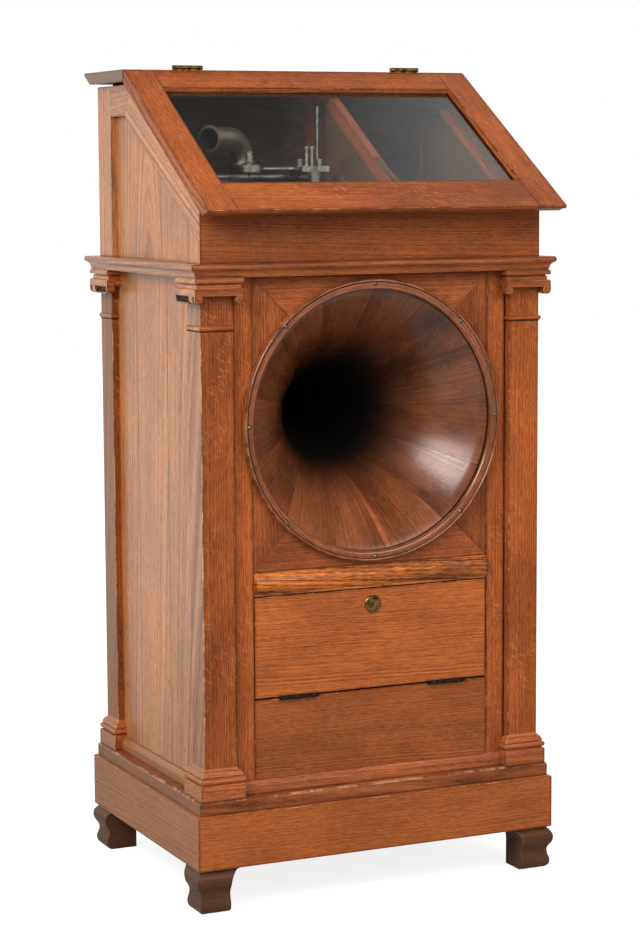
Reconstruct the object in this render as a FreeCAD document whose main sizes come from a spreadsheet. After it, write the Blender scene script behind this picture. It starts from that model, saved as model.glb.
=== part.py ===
import FreeCAD, Part
import Sketcher
import math
import os
from collections import namedtuple

# Coin-operated phonograph in a free-standing oak case.
# Millimetres. X is to the right, Y is to the back, Z is up.
# The origin is on the floor, below the middle of the whole object's outline.

SIZE_TABLE = [
    # Overall case
    ("overall_height", 1500, "floor to the top board"),
    ("case_width", 676, "over the corner posts"),
    ("case_depth", 498, "over the corner posts"),
    ("upper_rise", 346, "top of the cornice to the face of the top board"),
    ("upper_proud", 1, "music case beyond the posts, front and back"),
    # Base
    ("foot_height", 80, "bracket feet"),
    ("foot_swell", 3, "swell of the foot beyond the skirt, sideways"),
    ("foot_swell_y", 2, "swell of the foot beyond the skirt, front to back"),
    ("foot_width", 66, "width of the foot's leg"),
    ("foot_flare", 28, "how far the bracket flares along the skirt"),
    ("skirt_proud", 6.5, "skirt boards beyond the floor board, sideways"),
    ("skirt_proud_y", 7.5, "skirt boards beyond the floor board, front to back"),
    ("skirt_height", 98, "skirt boards"),
    ("skirt_thickness", 22, "skirt boards"),
    ("floor_proud", 3.5, "floor board beyond the plinth blocks, sideways"),
    ("floor_proud_y", 1.5, "floor board beyond the plinth blocks, front to back"),
    ("floor_thickness", 25, "moulded floor board"),
    ("floor_round", 8, "rounded upper edge of the floor board"),
    # Pilasters
    ("plinth_proud", 12, "plinth block beyond its post"),
    ("plinth_height", 57, "plinth block"),
    ("plinth_cap", 25, "moulded top of the plinth block"),
    ("post_width", 62, "corner post, sideways"),
    ("post_depth", 60, "corner post, front to back"),
    ("collar_drop", 117, "top of the cornice down to the underside of the collar"),
    ("collar_thickness", 9, "collar bead"),
    ("collar_proud", 3, "collar bead beyond the post"),
    ("capital_height", 28, "capital between post and cornice"),
    ("capital_slab", 9, "thin slab of the capital"),
    ("capital_side", 19, "capital beyond the post's outer side"),
    ("capital_front", 10, "capital beyond the post's face and inner side"),
    ("scroll_radius", 9.5, "roll of the capital"),
    ("scroll_length", 12, "each roll, front to back"),
    ("cornice_proud", 22, "cornice beyond the music case"),
    ("cornice_thickness", 24, "cornice"),
    ("cornice_ledge", 16, "ledge inside the cornice that carries the deck"),
    # Lower case
    ("side_recess", 13, "side panel behind the post's outer face"),
    ("side_thickness", 18, "side panel"),
    ("front_recess", 12, "front frame behind the post's face"),
    ("front_thickness", 20, "front frame"),
    ("stile_width", 36, "front stile"),
    ("stile_gap", 4, "dark groove between stile and post"),
    ("stile_backing", 12, "thickness of the strip behind the groove"),
    ("back_thickness", 12, "lower back panel"),
    ("strip_height", 25, "bottom moulding strips"),
    ("strip_depth", 10, "bottom moulding strips"),
    ("door_part", 183, "door's part of the height between head rail and floor board"),
    ("panel_part", 172, "lower panel's part of that height"),
    ("door_gap", 2, "gap beside the door"),
    ("rail_height", 43, "head rail, and its gap to the door is the door gap"),
    ("rail_swell", 8, "rounded face of the head rail"),
    ("shelf_thickness", 15, "cash shelf"),
    ("shelf_depth", 260, "cash shelf behind the front frame"),
    # Horn
    ("ring_clearance", 9, "mouth ring to the cornice"),
    ("rail_clearance", 7, "mouth ring to the head rail"),
    ("throat_radius", 45, "inside of the horn's small end"),
    ("horn_wall", 9, "stave thickness"),
    ("horn_gap", 1, "horn to the hole in the boards"),
    ("stave_seam", 0.15, "angle left open at each seam"),
    ("ring_width", 19.5, "mouth ring, across its face"),
    ("ring_thickness", 14, "mouth ring"),
    ("ring_bead", 6, "rounded outer edge of the mouth ring"),
    ("ring_screws", 8, "screws round the mouth ring"),
    ("screw_inset", 8.5, "ring's outside to its screw circle"),
    ("screw_head", 4.5, "radius of a ring screw's head"),
    ("screw_shank", 2, "radius of a ring screw's shank"),
    ("neck_radius", 30, "outside of the neck pipe"),
    ("neck_wall", 2, "neck pipe"),
    ("neck_bend", 50, "bend radius of the neck pipe"),
    ("neck_cone", 18, "cone between the horn and the neck pipe"),
    ("neck_straight", 8, "straight pipe between the cone and the first bend"),
    ("neck_climb", 95, "neck pipe's slope, half way to the stand pipe"),
    ("neck_drop", 90, "top of the cornice down to the last bend"),
    ("neck_clearance", 19, "neck pipe to the back panel"),
    # Music case
    ("upper_thickness", 22, "boards of the music case"),
    ("upper_panel", 8, "sunk panel of each upper side"),
    ("upper_sunk", 10, "panel behind the frame's face"),
    ("upper_front_stile", 54, "front stile of each upper side"),
    ("upper_rear_stile", 68, "rear stile of each upper side"),
    ("upper_top_rail", 57, "top rail of each upper side"),
    ("upper_slope_rail", 67, "sloping rail of each upper side"),
    ("deck_thickness", 22, "deck board"),
    ("deck_clearance", 0.3, "deck board to the case walls"),
    ("partition_left", 50, "middle of the case to the partition"),
    ("partition_thickness", 18, "partition frame"),
    ("partition_panel", 10, "partition panel"),
    ("partition_back", 159, "partition's rear edge behind the middle"),
    ("partition_rail", 27, "sloping rail of the partition"),
    ("partition_stile", 50, "rear stile of the partition"),
    ("partition_gap", 2.5, "partition below the lid"),
    # Lid and top board
    ("lid_slope", 32.4, "angle of the lid in degrees"),
    ("lid_length", 471, "lid from joint to lower edge"),
    ("lid_thickness", 22, "lid frame"),
    ("lid_overhang", 15, "lid beyond the music case on each side"),
    ("lid_joint", 74, "joint behind the middle of the case"),
    ("lid_clearance", 0.3, "lid above its seat"),
    ("lid_stile", 57, "width of each lid stile"),
    ("lid_top_rail", 63, "width of the lid's upper rail"),
    ("lid_bottom_rail", 87, "width of the lid's lower rail"),
    ("lid_bevel", 7, "bevel under the lid's lower edge"),
    ("glass_thickness", 3, "lid glass"),
    ("glass_sunk", 9, "glass below the lid's face"),
    ("glass_rebate", 8, "glass hidden in the frame on each side"),
    ("board_reach", 283, "top board behind the middle of the case"),
    ("board_thickness", 22, "top board"),
    ("board_undercut", 30, "bevel under the top board's rear edge"),
    ("board_gap", 5, "open gap between top board and case"),
    ("cleat_size", 20, "cleats that carry the top board"),
    # Hinges
    ("hinge_gap", 3.4, "gap that holds two hinge leaves"),
    ("leaf_thickness", 1.5, "hinge leaf"),
    ("leaf_depth", 18, "hinge leaf into the joint"),
    ("knuckle_radius", 3.8, "hinge knuckle"),
    ("knuckle_lift", 4.6, "hinge axis above the surface"),
    ("knuckle_play", 0.4, "gap between knuckles"),
    ("lid_hinge_length", 60, "lid hinge"),
    ("lid_hinge_inset", 113, "outside of the posts to the middle of a lid hinge"),
    ("door_hinge_length", 76, "door hinge"),
    ("door_hinge_inset", 86, "stile to the middle of a door hinge"),
    # Lock
    ("lock_drop", 28, "door's upper edge down to the lock"),
    ("lock_radius", 16, "lock face"),
    ("lock_proud", 3, "lock face beyond the door"),
    ("plug_radius", 7, "turning plug of the lock"),
    ("plug_clearance", 0.05, "plug in its barrel"),
    ("keyway_width", 2, "keyway"),
    ("keyway_length", 8, "keyway"),
    ("cam_length", 40, "lock cam"),
    ("cam_width", 12, "lock cam"),
    ("cam_thickness", 3, "lock cam"),
    # Cash box and coin works
    ("box_width", 150, "cash box"),
    ("box_depth", 170, "cash box"),
    ("box_height", 90, "cash box"),
    ("box_wall", 2, "cash box"),
    ("box_left", 62, "middle of the case to the cash box"),
    ("box_setback", 12, "cash box behind the front frame"),
    ("coin_inset", 99, "posts' face back to the middle of the coin slot"),
    ("coin_rise", 51, "top of the cornice up to the coin slot"),
    ("coin_plate_width", 44, "coin plate"),
    ("coin_plate_height", 60, "coin plate"),
    ("coin_plate_thickness", 3, "coin plate"),
    ("coin_slot_width", 3, "coin slot"),
    ("coin_slot_length", 26, "coin slot"),
    ("chute_inset", 47, "outside of the posts to the middle of the chute"),
    ("chute_width", 14, "chute, sideways"),
    ("chute_depth", 34, "chute, front to back"),
    ("chute_wall", 1.5, "chute"),
    ("chute_rise", 158.4, "rim of the cash box up to the chute's bend"),
    ("chute_reach", 8, "end of the chute's ramp inside the cash box's side"),
    ("chute_head", 15, "half height of the chute's head"),
    # Works on the bedplate
    ("bed_inset", 43, "outside of the posts to the bedplate's left end"),
    ("bed_right", 8, "bedplate right of the middle"),
    ("bed_front", 110, "bedplate ahead of the middle"),
    ("bed_back", 18, "bedplate behind the middle"),
    ("bed_foot", 20, "height of the bedplate's feet"),
    ("bed_foot_radius", 9, "feet of the bedplate"),
    ("bed_thickness", 12, "bedplate"),
    ("shaft_place", 70, "main shaft ahead of the middle"),
    ("shaft_rise", 116, "top of the cornice up to the main shaft"),
    ("shaft_radius", 5, "main shaft"),
    ("running_fit", 0.05, "radial clearance of shafts"),
    ("screw_radius", 6, "feed screw"),
    ("screw_length", 118, "feed screw"),
    ("screw_left", 130, "feed screw left of the middle"),
    ("mandrel_left", 265, "mandrel left of the middle"),
    ("mandrel_length", 110, "mandrel"),
    ("mandrel_radius", 23, "mandrel's large end"),
    ("mandrel_taper", 1, "difference between the mandrel's ends"),
    ("record_radius", 28, "cylinder record"),
    ("record_length", 104, "cylinder record"),
    ("bearing_width", 16, "bearing post along the shaft"),
    ("bearing_depth", 26, "bearing post across the shaft"),
    ("bearing_cap", 14, "bearing post above the shaft"),
    ("bearing_left", 150, "first bearing post left of the middle"),
    ("bearing_right", 8, "second bearing post left of the middle"),
    ("pulley_left", 12, "shaft pulley right of the middle"),
    ("pulley_width", 14, "belt pulleys"),
    ("pulley_radius", 30, "shaft pulley"),
    ("pulley_groove", 3, "depth of the belt grooves"),
    ("belt_radius", 2.5, "round belt"),
    ("belt_seat", 1.6, "middle of the belt below a pulley's rim"),
    ("rod_place", 10, "guide rod ahead of the middle"),
    ("rod_rise", 30, "main shaft up to the guide rod"),
    ("rod_radius", 6, "guide rod"),
    ("rod_inset", 8, "guide rod's end inside the bedplate's end"),
    ("rod_post_width", 12, "posts of the guide rod"),
    ("sleeve_radius", 11, "carriage sleeve"),
    ("sleeve_left", 62, "carriage sleeve left of the middle"),
    ("sleeve_length", 54, "carriage sleeve"),
    ("plate_rise", 40, "main shaft up to the carriage plate"),
    ("plate_thickness", 10, "carriage plate"),
    ("nut_gap", 0.3, "half nut above the feed screw"),
    ("capped_rise", 87, "main shaft up to the top of the capped posts"),
    ("capped_radius", 3.6, "capped posts"),
    ("cap_radius", 4.8, "caps of the capped posts"),
    ("cap_height", 7, "caps of the capped posts"),
    ("arm_radius", 4.5, "reproducer arm"),
    ("arm_pin", 3, "pin of the reproducer arm"),
    ("arm_place", 40, "reproducer arm ahead of the middle"),
    ("arm_left", 182, "reproducer arm left of the middle"),
    ("reproducer_left", 165, "reproducer left of the middle"),
    ("reproducer_radius", 22.5, "reproducer"),
    ("reproducer_height", 16, "reproducer body"),
    ("holder_radius", 26, "ring that holds the reproducer"),
    ("spout_radius", 7, "sound outlet of the reproducer"),
    ("spout_height", 24, "sound outlet of the reproducer"),
    ("upright_x", 33, "upright rod right of the middle"),
    ("upright_y", 60, "upright rod behind the middle"),
    ("upright_radius", 3.5, "upright rod"),
    ("upright_rise", 280, "top of the cornice up to the upright rod's end"),
    # Elbow
    ("elbow_left", 123, "elbow left of the middle"),
    ("elbow_back", 60, "elbow behind the middle"),
    ("elbow_turn", 212, "direction of the elbow's mouth in degrees"),
    ("elbow_radius", 22, "elbow pipe"),
    ("elbow_wall", 2, "elbow pipe"),
    ("elbow_bend", 42, "bend radius of the elbow"),
    ("elbow_reach", 106, "axis to the elbow's mouth"),
    ("elbow_rise", 217, "top of the cornice up to the elbow's level part"),
    ("elbow_spigot", 22, "elbow inside the stand pipe"),
    ("elbow_lip", 6, "rolled lip of the elbow's mouth"),
    ("flange_rise", 169, "top of the cornice up to the top of the flange"),
    ("flange_radius", 30, "flange"),
    ("flange_thickness", 7, "flange"),
    ("stand_radius", 26, "stand pipe"),
    # Motor below the deck
    ("motor_drop", 64, "top of the cornice down to the motor's arbors"),
    ("motor_left", 36, "first motor plate right of the middle"),
    ("motor_plate", 4, "motor plates"),
    ("motor_span", 120, "distance between the motor plates"),
    ("motor_front", 96, "motor plates ahead of the middle"),
    ("motor_back", 100, "motor plates behind the middle"),
    ("motor_low", 138, "top of the cornice down to the motor plates' lower edge"),
    ("motor_top_plate", 6, "plate that hangs the motor"),
    ("gear_module", 2, "tooth size of the motor's wheels"),
    ("gear_width", 8, "motor wheels"),
    ("pinion_width", 10, "motor pinions"),
    ("barrel_teeth", 48, "teeth of the barrel wheel"),
    ("pinion_teeth", 12, "teeth of the middle pinion"),
    ("wheel_teeth", 44, "teeth of the middle wheel"),
    ("leaf_teeth", 11, "teeth of the output and governor pinions"),
    ("governor_pitches", 7, "governor below the level, in teeth of the middle wheel"),
    ("barrel_radius", 42, "spring barrel"),
    ("barrel_length", 40, "spring barrel"),
    ("arbor_radius", 4, "motor arbors"),
    ("winder_radius", 6, "winding arbor"),
    ("winder_hole", 14, "hole for the crank socket"),
    ("winder_inset", 6, "outside of the posts to the winding arbor's end"),
    ("crank_seat", 24, "turned end of the winding arbor that takes the crank"),
    ("escutcheon_radius", 24, "plate round the winding hole"),
    ("escutcheon_thickness", 3, "plate round the winding hole"),
    ("drive_pulley", 15, "motor pulley"),
    ("governor_radius", 20, "governor balls and brake disc from the arbor"),
    ("ball_radius", 6, "governor balls"),
    ("spring_reach", 12, "half length of the governor springs"),
    ("brake_reach", 54.7, "brake pivot ahead of the governor"),
    ("brake_gap", 0.4, "brake pad to the disc"),
    ("brake_tail", 34, "brake lever ahead of its pivot"),
    ("lever_thickness", 4, "coin lever and brake lever"),
    ("pivot_radius", 3, "pivots of the levers"),
    ("hub_radius", 7, "hubs of the levers"),
    ("coin_pivot_inset", 23, "middle of the chute to the coin lever's pivot"),
    ("coin_pivot_drop", 18, "coin lever's pivot below the coin slot"),
    ("coin_finger", 25, "coin lever into the chute"),
    ("coin_tail", 24, "coin lever's other arm"),
]

doc = FreeCAD.newDocument("coin_operated_phonograph")
sheet = doc.addObject("Spreadsheet::Sheet", "Sizes")


class Size:
    """A number that keeps the spreadsheet formula it comes from."""

    def __init__(self, value, formula):
        self.value = float(value)
        self.formula = formula

    def __add__(self, other):
        return combined(self, "+", other)

    def __radd__(self, other):
        return combined(other, "+", self)

    def __sub__(self, other):
        return combined(self, "-", other)

    def __rsub__(self, other):
        return combined(other, "-", self)

    def __mul__(self, other):
        return combined(self, "*", other)

    def __rmul__(self, other):
        return combined(other, "*", self)

    def __truediv__(self, other):
        return combined(self, "/", other)

    def __rtruediv__(self, other):
        return combined(other, "/", self)

    def __neg__(self):
        return combined(0, "-", self)


def size(amount):
    """Give a plain number the same form as a size."""
    if isinstance(amount, Size):
        return amount
    return Size(amount, f"({float(amount)})")


def combined(left, sign, right):
    """Join two sizes with an arithmetic sign."""
    left = size(left)
    right = size(right)
    results = {
        "+": lambda: left.value + right.value,
        "-": lambda: left.value - right.value,
        "*": lambda: left.value * right.value,
        "/": lambda: left.value / right.value,
    }
    return Size(results[sign](), f"({left.formula} {sign} {right.formula})")


def wave(name, angle):
    """Sine, cosine or tangent of an angle in degrees."""
    functions = {"sin": math.sin, "cos": math.cos, "tan": math.tan}
    angle = size(angle)
    return Size(functions[name](math.radians(angle.value)), f"{name}({angle.formula})")


class Sheet:
    """The driving sizes, one attribute for each named cell."""

    def __init__(self, table):
        for row, (alias, value, note) in enumerate(table, start=1):
            sheet.set(f"A{row}", alias)
            sheet.set(f"B{row}", str(value))
            sheet.set(f"C{row}", note)
            sheet.setAlias(f"B{row}", alias)
            setattr(self, alias, Size(value, f"Sizes.{alias}"))


D = Sheet(SIZE_TABLE)
doc.recompute()

# Sizes that follow from others
D.waist_height = D.overall_height - D.upper_rise
D.upper_depth = D.case_depth + 2 * D.upper_proud
D.floor_width = D.case_width + 2 * (D.plinth_proud + D.floor_proud)
D.floor_depth = D.case_depth + 2 * (D.plinth_proud + D.floor_proud_y)
D.skirt_width = D.floor_width + 2 * D.skirt_proud
D.skirt_depth = D.floor_depth + 2 * D.skirt_proud_y
D.foot_reach = D.skirt_width / 2 + D.foot_swell
D.foot_reach_y = D.skirt_depth / 2 + D.foot_swell_y
D.cornice_width = D.case_width + 2 * D.cornice_proud
D.cornice_depth = D.upper_depth + 2 * D.cornice_proud
D.lid_width = D.case_width + 2 * D.lid_overhang
D.collar_height = D.waist_height - D.collar_drop
D.coin_height = D.waist_height + D.coin_rise
D.coin_place = D.case_depth / 2 - D.coin_inset
D.shaft_height = D.waist_height + D.shaft_rise
D.rod_height = D.shaft_height + D.rod_rise
D.plate_bottom = D.shaft_height + D.plate_rise
D.capped_height = D.shaft_height + D.capped_rise
D.upright_top = D.waist_height + D.upright_rise
D.elbow_height = D.waist_height + D.elbow_rise
D.flange_top = D.waist_height + D.flange_rise
D.motor_height = D.waist_height - D.motor_drop
D.motor_bottom = D.waist_height - D.motor_low

# Levels and planes that several sub-parts share
FLOOR_BOTTOM = D.foot_height + D.skirt_height
FLOOR_TOP = FLOOR_BOTTOM + D.floor_thickness
POST_BOTTOM = FLOOR_TOP + D.plinth_height
CORNICE_BOTTOM = D.waist_height - D.cornice_thickness
CAPITAL_BOTTOM = CORNICE_BOTTOM - D.capital_height
HALF_WIDTH = D.case_width / 2
HALF_DEPTH = D.case_depth / 2
UPPER_HALF = D.upper_depth / 2
FRONT_FACE = HALF_DEPTH - D.front_recess
FRONT_BACK = FRONT_FACE - D.front_thickness
BACK_INSIDE = FRONT_FACE - D.back_thickness
BOARD_BOTTOM = D.overall_height - D.board_thickness
UPPER_TOP = BOARD_BOTTOM - D.board_gap
DECK_TOP = D.waist_height + D.deck_thickness
BED_BOTTOM = DECK_TOP + D.bed_foot
BED_TOP = BED_BOTTOM + D.bed_thickness
LID_SINE = wave("sin", D.lid_slope)
LID_COSINE = wave("cos", D.lid_slope)
LID_REACH = D.lid_length * LID_COSINE - D.lid_joint
MIDDLE = (LID_REACH - D.board_reach) / 2
WHEEL_BACK = D.gear_module * (D.wheel_teeth + D.leaf_teeth) / 2 - D.shaft_place
BARREL_BACK = WHEEL_BACK + D.gear_module * (D.barrel_teeth + D.pinion_teeth) / 2

# Front frame, from its sides inwards and from the cornice downwards
D.stile_inner = HALF_WIDTH - D.post_width - D.stile_gap - D.stile_width
D.mouth_radius = D.stile_inner
D.ring_radius = D.mouth_radius + D.ring_width
D.ring_screw_circle = D.ring_radius - D.screw_inset
D.horn_height = CORNICE_BOTTOM - D.ring_clearance - D.ring_radius
D.rail_top = D.horn_height - D.ring_radius - D.rail_clearance
D.rail_bottom = D.rail_top - D.rail_height
D.door_top = D.rail_bottom - D.door_gap
DOOR_SHARE = D.door_part / (D.door_part + D.panel_part)
D.door_bottom = D.door_top - (D.door_top - FLOOR_TOP) * DOOR_SHARE
D.door_hinge_place = D.stile_inner - D.door_hinge_inset
D.lock_height = D.door_top - D.lock_drop
CASH_FLOOR = D.door_bottom - D.hinge_gap

# The horn reaches back as far as the neck's first bend lets it
NECK_DEPTH = D.neck_cone + D.neck_straight + D.neck_bend + D.neck_radius + D.neck_clearance
D.horn_length = FRONT_FACE + BACK_INSIDE - NECK_DEPTH

# What stands at a distance from the sides of the case
D.lid_hinge_place = HALF_WIDTH - D.lid_hinge_inset
D.bed_left = HALF_WIDTH - D.bed_inset
D.rod_left = D.bed_left - D.rod_inset
D.winder_end = HALF_WIDTH - D.winder_inset
D.chute_centre = HALF_WIDTH - D.chute_inset
D.coin_pivot_x = D.chute_centre - D.coin_pivot_inset
D.chute_turn = CASH_FLOOR + D.box_height + D.chute_rise
CHUTE_END = D.box_left + D.box_width - D.chute_reach
D.chute_run = D.chute_centre - D.chute_width / 2 - CHUTE_END

FULL_TURN = 360
# Angles of the seams between the horn's staves, from the right side upwards
STAVE_SEAMS = (5.3, 33.9, 62.5, 88.2, 113.9, 139.7, 167.7, 195.7, 223.8, 251.8, 279.8, 307.7, 336.7)

Arc = namedtuple("Arc", "centre end left_turn")


def back(distance):
    """Y of a plane behind the middle of the case."""
    return MIDDLE + distance


def ahead(distance):
    """Y of a plane ahead of the middle of the case."""
    return MIDDLE - distance


def lid_level(y, depth):
    """Height of the plane that lies a depth below the lid's face, at a Y from the middle."""
    fall = (D.lid_joint - y) * LID_SINE / LID_COSINE
    return D.overall_height - fall - depth / LID_COSINE


def bind(thing, prop, amount):
    """Tie a property to the sheet."""
    thing.setExpression(prop, size(amount).formula)


def settle(thing, place, turn=None):
    """Put a finished shape at a place that follows the sheet."""
    rotation = turn or FreeCAD.Rotation()
    thing.Placement = FreeCAD.Placement(FreeCAD.Vector(0, 0, 0), rotation)
    for axis, amount in zip("xyz", place):
        bind(thing, f"Placement.Base.{axis}", amount)
    return thing


TURN_TO = {
    "x": FreeCAD.Rotation(FreeCAD.Vector(0, 1, 0), 90),
    "y": FreeCAD.Rotation(FreeCAD.Vector(1, 0, 0), -90),
    "z": FreeCAD.Rotation(),
}
# Carries local X, Y, Z onto Y, Z, X: a wheel drawn flat then stands on an arbor along X.
WHEEL_TURN = FreeCAD.Rotation(FreeCAD.Vector(1, 1, 1), 120)


def box(name, low, high):
    """Rectangular block between two corners."""
    made = doc.addObject("Part::Box", name)
    for prop, start, end in zip(("Length", "Width", "Height"), low, high):
        bind(made, prop, size(end) - start)
    return settle(made, low)


def cylinder(name, axis, start, radius, length):
    """Round bar from a start point along an axis."""
    made = doc.addObject("Part::Cylinder", name)
    bind(made, "Radius", radius)
    bind(made, "Height", length)
    return settle(made, start, TURN_TO[axis])


def ball(name, centre, radius):
    """Sphere at a centre."""
    made = doc.addObject("Part::Sphere", name)
    bind(made, "Radius", radius)
    return settle(made, centre, TURN_TO["x"])


def cut(name, base, *tools):
    """One shape less the tools."""
    made = doc.addObject("Part::Cut", name)
    made.Base = base
    made.Tool = tools[0] if len(tools) == 1 else fuse(name + "_tools", *tools)
    return made


def fuse(name, *pieces):
    """Several shapes as one solid."""
    made = doc.addObject("Part::MultiFuse", name)
    made.Shapes = list(pieces)
    made.Refine = True
    return made


def shared(name, *pieces):
    """What several shapes have in common."""
    made = doc.addObject("Part::MultiCommon", name)
    made.Shapes = list(pieces)
    return made


def group(name, *pieces):
    """Separate solids kept in one sub-part."""
    made = doc.addObject("Part::Compound", name)
    made.Links = list(pieces)
    return made


def mirrored(name, source, normal):
    """Copy on the other side of the case, to the side or to the back."""
    made = doc.addObject("Part::Mirroring", name)
    made.Source = source
    made.Normal = normal
    bind(made, "Base.y", MIDDLE)
    return made


SIDEWAYS = FreeCAD.Vector(1, 0, 0)
BACKWARD = FreeCAD.Vector(0, 1, 0)


def origin_plane(body, role):
    """One of the body's own origin planes."""
    return next(item for item in body.Origin.OriginFeatures if item.Role == role)


def flat(corner):
    """Vector in the plane of a sketch."""
    return FreeCAD.Vector(size(corner[0]).value, size(corner[1]).value, 0)


def draw(sketch, outline):
    """Closed outline of lines and arcs whose corners follow the sheet."""
    first = sketch.GeometryCount
    count = len(outline)
    corners = [step.end if isinstance(step, Arc) else step for step in outline]
    starts = []
    ends = []
    for index, step in enumerate(outline):
        begin = flat(corners[index - 1])
        finish = flat(corners[index])
        if isinstance(step, Arc):
            centre = flat(step.centre)
            angles = [math.atan2((point - centre).y, (point - centre).x) for point in (begin, finish)]
            if not step.left_turn:
                angles.reverse()
            if angles[1] <= angles[0]:
                angles[1] += 2 * math.pi
            circle = Part.Circle(centre, FreeCAD.Vector(0, 0, 1), (finish - centre).Length)
            sketch.addGeometry(Part.ArcOfCircle(circle, angles[0], angles[1]), False)
            starts.append(1 if step.left_turn else 2)
            ends.append(2 if step.left_turn else 1)
        else:
            sketch.addGeometry(Part.LineSegment(begin, finish), False)
            starts.append(1)
            ends.append(2)
    for index in range(count):
        following = (index + 1) % count
        pair = (first + index, ends[index], first + following, starts[following])
        sketch.addConstraint(Sketcher.Constraint("Coincident", *pair))
    for index, step in enumerate(outline):
        hold(sketch, first + index, ends[index], corners[index])
        if isinstance(step, Arc):
            chord = flat(corners[index]) - flat(corners[index - 1])
            level = abs(chord.x) > abs(chord.y)
            hold(sketch, first + index, 3, step.centre, only="DistanceY" if level else "DistanceX")


def hold(sketch, geometry, vertex, corner, only=None):
    """Fix a point of a sketch by its distances from the origin."""
    for kind, amount in zip(("DistanceX", "DistanceY"), corner):
        if only in (None, kind):
            amount = size(amount)
            rule = Sketcher.Constraint(kind, -1, 1, geometry, vertex, amount.value)
            number = sketch.addConstraint(rule)
            sketch.setExpression(f"Constraints[{number}]", amount.formula)


def draw_circle(sketch, centre, radius):
    """Circle whose centre and radius follow the sheet."""
    radius = size(radius)
    circle = Part.Circle(flat(centre), FreeCAD.Vector(0, 0, 1), radius.value)
    number = sketch.addGeometry(circle, False)
    hold(sketch, number, 3, centre)
    rule = sketch.addConstraint(Sketcher.Constraint("Radius", number, radius.value))
    sketch.setExpression(f"Constraints[{rule}]", radius.formula)


def sketch_on(body, role, offset, name):
    """Sketch on one of the body's origin planes, moved along its normal."""
    sketch = body.newObject("Sketcher::SketchObject", name)
    sketch.AttachmentSupport = [(origin_plane(body, role), "")]
    sketch.MapMode = "FlatFace"
    bind(sketch, "AttachmentOffset.Base.z", offset)
    return sketch


def new_body(name):
    """Empty body."""
    return doc.addObject("PartDesign::Body", name)


def pad(body, sketch, length, name):
    """Thicken a sketch along its normal."""
    made = body.newObject("PartDesign::Pad", name)
    made.Profile = sketch
    bind(made, "Length", length)
    sketch.Visibility = False
    return made


def prism(name, plane, outline, low, high):
    """Straight bar of a drawn section between two planes."""
    body = new_body(name)
    start = -size(high) if plane == "XZ" else low
    sketch = sketch_on(body, plane + "_Plane", start, name + "_section")
    draw(sketch, outline)
    pad(body, sketch, size(high) - low, name + "_pad")
    return body


def turned(name, outline, place, axis="z", turn=None):
    """Round piece turned from an outline of radius and height."""
    body = new_body(name)
    sketch = sketch_on(body, "XZ_Plane", 0, name + "_outline")
    draw(sketch, outline)
    spin = body.newObject("PartDesign::Revolution", name + "_turning")
    spin.Profile = sketch
    spin.ReferenceAxis = (sketch, ["V_Axis"])
    spin.Angle = FULL_TURN
    sketch.Visibility = False
    return settle(body, place, turn or TURN_TO[axis])


SUB_PARTS = []


def sub_part(name, shape):
    """Name a finished piece, which is then one node of the object."""
    shape.Label = name
    SUB_PARTS.append(shape)
    return shape


def side_name(side):
    """Word for the left or right side."""
    return "left" if side < 0 else "right"


def signed(outline, sign):
    """Outline mirrored in its first direction, with its arcs turned the other way."""
    result = []
    for step in outline:
        if isinstance(step, Arc):
            centre = (sign * step.centre[0], step.centre[1])
            end = (sign * step.end[0], step.end[1])
            result.append(Arc(centre, end, step.left_turn if sign > 0 else not step.left_turn))
        else:
            result.append((sign * step[0], step[1]))
    return result


def trapezoid(outer, inner, depth_outer, depth_inner, toward):
    """Plan of one mitred board of a frame round the case, front, back, left or right."""
    if toward in ("front", "back"):
        sign = -1 if toward == "front" else 1
        return [
            (-size(outer), MIDDLE + sign * depth_outer),
            (outer, MIDDLE + sign * depth_outer),
            (inner, MIDDLE + sign * depth_inner),
            (-size(inner), MIDDLE + sign * depth_inner),
        ]
    sign = -1 if toward == "left" else 1
    return [
        (sign * size(outer), MIDDLE - depth_outer),
        (sign * size(outer), MIDDLE + depth_outer),
        (sign * size(inner), MIDDLE + depth_inner),
        (sign * size(inner), MIDDLE - depth_inner),
    ]


SIDES = ("front", "back", "left", "right")


def bracket_feet():
    """Four ogee bracket feet under the corners of the skirt."""

    def profile(reach, middle, sign):
        """Section of a foot: swell on the outside, flare on the inside."""
        leg = reach - D.foot_width
        swell_low = D.foot_height * 0.55
        swell_high = D.foot_height * 0.85
        waist = D.foot_height * 0.3
        points = [
            (leg - D.foot_flare, D.foot_height),
            Arc((leg - D.foot_flare, D.foot_height - D.foot_flare),
                (leg, D.foot_height - D.foot_flare), False),
            (leg, 0),
            (reach - 11, 0),
            (reach - 5, 6),
            (reach - 5, waist * 0.6),
            (reach - 8, waist),
            (reach - 8, swell_low - 8),
            (reach, swell_low + 4),
            (reach, swell_high - 4),
            (reach - 6, swell_high + 4),
            (reach - 10, D.foot_height),
        ]
        mirrored_points = signed(points, sign)
        result = []
        for step in mirrored_points:
            if isinstance(step, Arc):
                centre = (middle + step.centre[0], step.centre[1])
                result.append(Arc(centre, (middle + step.end[0], step.end[1]), step.left_turn))
            else:
                result.append((middle + step[0], step[1]))
        return result

    feet = []
    for side in (-1, 1):
        for end in (-1, 1):
            where = f"{'front' if end < 0 else 'back'}_{side_name(side)}"
            name = "foot_" + where
            near, far = sorted((size(0), side * D.foot_reach * 1.1), key=lambda item: item.value)
            low_y, high_y = ((back(-D.foot_reach_y * 1.1), MIDDLE) if end < 0
                             else (MIDDLE, back(D.foot_reach_y * 1.1)))
            sideways = prism(name + "_front_view", "XZ", profile(D.foot_reach, size(0), side),
                             low_y, high_y)
            lengthways = prism(name + "_side_view", "YZ", profile(D.foot_reach_y, MIDDLE, end),
                               near, far)
            feet.append(shared(name + "_solid", sideways, lengthways))
    sub_part("bracket_feet", group("feet_group", *feet))


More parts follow.
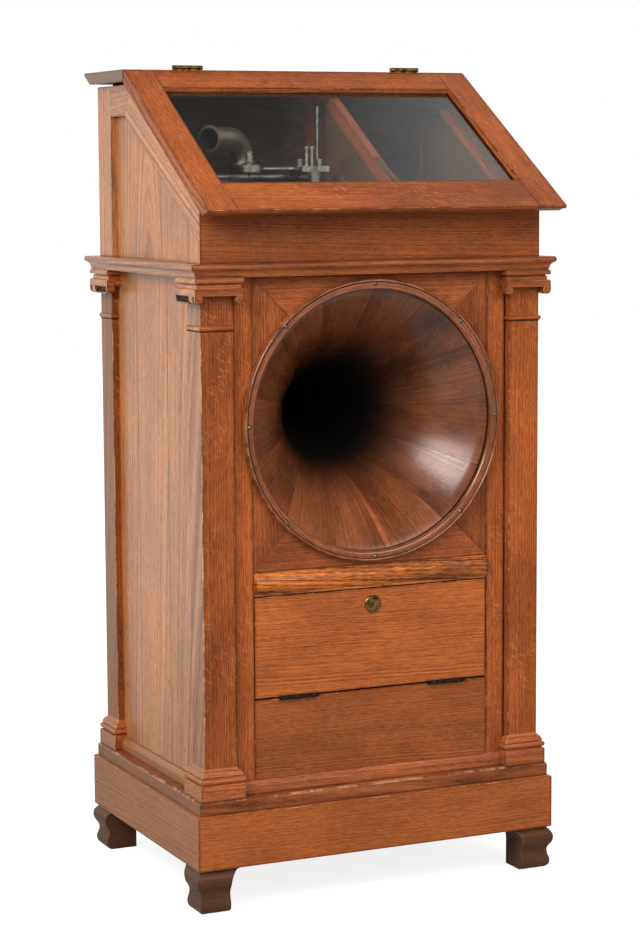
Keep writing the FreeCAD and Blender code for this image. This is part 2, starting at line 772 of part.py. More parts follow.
def skirt():
    """Four mitred skirt boards."""
    boards = []
    for toward in SIDES:
        plan = trapezoid(D.skirt_width / 2, D.skirt_width / 2 - D.skirt_thickness,
                         D.skirt_depth / 2, D.skirt_depth / 2 - D.skirt_thickness, toward)
        boards.append(prism("skirt_" + toward, "XY", plan, D.foot_height, FLOOR_BOTTOM))
    sub_part("skirt_boards", group("skirt_group", *boards))


def floor_board():
    """Floor board with a rounded upper edge all round."""

    def profile(half, middle):
        r = D.floor_round
        return [
            (middle - half, FLOOR_BOTTOM),
            (middle + half, FLOOR_BOTTOM),
            (middle + half, FLOOR_TOP - r),
            Arc((middle + half - r, FLOOR_TOP - r), (middle + half - r, FLOOR_TOP), True),
            (middle - half + r, FLOOR_TOP),
            Arc((middle - half + r, FLOOR_TOP - r), (middle - half, FLOOR_TOP - r), True),
        ]

    half_x = D.floor_width / 2
    half_y = D.floor_depth / 2
    one = prism("floor_front_view", "XZ", profile(half_x, size(0)), back(-half_y), back(half_y))
    two = prism("floor_side_view", "YZ", profile(half_y, MIDDLE), -half_x, half_x)
    sub_part("floor_board", shared("floor_solid", one, two))


def bottom_strips():
    """Moulding strips that cover the joint between the floor board and the panels."""
    top = FLOOR_TOP + D.strip_height
    slope = D.strip_depth * 0.6
    front_half = HALF_WIDTH - D.post_width - D.plinth_proud
    face = ahead(FRONT_FACE)
    strips = [prism("strip_front", "YZ", [
        (face - D.strip_depth, FLOOR_TOP), (face, FLOOR_TOP), (face, top),
        (face - D.strip_depth + slope, top), (face - D.strip_depth, top - slope)],
        -front_half, front_half)]
    side_face = HALF_WIDTH - D.side_recess
    half_run = HALF_DEPTH - D.post_depth - D.plinth_proud
    for side in (-1, 1):
        section = signed([
            (side_face, FLOOR_TOP), (side_face + D.strip_depth, FLOOR_TOP),
            (side_face + D.strip_depth, top - slope),
            (side_face + D.strip_depth - slope, top), (side_face, top)], side)
        strips.append(prism("strip_" + side_name(side), "XZ", section,
                            back(-half_run), back(half_run)))
    sub_part("bottom_mouldings", group("strip_group", *strips))


def corner_blocks(name, bottom, top, outline_of, proud):
    """Moulded block round the foot or head of one front left post."""
    outer_x = HALF_WIDTH + proud[0]
    inner_x = HALF_WIDTH - D.post_width - proud[1]
    outer_y = HALF_DEPTH + proud[2]
    inner_y = HALF_DEPTH - D.post_depth - proud[3]
    across = outline_of(-outer_x, -inner_x, size(0))
    along = outline_of(-outer_y, -inner_y, MIDDLE)
    front = prism(name + "_front_view", "XZ", across, ahead(outer_y), ahead(inner_y))
    side = prism(name + "_side_view", "YZ", along, -outer_x, -inner_x)
    whole = shared(name + "_whole", front, side)
    stile_notch = box(name + "_stile_notch",
                      (-(HALF_WIDTH - D.post_width), ahead(FRONT_FACE), bottom),
                      (-inner_x + 1, ahead(inner_y) + 1, top))
    panel_notch = box(name + "_panel_notch",
                      (-(HALF_WIDTH - D.side_recess), ahead(HALF_DEPTH - D.post_depth), bottom),
                      (-inner_x + 1, ahead(inner_y) + 1, top))
    return cut(name + "_block", whole, stile_notch, panel_notch)


def four_corners(name, front_left, rear_left=None):
    """A corner piece and its copies at the other corners."""
    rear = rear_left or mirrored(name + "_rear_left", front_left, BACKWARD)
    return group(name + "_group", front_left, rear,
                 mirrored(name + "_front_right", front_left, SIDEWAYS),
                 mirrored(name + "_rear_right", rear, SIDEWAYS))


def plinth_blocks():
    """Moulded plinth block under each post."""

    def outline_of(low, high, middle):
        level = POST_BOTTOM - D.plinth_cap
        step = D.plinth_proud * 0.25
        foot = level + D.plinth_cap * 0.35
        return [
            (middle + low, FLOOR_TOP), (middle + high, FLOOR_TOP),
            (middle + high, level), (middle + high - step, level + step),
            (middle + high - step, foot),
            (middle + high - D.plinth_proud, POST_BOTTOM),
            (middle + low + D.plinth_proud, POST_BOTTOM),
            (middle + low + step, foot),
            (middle + low + step, level + step), (middle + low, level),
        ]

    reach = (D.plinth_proud,) * 4
    block = corner_blocks("plinth", FLOOR_TOP, POST_BOTTOM, outline_of, reach)
    sub_part("plinth_blocks", four_corners("plinth", block))


def posts():
    """Four corner posts, each with a bead near its head."""
    low_x = -HALF_WIDTH
    high_x = low_x + D.post_width
    low_y = ahead(HALF_DEPTH)
    high_y = low_y + D.post_depth
    proud = D.collar_proud
    shaft = box("post_shaft", (low_x, low_y, POST_BOTTOM), (high_x, high_y, CAPITAL_BOTTOM))
    collar_top = D.collar_height + D.collar_thickness
    collar = box("post_collar", (low_x - proud, low_y - proud, D.collar_height),
                 (high_x, high_y, collar_top))
    inner_collar = box("post_inner_collar", (high_x, low_y - proud, D.collar_height),
                       (high_x + proud, ahead(FRONT_FACE), collar_top))
    front_left = fuse("post_solid", shaft, collar, inner_collar)
    rear_left = mirrored("post_rear_left", front_left, BACKWARD)
    sub_part("post_front_left", front_left)
    sub_part("post_back_left", rear_left)
    sub_part("post_front_right", mirrored("post_front_right_copy", front_left, SIDEWAYS))
    sub_part("post_back_right", mirrored("post_rear_right_copy", rear_left, SIDEWAYS))


def capitals():
    """Capital on each post, with rolled ends on the thin slab."""
    proud = (D.capital_side, D.capital_front, D.capital_front, D.capital_front)

    def outline_of(low, high, middle):
        slab = CAPITAL_BOTTOM + D.capital_slab
        neck = D.capital_front * 0.5
        lip = CORNICE_BOTTOM - D.capital_slab
        return [
            (middle + low + neck, CAPITAL_BOTTOM), (middle + high - neck, CAPITAL_BOTTOM),
            (middle + high, CAPITAL_BOTTOM + neck), (middle + high - neck * 0.4, slab),
            (middle + high, lip), (middle + high, CORNICE_BOTTOM),
            (middle + low, CORNICE_BOTTOM), (middle + low, lip),
            (middle + low + neck * 0.4, slab), (middle + low, CAPITAL_BOTTOM + neck),
        ]

    block = corner_blocks("capital", CAPITAL_BOTTOM, CORNICE_BOTTOM, outline_of, proud)
    roll_x = -(HALF_WIDTH + D.scroll_radius + 0.3)
    roll_z = CAPITAL_BOTTOM + D.capital_slab - 2 - D.scroll_radius * 0.6
    front_y = ahead(HALF_DEPTH + D.capital_front)
    rear_y = ahead(HALF_DEPTH - D.post_depth) - D.scroll_length
    front_roll = cylinder("capital_front_roll", "y", (roll_x, front_y, roll_z),
                          D.scroll_radius, D.scroll_length)
    rear_roll = cylinder("capital_rear_roll", "y", (roll_x, rear_y, roll_z),
                         D.scroll_radius, D.scroll_length)
    inner_roll = cylinder("capital_inner_roll", "y",
                          (-(HALF_WIDTH - D.post_width - 1), front_y, roll_z),
                          D.scroll_radius - 1, D.capital_front - 0.3)
    front_left = fuse("capital_front", block, front_roll, rear_roll, inner_roll)
    plain = mirrored("capital_plain", block, BACKWARD)
    hook = mirrored("capital_hook", rear_roll, BACKWARD)
    rear_left = fuse("capital_rear", plain, hook)
    sub_part("capitals", four_corners("capital_set", front_left, rear_left))


def cornice():
    """Four mitred lengths of cornice between the lower and the upper case."""
    half_x = D.cornice_width / 2
    half_y = D.cornice_depth / 2
    inner_x = HALF_WIDTH - D.upper_thickness - D.cornice_ledge
    inner_y = UPPER_HALF - D.upper_thickness - D.cornice_ledge
    fillet = D.cornice_thickness * 0.3
    neck = D.cornice_thickness * 0.35
    top = D.waist_height

    def section(outer, inner):
        """Profile of the cornice from its inner edge to its nose."""
        return [
            (inner, CORNICE_BOTTOM), (outer - neck, CORNICE_BOTTOM),
            (outer - neck, CORNICE_BOTTOM + 3), (outer - neck + 3, CORNICE_BOTTOM + 6),
            (outer - 2, top - fillet), (outer, top - fillet + 1), (outer, top - 3),
            (outer - 3, top), (inner, top),
        ]

    lengths = []
    for toward in SIDES:
        plan = trapezoid(half_x, inner_x, half_y, inner_y, toward)
        slab = prism(f"cornice_{toward}_plan", "XY", plan, CORNICE_BOTTOM, top)
        if toward in ("front", "back"):
            sign = -1 if toward == "front" else 1
            shape = [(MIDDLE + a, b) for a, b in signed(section(half_y, inner_y), sign)]
            bar = prism(f"cornice_{toward}_bar", "YZ", shape, -half_x, half_x)
        else:
            sign = -1 if toward == "left" else 1
            shape = signed(section(half_x, inner_x), sign)
            bar = prism(f"cornice_{toward}_bar", "XZ", shape, back(-half_y), back(half_y))
        lengths.append(shared(f"cornice_{toward}", slab, bar))
    sub_part("cornice", group("cornice_group", *lengths))


def lower_panels():
    """Side panels and back panel between the posts."""
    outer = HALF_WIDTH - D.side_recess
    half_run = HALF_DEPTH - D.post_depth
    hole = cylinder("winder_side_hole", "x", (outer - D.side_thickness - 1,
                    back(BARREL_BACK), D.motor_height), D.winder_hole, D.side_thickness + 2)
    for side in (-1, 1):
        ends = sorted((side * outer, side * (outer - D.side_thickness)), key=lambda a: a.value)
        panel = box(f"side_panel_{side_name(side)}_board", (ends[0], back(-half_run), FLOOR_TOP),
                    (ends[1], back(half_run), CORNICE_BOTTOM))
        if side > 0:
            panel = cut("side_panel_right_bored", panel, hole)
        sub_part("side_panel_" + side_name(side), panel)
    inner = HALF_WIDTH - D.post_width
    sub_part("back_panel", box("back_panel_board",
             (-inner, back(BACK_INSIDE), FLOOR_TOP),
             (inner, back(FRONT_FACE), CORNICE_BOTTOM)))


def front_frame():
    """Stiles, mitred horn boards, head rail and lower panel of the front."""
    face = ahead(FRONT_FACE)
    rear = ahead(FRONT_BACK)
    post = HALF_WIDTH - D.post_width
    bore = cylinder("horn_bore", "y", (0, face - 1, D.horn_height),
                    D.mouth_radius + D.horn_wall + D.horn_gap, D.front_thickness + 2)
    stiles = []
    for side in (-1, 1):
        plan = signed([
            (D.stile_inner, face), (post - D.stile_gap, face), (post - D.stile_gap, rear),
            (post, rear), (post, rear + D.stile_backing),
            (post - 2 * D.stile_backing, rear + D.stile_backing),
            (post - 2 * D.stile_backing, rear), (D.stile_inner, rear)], side)
        length = prism(f"stile_{side_name(side)}_length", "XY", plan, FLOOR_TOP, CORNICE_BOTTOM)
        stiles.append(cut(f"stile_{side_name(side)}", length, bore))
    sub_part("front_stiles", group("stile_group", *stiles))

    half = D.stile_inner
    low, high = D.rail_top, CORNICE_BOTTOM
    boards = {
        "left": [(-half, low), (0, low + half), (0, high - half), (-half, high)],
        "right": [(half, low), (half, high), (0, high - half), (0, low + half)],
        "lower": [(-half, low), (half, low), (0, low + half)],
        "upper": [(-half, high), (0, high - half), (half, high)],
    }
    cut_boards = []
    for where, outline in boards.items():
        board = prism(f"horn_board_{where}", "XZ", outline, face, rear)
        cut_boards.append(cut(f"horn_board_{where}_cut", board, bore))
    sub_part("horn_boards", group("horn_board_group", *cut_boards))

    swell = D.rail_swell
    middle = (D.rail_bottom + D.rail_top) / 2
    rise = (D.rail_top - D.rail_bottom) / 2 - 4
    radius = (rise * rise + swell * swell) / (2 * swell)
    centre = (face - swell + radius, middle)
    rail = prism("head_rail_length", "YZ", [
        (rear, D.rail_top), (face, D.rail_top), (face, middle + rise),
        Arc(centre, (face - swell, middle), True), Arc(centre, (face, middle - rise), True),
        (face, D.rail_bottom), (rear, D.rail_bottom)], -half, half)
    sub_part("head_rail", rail)
    sub_part("lower_front_panel", box("lower_panel_board", (-half, face, FLOOR_TOP),
             (half, rear, D.door_bottom - D.hinge_gap)))


def cash_shelf():
    """Shelf behind the door, let in between the side panels."""
    rear = ahead(FRONT_BACK)
    narrow = HALF_WIDTH - D.post_width
    wide = HALF_WIDTH - D.side_recess - D.side_thickness
    step = ahead(HALF_DEPTH - D.post_depth)
    top = D.door_bottom - D.hinge_gap
    plan = [
        (-narrow, rear + D.stile_backing), (-narrow, step), (-wide, step),
        (-wide, rear + D.shelf_depth), (wide, rear + D.shelf_depth), (wide, step),
        (narrow, step), (narrow, rear + D.stile_backing), (D.stile_inner, rear + D.stile_backing),
        (D.stile_inner, rear), (-D.stile_inner, rear), (-D.stile_inner, rear + D.stile_backing),
    ]
    sub_part("cash_shelf", prism("shelf_board", "XY", plan, top - D.shelf_thickness, top))


def horn_radius(distance):
    """Inside radius of the horn at a distance from its mouth, shrinking at a steady rate."""
    ratio = D.throat_radius.value / D.mouth_radius.value
    return D.mouth_radius.value * ratio ** (distance / D.horn_length.value)


def horn():
    """Staves of the horn, each a curved board that tapers to the small end."""
    length = D.horn_length.value
    wall = D.horn_wall.value
    mouth_y = ahead(FRONT_FACE).value
    steps = [length * index / 12 for index in range(13)]

    def edge(extra):
        """Curve along the stave, inside or outside."""
        points = [FreeCAD.Vector(horn_radius(s) + extra, mouth_y + s, 0) for s in steps]
        curve = Part.BSplineCurve()
        curve.interpolate(points)
        return curve.toShape()

    inner = edge(0)
    outer = edge(wall)
    ends = [Part.makeLine(inner.valueAt(inner.ParameterRange[i]),
                          outer.valueAt(outer.ParameterRange[i])) for i in (0, 1)]
    section = Part.Face(Part.Wire(Part.__sortEdges__([inner, ends[1], outer, ends[0]])))
    seam = D.stave_seam.value
    axis = FreeCAD.Vector(0, -1, 0)
    staves = []
    for start, finish in zip(STAVE_SEAMS, STAVE_SEAMS[1:] + (STAVE_SEAMS[0] + FULL_TURN,)):
        stave = section.copy()
        stave.rotate(FreeCAD.Vector(0, 0, 0), axis, start + seam / 2)
        staves.append(stave.revolve(FreeCAD.Vector(0, 0, 0), axis, finish - start - seam))
    made = doc.addObject("Part::Feature", "horn_staves_shape")
    made.Shape = Part.makeCompound(staves)
    made.Placement.Base = FreeCAD.Vector(0, 0, D.horn_height.value)
    sub_part("horn_staves", made)


def mouth_ring():
    """Beaded ring over the ends of the staves, held by round-head screws."""
    face = ahead(FRONT_FACE)
    bead = D.ring_bead
    front = D.ring_thickness
    ring = turned("ring_blank", [
        (D.mouth_radius, 0), (D.ring_radius, 0), (D.ring_radius, front - bead),
        Arc((D.ring_radius - bead, front - bead), (D.ring_radius - bead, front), True),
        (D.mouth_radius + 4, front), (D.mouth_radius, front - 4)],
        (0, face, D.horn_height), turn=FreeCAD.Rotation(FreeCAD.Vector(1, 0, 0), 90))
    shanks = []
    screws = []
    count = int(D.ring_screws.value)
    for index in range(count):
        angle = FULL_TURN * index / count
        x = D.ring_screw_circle * wave("sin", angle)
        z = D.horn_height + D.ring_screw_circle * wave("cos", angle)
        start = (x, face - front, z)
        shanks.append(cylinder(f"screw_{index}_hole", "y", start, D.screw_shank, front - 2))
        shank = cylinder(f"screw_{index}_shank", "y", start, D.screw_shank, front - 2)
        head = turned(f"screw_{index}_head", [
            (0, 0), (D.screw_head, 0), Arc((0, 0), (0, D.screw_head), True)], start,
            turn=FreeCAD.Rotation(FreeCAD.Vector(1, 0, 0), 90))
        screws.append(fuse(f"ring_screw_{index}", head, shank))
    sub_part("mouth_ring", cut("ring_bored", ring, *shanks))
    sub_part("ring_screws", group("ring_screw_group", *screws))


def rounded_path(points, radii):
    """Straight runs joined by tangent arcs, as one wire."""
    edges = []
    start = points[0]
    for before, corner, after, radius in zip(points, points[1:], points[2:], radii):
        into = (corner - before).normalize()
        out = (after - corner).normalize()
        half_turn = into.getAngle(out) / 2
        reach = radius * math.tan(half_turn)
        begin = corner - into * reach
        finish = corner + out * reach
        bisector = (out - into).normalize()
        centre = corner + bisector * (radius / math.cos(half_turn))
        middle = centre - bisector * radius
        edges.append(Part.makeLine(start, begin))
        edges.append(Part.Arc(begin, middle, finish).toShape())
        start = finish
    edges.append(Part.makeLine(start, points[-1]))
    return Part.Wire(edges)


def swept_tube(path, outer, inner):
    """Pipe with a bore along a path."""
    start = path.Edges[0]
    direction = start.tangentAt(start.FirstParameter)
    walls = []
    for radius in (outer, inner):
        ring = Part.Wire(Part.makeCircle(radius, start.valueAt(start.FirstParameter), direction))
        walls.append(path.makePipeShell([ring], True, False))
    return walls[0].cut(walls[1])


def horn_neck():
    """Pipe that carries the sound from the small end of the horn up through the deck."""
    small_y = ahead(FRONT_FACE).value + D.horn_length.value
    level = D.horn_height.value
    elbow_x = -D.elbow_left.value
    elbow_y = back(D.elbow_back).value
    bend = D.neck_bend.value
    outer = D.neck_radius.value
    wall = D.neck_wall.value
    cone = D.neck_cone.value
    turn_y = small_y + cone + bend + D.neck_straight.value
    top = D.waist_height.value - D.neck_drop.value
    points = [FreeCAD.Vector(*spot) for spot in (
        (0, small_y + cone, level), (0, turn_y, level), (elbow_x / 2, turn_y, level + D.neck_climb.value),
        (elbow_x, elbow_y, top), (elbow_x, elbow_y, DECK_TOP.value))]
    pipe = swept_tube(rounded_path(points, (bend, bend, bend)), outer, outer - wall)
    throat = D.throat_radius.value
    rim = throat + D.horn_wall.value
    start = FreeCAD.Vector(0, small_y, level)
    toward = FreeCAD.Vector(0, 1, 0)
    flare = Part.makeCone(rim, outer, cone, start, toward)
    flare = flare.cut(Part.makeCone(throat, outer - wall, cone, start, toward))
    made = doc.addObject("Part::Feature", "neck_shape")
    made.Shape = pipe.fuse(flare).removeSplitter()
    sub_part("horn_neck", made)


def upper_sides():
    """Framed sides of the music case with sunk panels and cleats for the top board."""
    seat = D.lid_thickness + D.lid_clearance
    low_seat = seat + D.upper_slope_rail
    front = -UPPER_HALF
    stile = front + D.upper_front_stile
    rear = UPPER_HALF - D.upper_rear_stile
    rail = UPPER_TOP - D.upper_top_rail
    shift = LID_COSINE / LID_SINE
    crest = D.lid_joint - (D.overall_height - UPPER_TOP - seat / LID_COSINE) * shift
    notch = D.lid_joint - (D.overall_height - rail - low_seat / LID_COSINE) * shift
    foot = D.waist_height
    members = {
        "front_stile": [(front, foot), (stile, foot), (stile, lid_level(stile, low_seat)),
                        (front, lid_level(front, low_seat))],
        "slope_rail": [(front, lid_level(front, low_seat)), (notch, rail), (crest, UPPER_TOP),
                       (front, lid_level(front, seat))],
        "top_rail": [(notch, rail), (rear, rail), (rear, UPPER_TOP), (crest, UPPER_TOP)],
        "rear_stile": [(rear, foot), (UPPER_HALF, foot), (UPPER_HALF, UPPER_TOP),
                       (rear, UPPER_TOP)],
    }
    panel_outline = [(stile, foot), (rear, foot), (rear, rail), (notch, rail),
                     (stile, lid_level(stile, low_seat))]
    outer = HALF_WIDTH
    inner = outer - D.upper_thickness
    panel_face = outer - D.upper_sunk
    slot = box("coin_slot_cut", (panel_face - D.upper_panel - 1,
               ahead(D.coin_place) - D.coin_slot_length / 2, D.coin_height - D.coin_slot_width / 2),
               (panel_face + 1, ahead(D.coin_place) + D.coin_slot_length / 2,
                D.coin_height + D.coin_slot_width / 2))
    for side in (-1, 1):
        where = side_name(side)
        span = sorted((side * inner, side * outer), key=lambda a: a.value)
        mitre = prism(f"upper_mitre_{where}", "XY", signed([
            (inner - 1, back(front - 1)), (outer + 1, back(front - 1)), (inner - 1, back(front)
             + D.upper_thickness + 1)], side), foot - 1, D.overall_height)
        solids = []
        for member, outline in members.items():
            moved = [(back(a), b) for a, b in outline]
            length = prism(f"upper_{where}_{member}", "YZ", moved, *span)
            if member in ("front_stile", "slope_rail"):
                length = cut(f"upper_{where}_{member}_mitred", length, mitre)
            solids.append(length)
        panel_span = sorted((side * panel_face, side * (panel_face - D.upper_panel)),
                            key=lambda a: a.value)
        panel = prism(f"upper_{where}_panel", "YZ", [(back(a), b) for a, b in panel_outline],
                      *panel_span)
        if side > 0:
            panel = cut("upper_right_panel_slotted", panel, slot)
        solids.append(panel)
        cleat_span = sorted((side * inner, side * (inner - D.cleat_size)), key=lambda a: a.value)
        solids.append(box(f"upper_{where}_cleat", (cleat_span[0], back(D.lid_joint + 12),
                      BOARD_BOTTOM - 2 * D.cleat_size),
                      (cleat_span[1], back(UPPER_HALF - D.upper_thickness), BOARD_BOTTOM)))
        sub_part("upper_side_" + where, group(f"upper_side_{where}_group", *solids))


def music_case():
    """Frieze, back, deck and partition of the music case."""
    outer = HALF_WIDTH
    inner = outer - D.upper_thickness
    front = -UPPER_HALF
    seat = D.lid_thickness + D.lid_clearance
    rear = front + D.upper_thickness
    section = prism("frieze_section", "YZ", [
        (back(front), D.waist_height), (back(rear), D.waist_height),
        (back(rear), lid_level(rear, seat)), (back(front), lid_level(front, seat))],
        -outer, outer)
    plan = prism("frieze_plan", "XY", [(-outer, back(front)), (outer, back(front)),
                 (inner, back(rear)), (-inner, back(rear))], D.waist_height, D.overall_height)
    sub_part("frieze_board", shared("frieze_solid", section, plan))
    wall = UPPER_HALF - D.upper_thickness
    sub_part("upper_back", box("upper_back_board", (-inner, back(wall), D.waist_height),
             (inner, back(UPPER_HALF), UPPER_TOP)))

    gap = D.deck_clearance
    deck = box("deck_blank", (-inner + gap, back(rear) + gap, D.waist_height),
               (inner - gap, back(wall) - gap, DECK_TOP))
    pipe_hole = cylinder("deck_pipe_hole", "z", (-D.elbow_left, back(D.elbow_back),
                         D.waist_height - 1), D.neck_radius + 0.3, D.deck_thickness + 2)
    slot_x = D.pulley_left + D.pulley_width / 2
    belt_slot = box("deck_belt_slot", (slot_x - 8, ahead(D.shaft_place) - D.pulley_radius - 8,
                    D.waist_height - 1), (slot_x + 8, ahead(D.shaft_place) + D.pulley_radius + 8,
                    DECK_TOP + 1))
    half_chute = D.chute_width / 2 + 1
    chute_hole = box("deck_chute_hole", (D.chute_centre - half_chute,
                     ahead(D.coin_place) - D.chute_depth / 2 - 1, D.waist_height - 1),
                     (D.chute_centre + half_chute,
                      ahead(D.coin_place) + D.chute_depth / 2 + 1, DECK_TOP + 1))
    sub_part("deck_board", cut("deck_holed", deck, pipe_hole, belt_slot, chute_hole))

    left = D.partition_left
    right = left + D.partition_thickness
    top = D.lid_thickness + D.partition_gap
    low = top + D.partition_rail
    end = D.partition_back
    stile = end - D.partition_stile
    peak = lid_level(D.lid_joint, top)
    rail = prism("partition_rail", "YZ", [
        (back(rear), lid_level(rear, low)), (back(stile), lid_level(stile, low)),
        (back(stile), peak), (back(D.lid_joint), peak), (back(rear), lid_level(rear, top))],
        left, right)
    post = box("partition_stile", (left, back(stile), DECK_TOP),
               (right, back(end), BOARD_BOTTOM - D.partition_gap))
    inset = (D.partition_thickness - D.partition_panel) / 2
    panel = prism("partition_panel", "YZ", [
        (back(rear), DECK_TOP), (back(stile), DECK_TOP), (back(stile), lid_level(stile, low)),
        (back(rear), lid_level(rear, low))], left + inset, right - inset)
    sub_part("partition", group("partition_group", rail, post, panel))

    joint = D.lid_joint + D.hinge_gap / 2
    half = D.lid_width / 2
    sub_part("top_board", prism("top_board_length", "YZ", [
        (back(joint), BOARD_BOTTOM), (back(D.board_reach - D.board_undercut), BOARD_BOTTOM),
        (back(D.board_reach), D.overall_height - 4), (back(D.board_reach), D.overall_height),
        (back(joint), D.overall_height)], -half, half))


def lid():
    """Framed and glazed lid, drawn flat and then laid on its slope."""
    half = D.lid_width / 2
    depth = D.lid_thickness
    head = -(D.hinge_gap / 2) / LID_COSINE
    plumb = head - depth * LID_SINE / LID_COSINE
    foot = -D.lid_length
    bevel = D.lid_bevel
    section = [(foot, 0), (head, 0), (plumb, -depth), (foot + bevel, -depth), (foot, -depth + bevel)]
    inner = half - D.lid_stile
    low = foot + D.lid_bottom_rail
    high = -D.lid_top_rail
    rebate = D.glass_rebate
    fit = 0.3
    pane_top = -D.glass_sunk
    pane_low = pane_top - D.glass_thickness
    rebate_cut = box("lid_rebate", (-inner - rebate, low - rebate, -depth - 1),
                     (inner + rebate, high + rebate, pane_top))
    members = {
        "left_stile": prism("lid_left_stile_bar", "YZ", section, -half, -inner),
        "right_stile": prism("lid_right_stile_bar", "YZ", section, inner, half),
        "lower_rail": prism("lid_lower_rail_bar", "YZ", [
            (foot, 0), (low, 0), (low, -depth), (foot + bevel, -depth), (foot, -depth + bevel)],
            -inner, inner),
        "upper_rail": prism("lid_upper_rail_bar", "YZ", [
            (high, 0), (head, 0), (plumb, -depth), (high, -depth)], -inner, inner),
    }
    solids = [cut(f"lid_{name}", bar, rebate_cut) for name, bar in members.items()]
    beads = []
    for name, low_corner, high_corner in (
            ("left", (-inner - rebate, low - rebate), (-inner, high + rebate)),
            ("right", (inner, low - rebate), (inner + rebate, high + rebate)),
            ("lower", (-inner, low - rebate), (inner, low)),
            ("upper", (-inner, high), (inner, high + rebate))):
        beads.append(box(f"glass_bead_{name}", (*low_corner, -depth), (*high_corner, pane_low)))
    frame = group("lid_frame_group", *solids, *beads)
    slope = FreeCAD.Rotation(FreeCAD.Vector(1, 0, 0), D.lid_slope.value)
    place = (0, back(D.lid_joint), D.overall_height)
    sub_part("lid_frame", tilt(frame, place, slope))
    glass = box("glass_pane", (-inner - rebate + fit, low - rebate + fit, pane_low),
                (inner + rebate - fit, high + rebate - fit, pane_top))
    sub_part("lid_glass", tilt(group("glass_group", glass), place, slope))


def tilt(shape, place, rotation):
    """Lay a finished shape on the lid's slope."""
    settle(shape, place, rotation)
    bind(shape, "Placement.Rotation.Angle", D.lid_slope)
    return shape


def hinge_pair(name, place, length, axis_y, axis_z, fixed_leaf, moving_leaf):
    """Two butt hinges, split into fixed and moving halves that share an axis."""
    fixed = []
    moving = []
    share = length / 5
    play = D.knuckle_play / 2
    for side in (-1, 1):
        start = side * place - length / 2
        for number in range(5):
            low = start + share * number + play
            long = share - 2 * play
            knuckle = cylinder(f"{name}_{side_name(side)}_knuckle_{number}", "x",
                               (low, axis_y, axis_z), D.knuckle_radius, long)
            owner = fixed if number % 2 == 0 else moving
            leaf = fixed_leaf if owner is fixed else moving_leaf
            tongue = box(f"{name}_{side_name(side)}_tongue_{number}",
                         (low, leaf[0], leaf[2]), (low + long, leaf[1], leaf[3]))
            owner.append(fuse(f"{name}_{side_name(side)}_part_{number}", knuckle, tongue))
    halves = []
    for label, pieces, leaf in (("fixed", fixed, fixed_leaf), ("moving", moving, moving_leaf)):
        solids = []
        per_side = len(pieces) // 2
        for index, side in enumerate((-1, 1)):
            start = side * place - length / 2
            plate = box(f"{name}_{label}_{side_name(side)}_plate", (start, leaf[0], leaf[4]),
                        (start + length, leaf[1], leaf[5]))
            own = pieces[index * per_side:(index + 1) * per_side]
            solids.append(fuse(f"{name}_{label}_{side_name(side)}", plate, *own))
        halves.append(group(f"{name}_{label}_group", *solids))
    return halves


def lid_hinges():
    """Brass butt hinges in the joint between the top board and the lid."""
    axis_y = back(D.lid_joint)
    axis_z = D.overall_height + D.knuckle_lift
    thick = D.leaf_thickness
    half_gap = D.hinge_gap / 2
    top = D.overall_height - 0.4
    low = D.overall_height - D.leaf_depth
    fixed_leaf = (axis_y + half_gap - thick, axis_y + half_gap, top - 2, axis_z, low, top)
    moving_leaf = (axis_y - half_gap, axis_y - half_gap + thick, top - 2, axis_z, low, top)
    fixed, moving = hinge_pair("lid_hinge", D.lid_hinge_place, D.lid_hinge_length,
                               axis_y, axis_z, fixed_leaf, moving_leaf)
    sub_part("lid_hinge_fixed", fixed)
    sub_part("lid_hinge_leaves", moving)


def door_and_hinges():
    """Drop-front door of the cash compartment on two iron butt hinges."""
    face = ahead(FRONT_FACE)
    rear = ahead(FRONT_BACK)
    half = D.stile_inner - D.door_gap
    blank = box("door_blank", (-half, face, D.door_bottom), (half, rear, D.door_top))
    lock_hole = cylinder("door_lock_hole", "y", (0, face - 1, D.lock_height),
                         D.lock_radius - 3, D.front_thickness + 2)
    sub_part("door", cut("door_bored", blank, lock_hole))

    axis_z = D.door_bottom - D.hinge_gap / 2
    axis_y = face - D.knuckle_radius - 0.4
    thick = D.leaf_thickness
    lower = axis_z - D.hinge_gap / 2
    upper = axis_z + D.hinge_gap / 2
    halves = {"fixed": [], "moving": []}
    share = D.door_hinge_length / 5
    play = D.knuckle_play / 2
    for side in (-1, 1):
        start = side * D.door_hinge_place - D.door_hinge_length / 2
        for half_name, bottom, top, odd in (("fixed", lower, lower + thick, 0),
                                            ("moving", upper - thick, upper, 1)):
            pieces = [box(f"door_{half_name}_{side_name(side)}_plate",
                          (start, face + 0.1, bottom),
                          (start + D.door_hinge_length, face + D.leaf_depth, top))]
            for number in range(odd, 5, 2):
                low = start + share * number + play
                long = share - 2 * play
                label = f"door_{half_name}_{side_name(side)}_{number}"
                pieces.append(cylinder(label + "_knuckle", "x", (low, axis_y, axis_z),
                                       D.knuckle_radius, long))
                pieces.append(box(label + "_tongue", (low, axis_y, bottom),
                                  (low + long, face + 1, top)))
            halves[half_name].append(fuse(f"door_{half_name}_{side_name(side)}", *pieces))
    sub_part("door_hinge_fixed", group("door_hinge_fixed_group", *halves["fixed"]))
    sub_part("door_hinge_leaves", group("door_hinge_moving_group", *halves["moving"]))


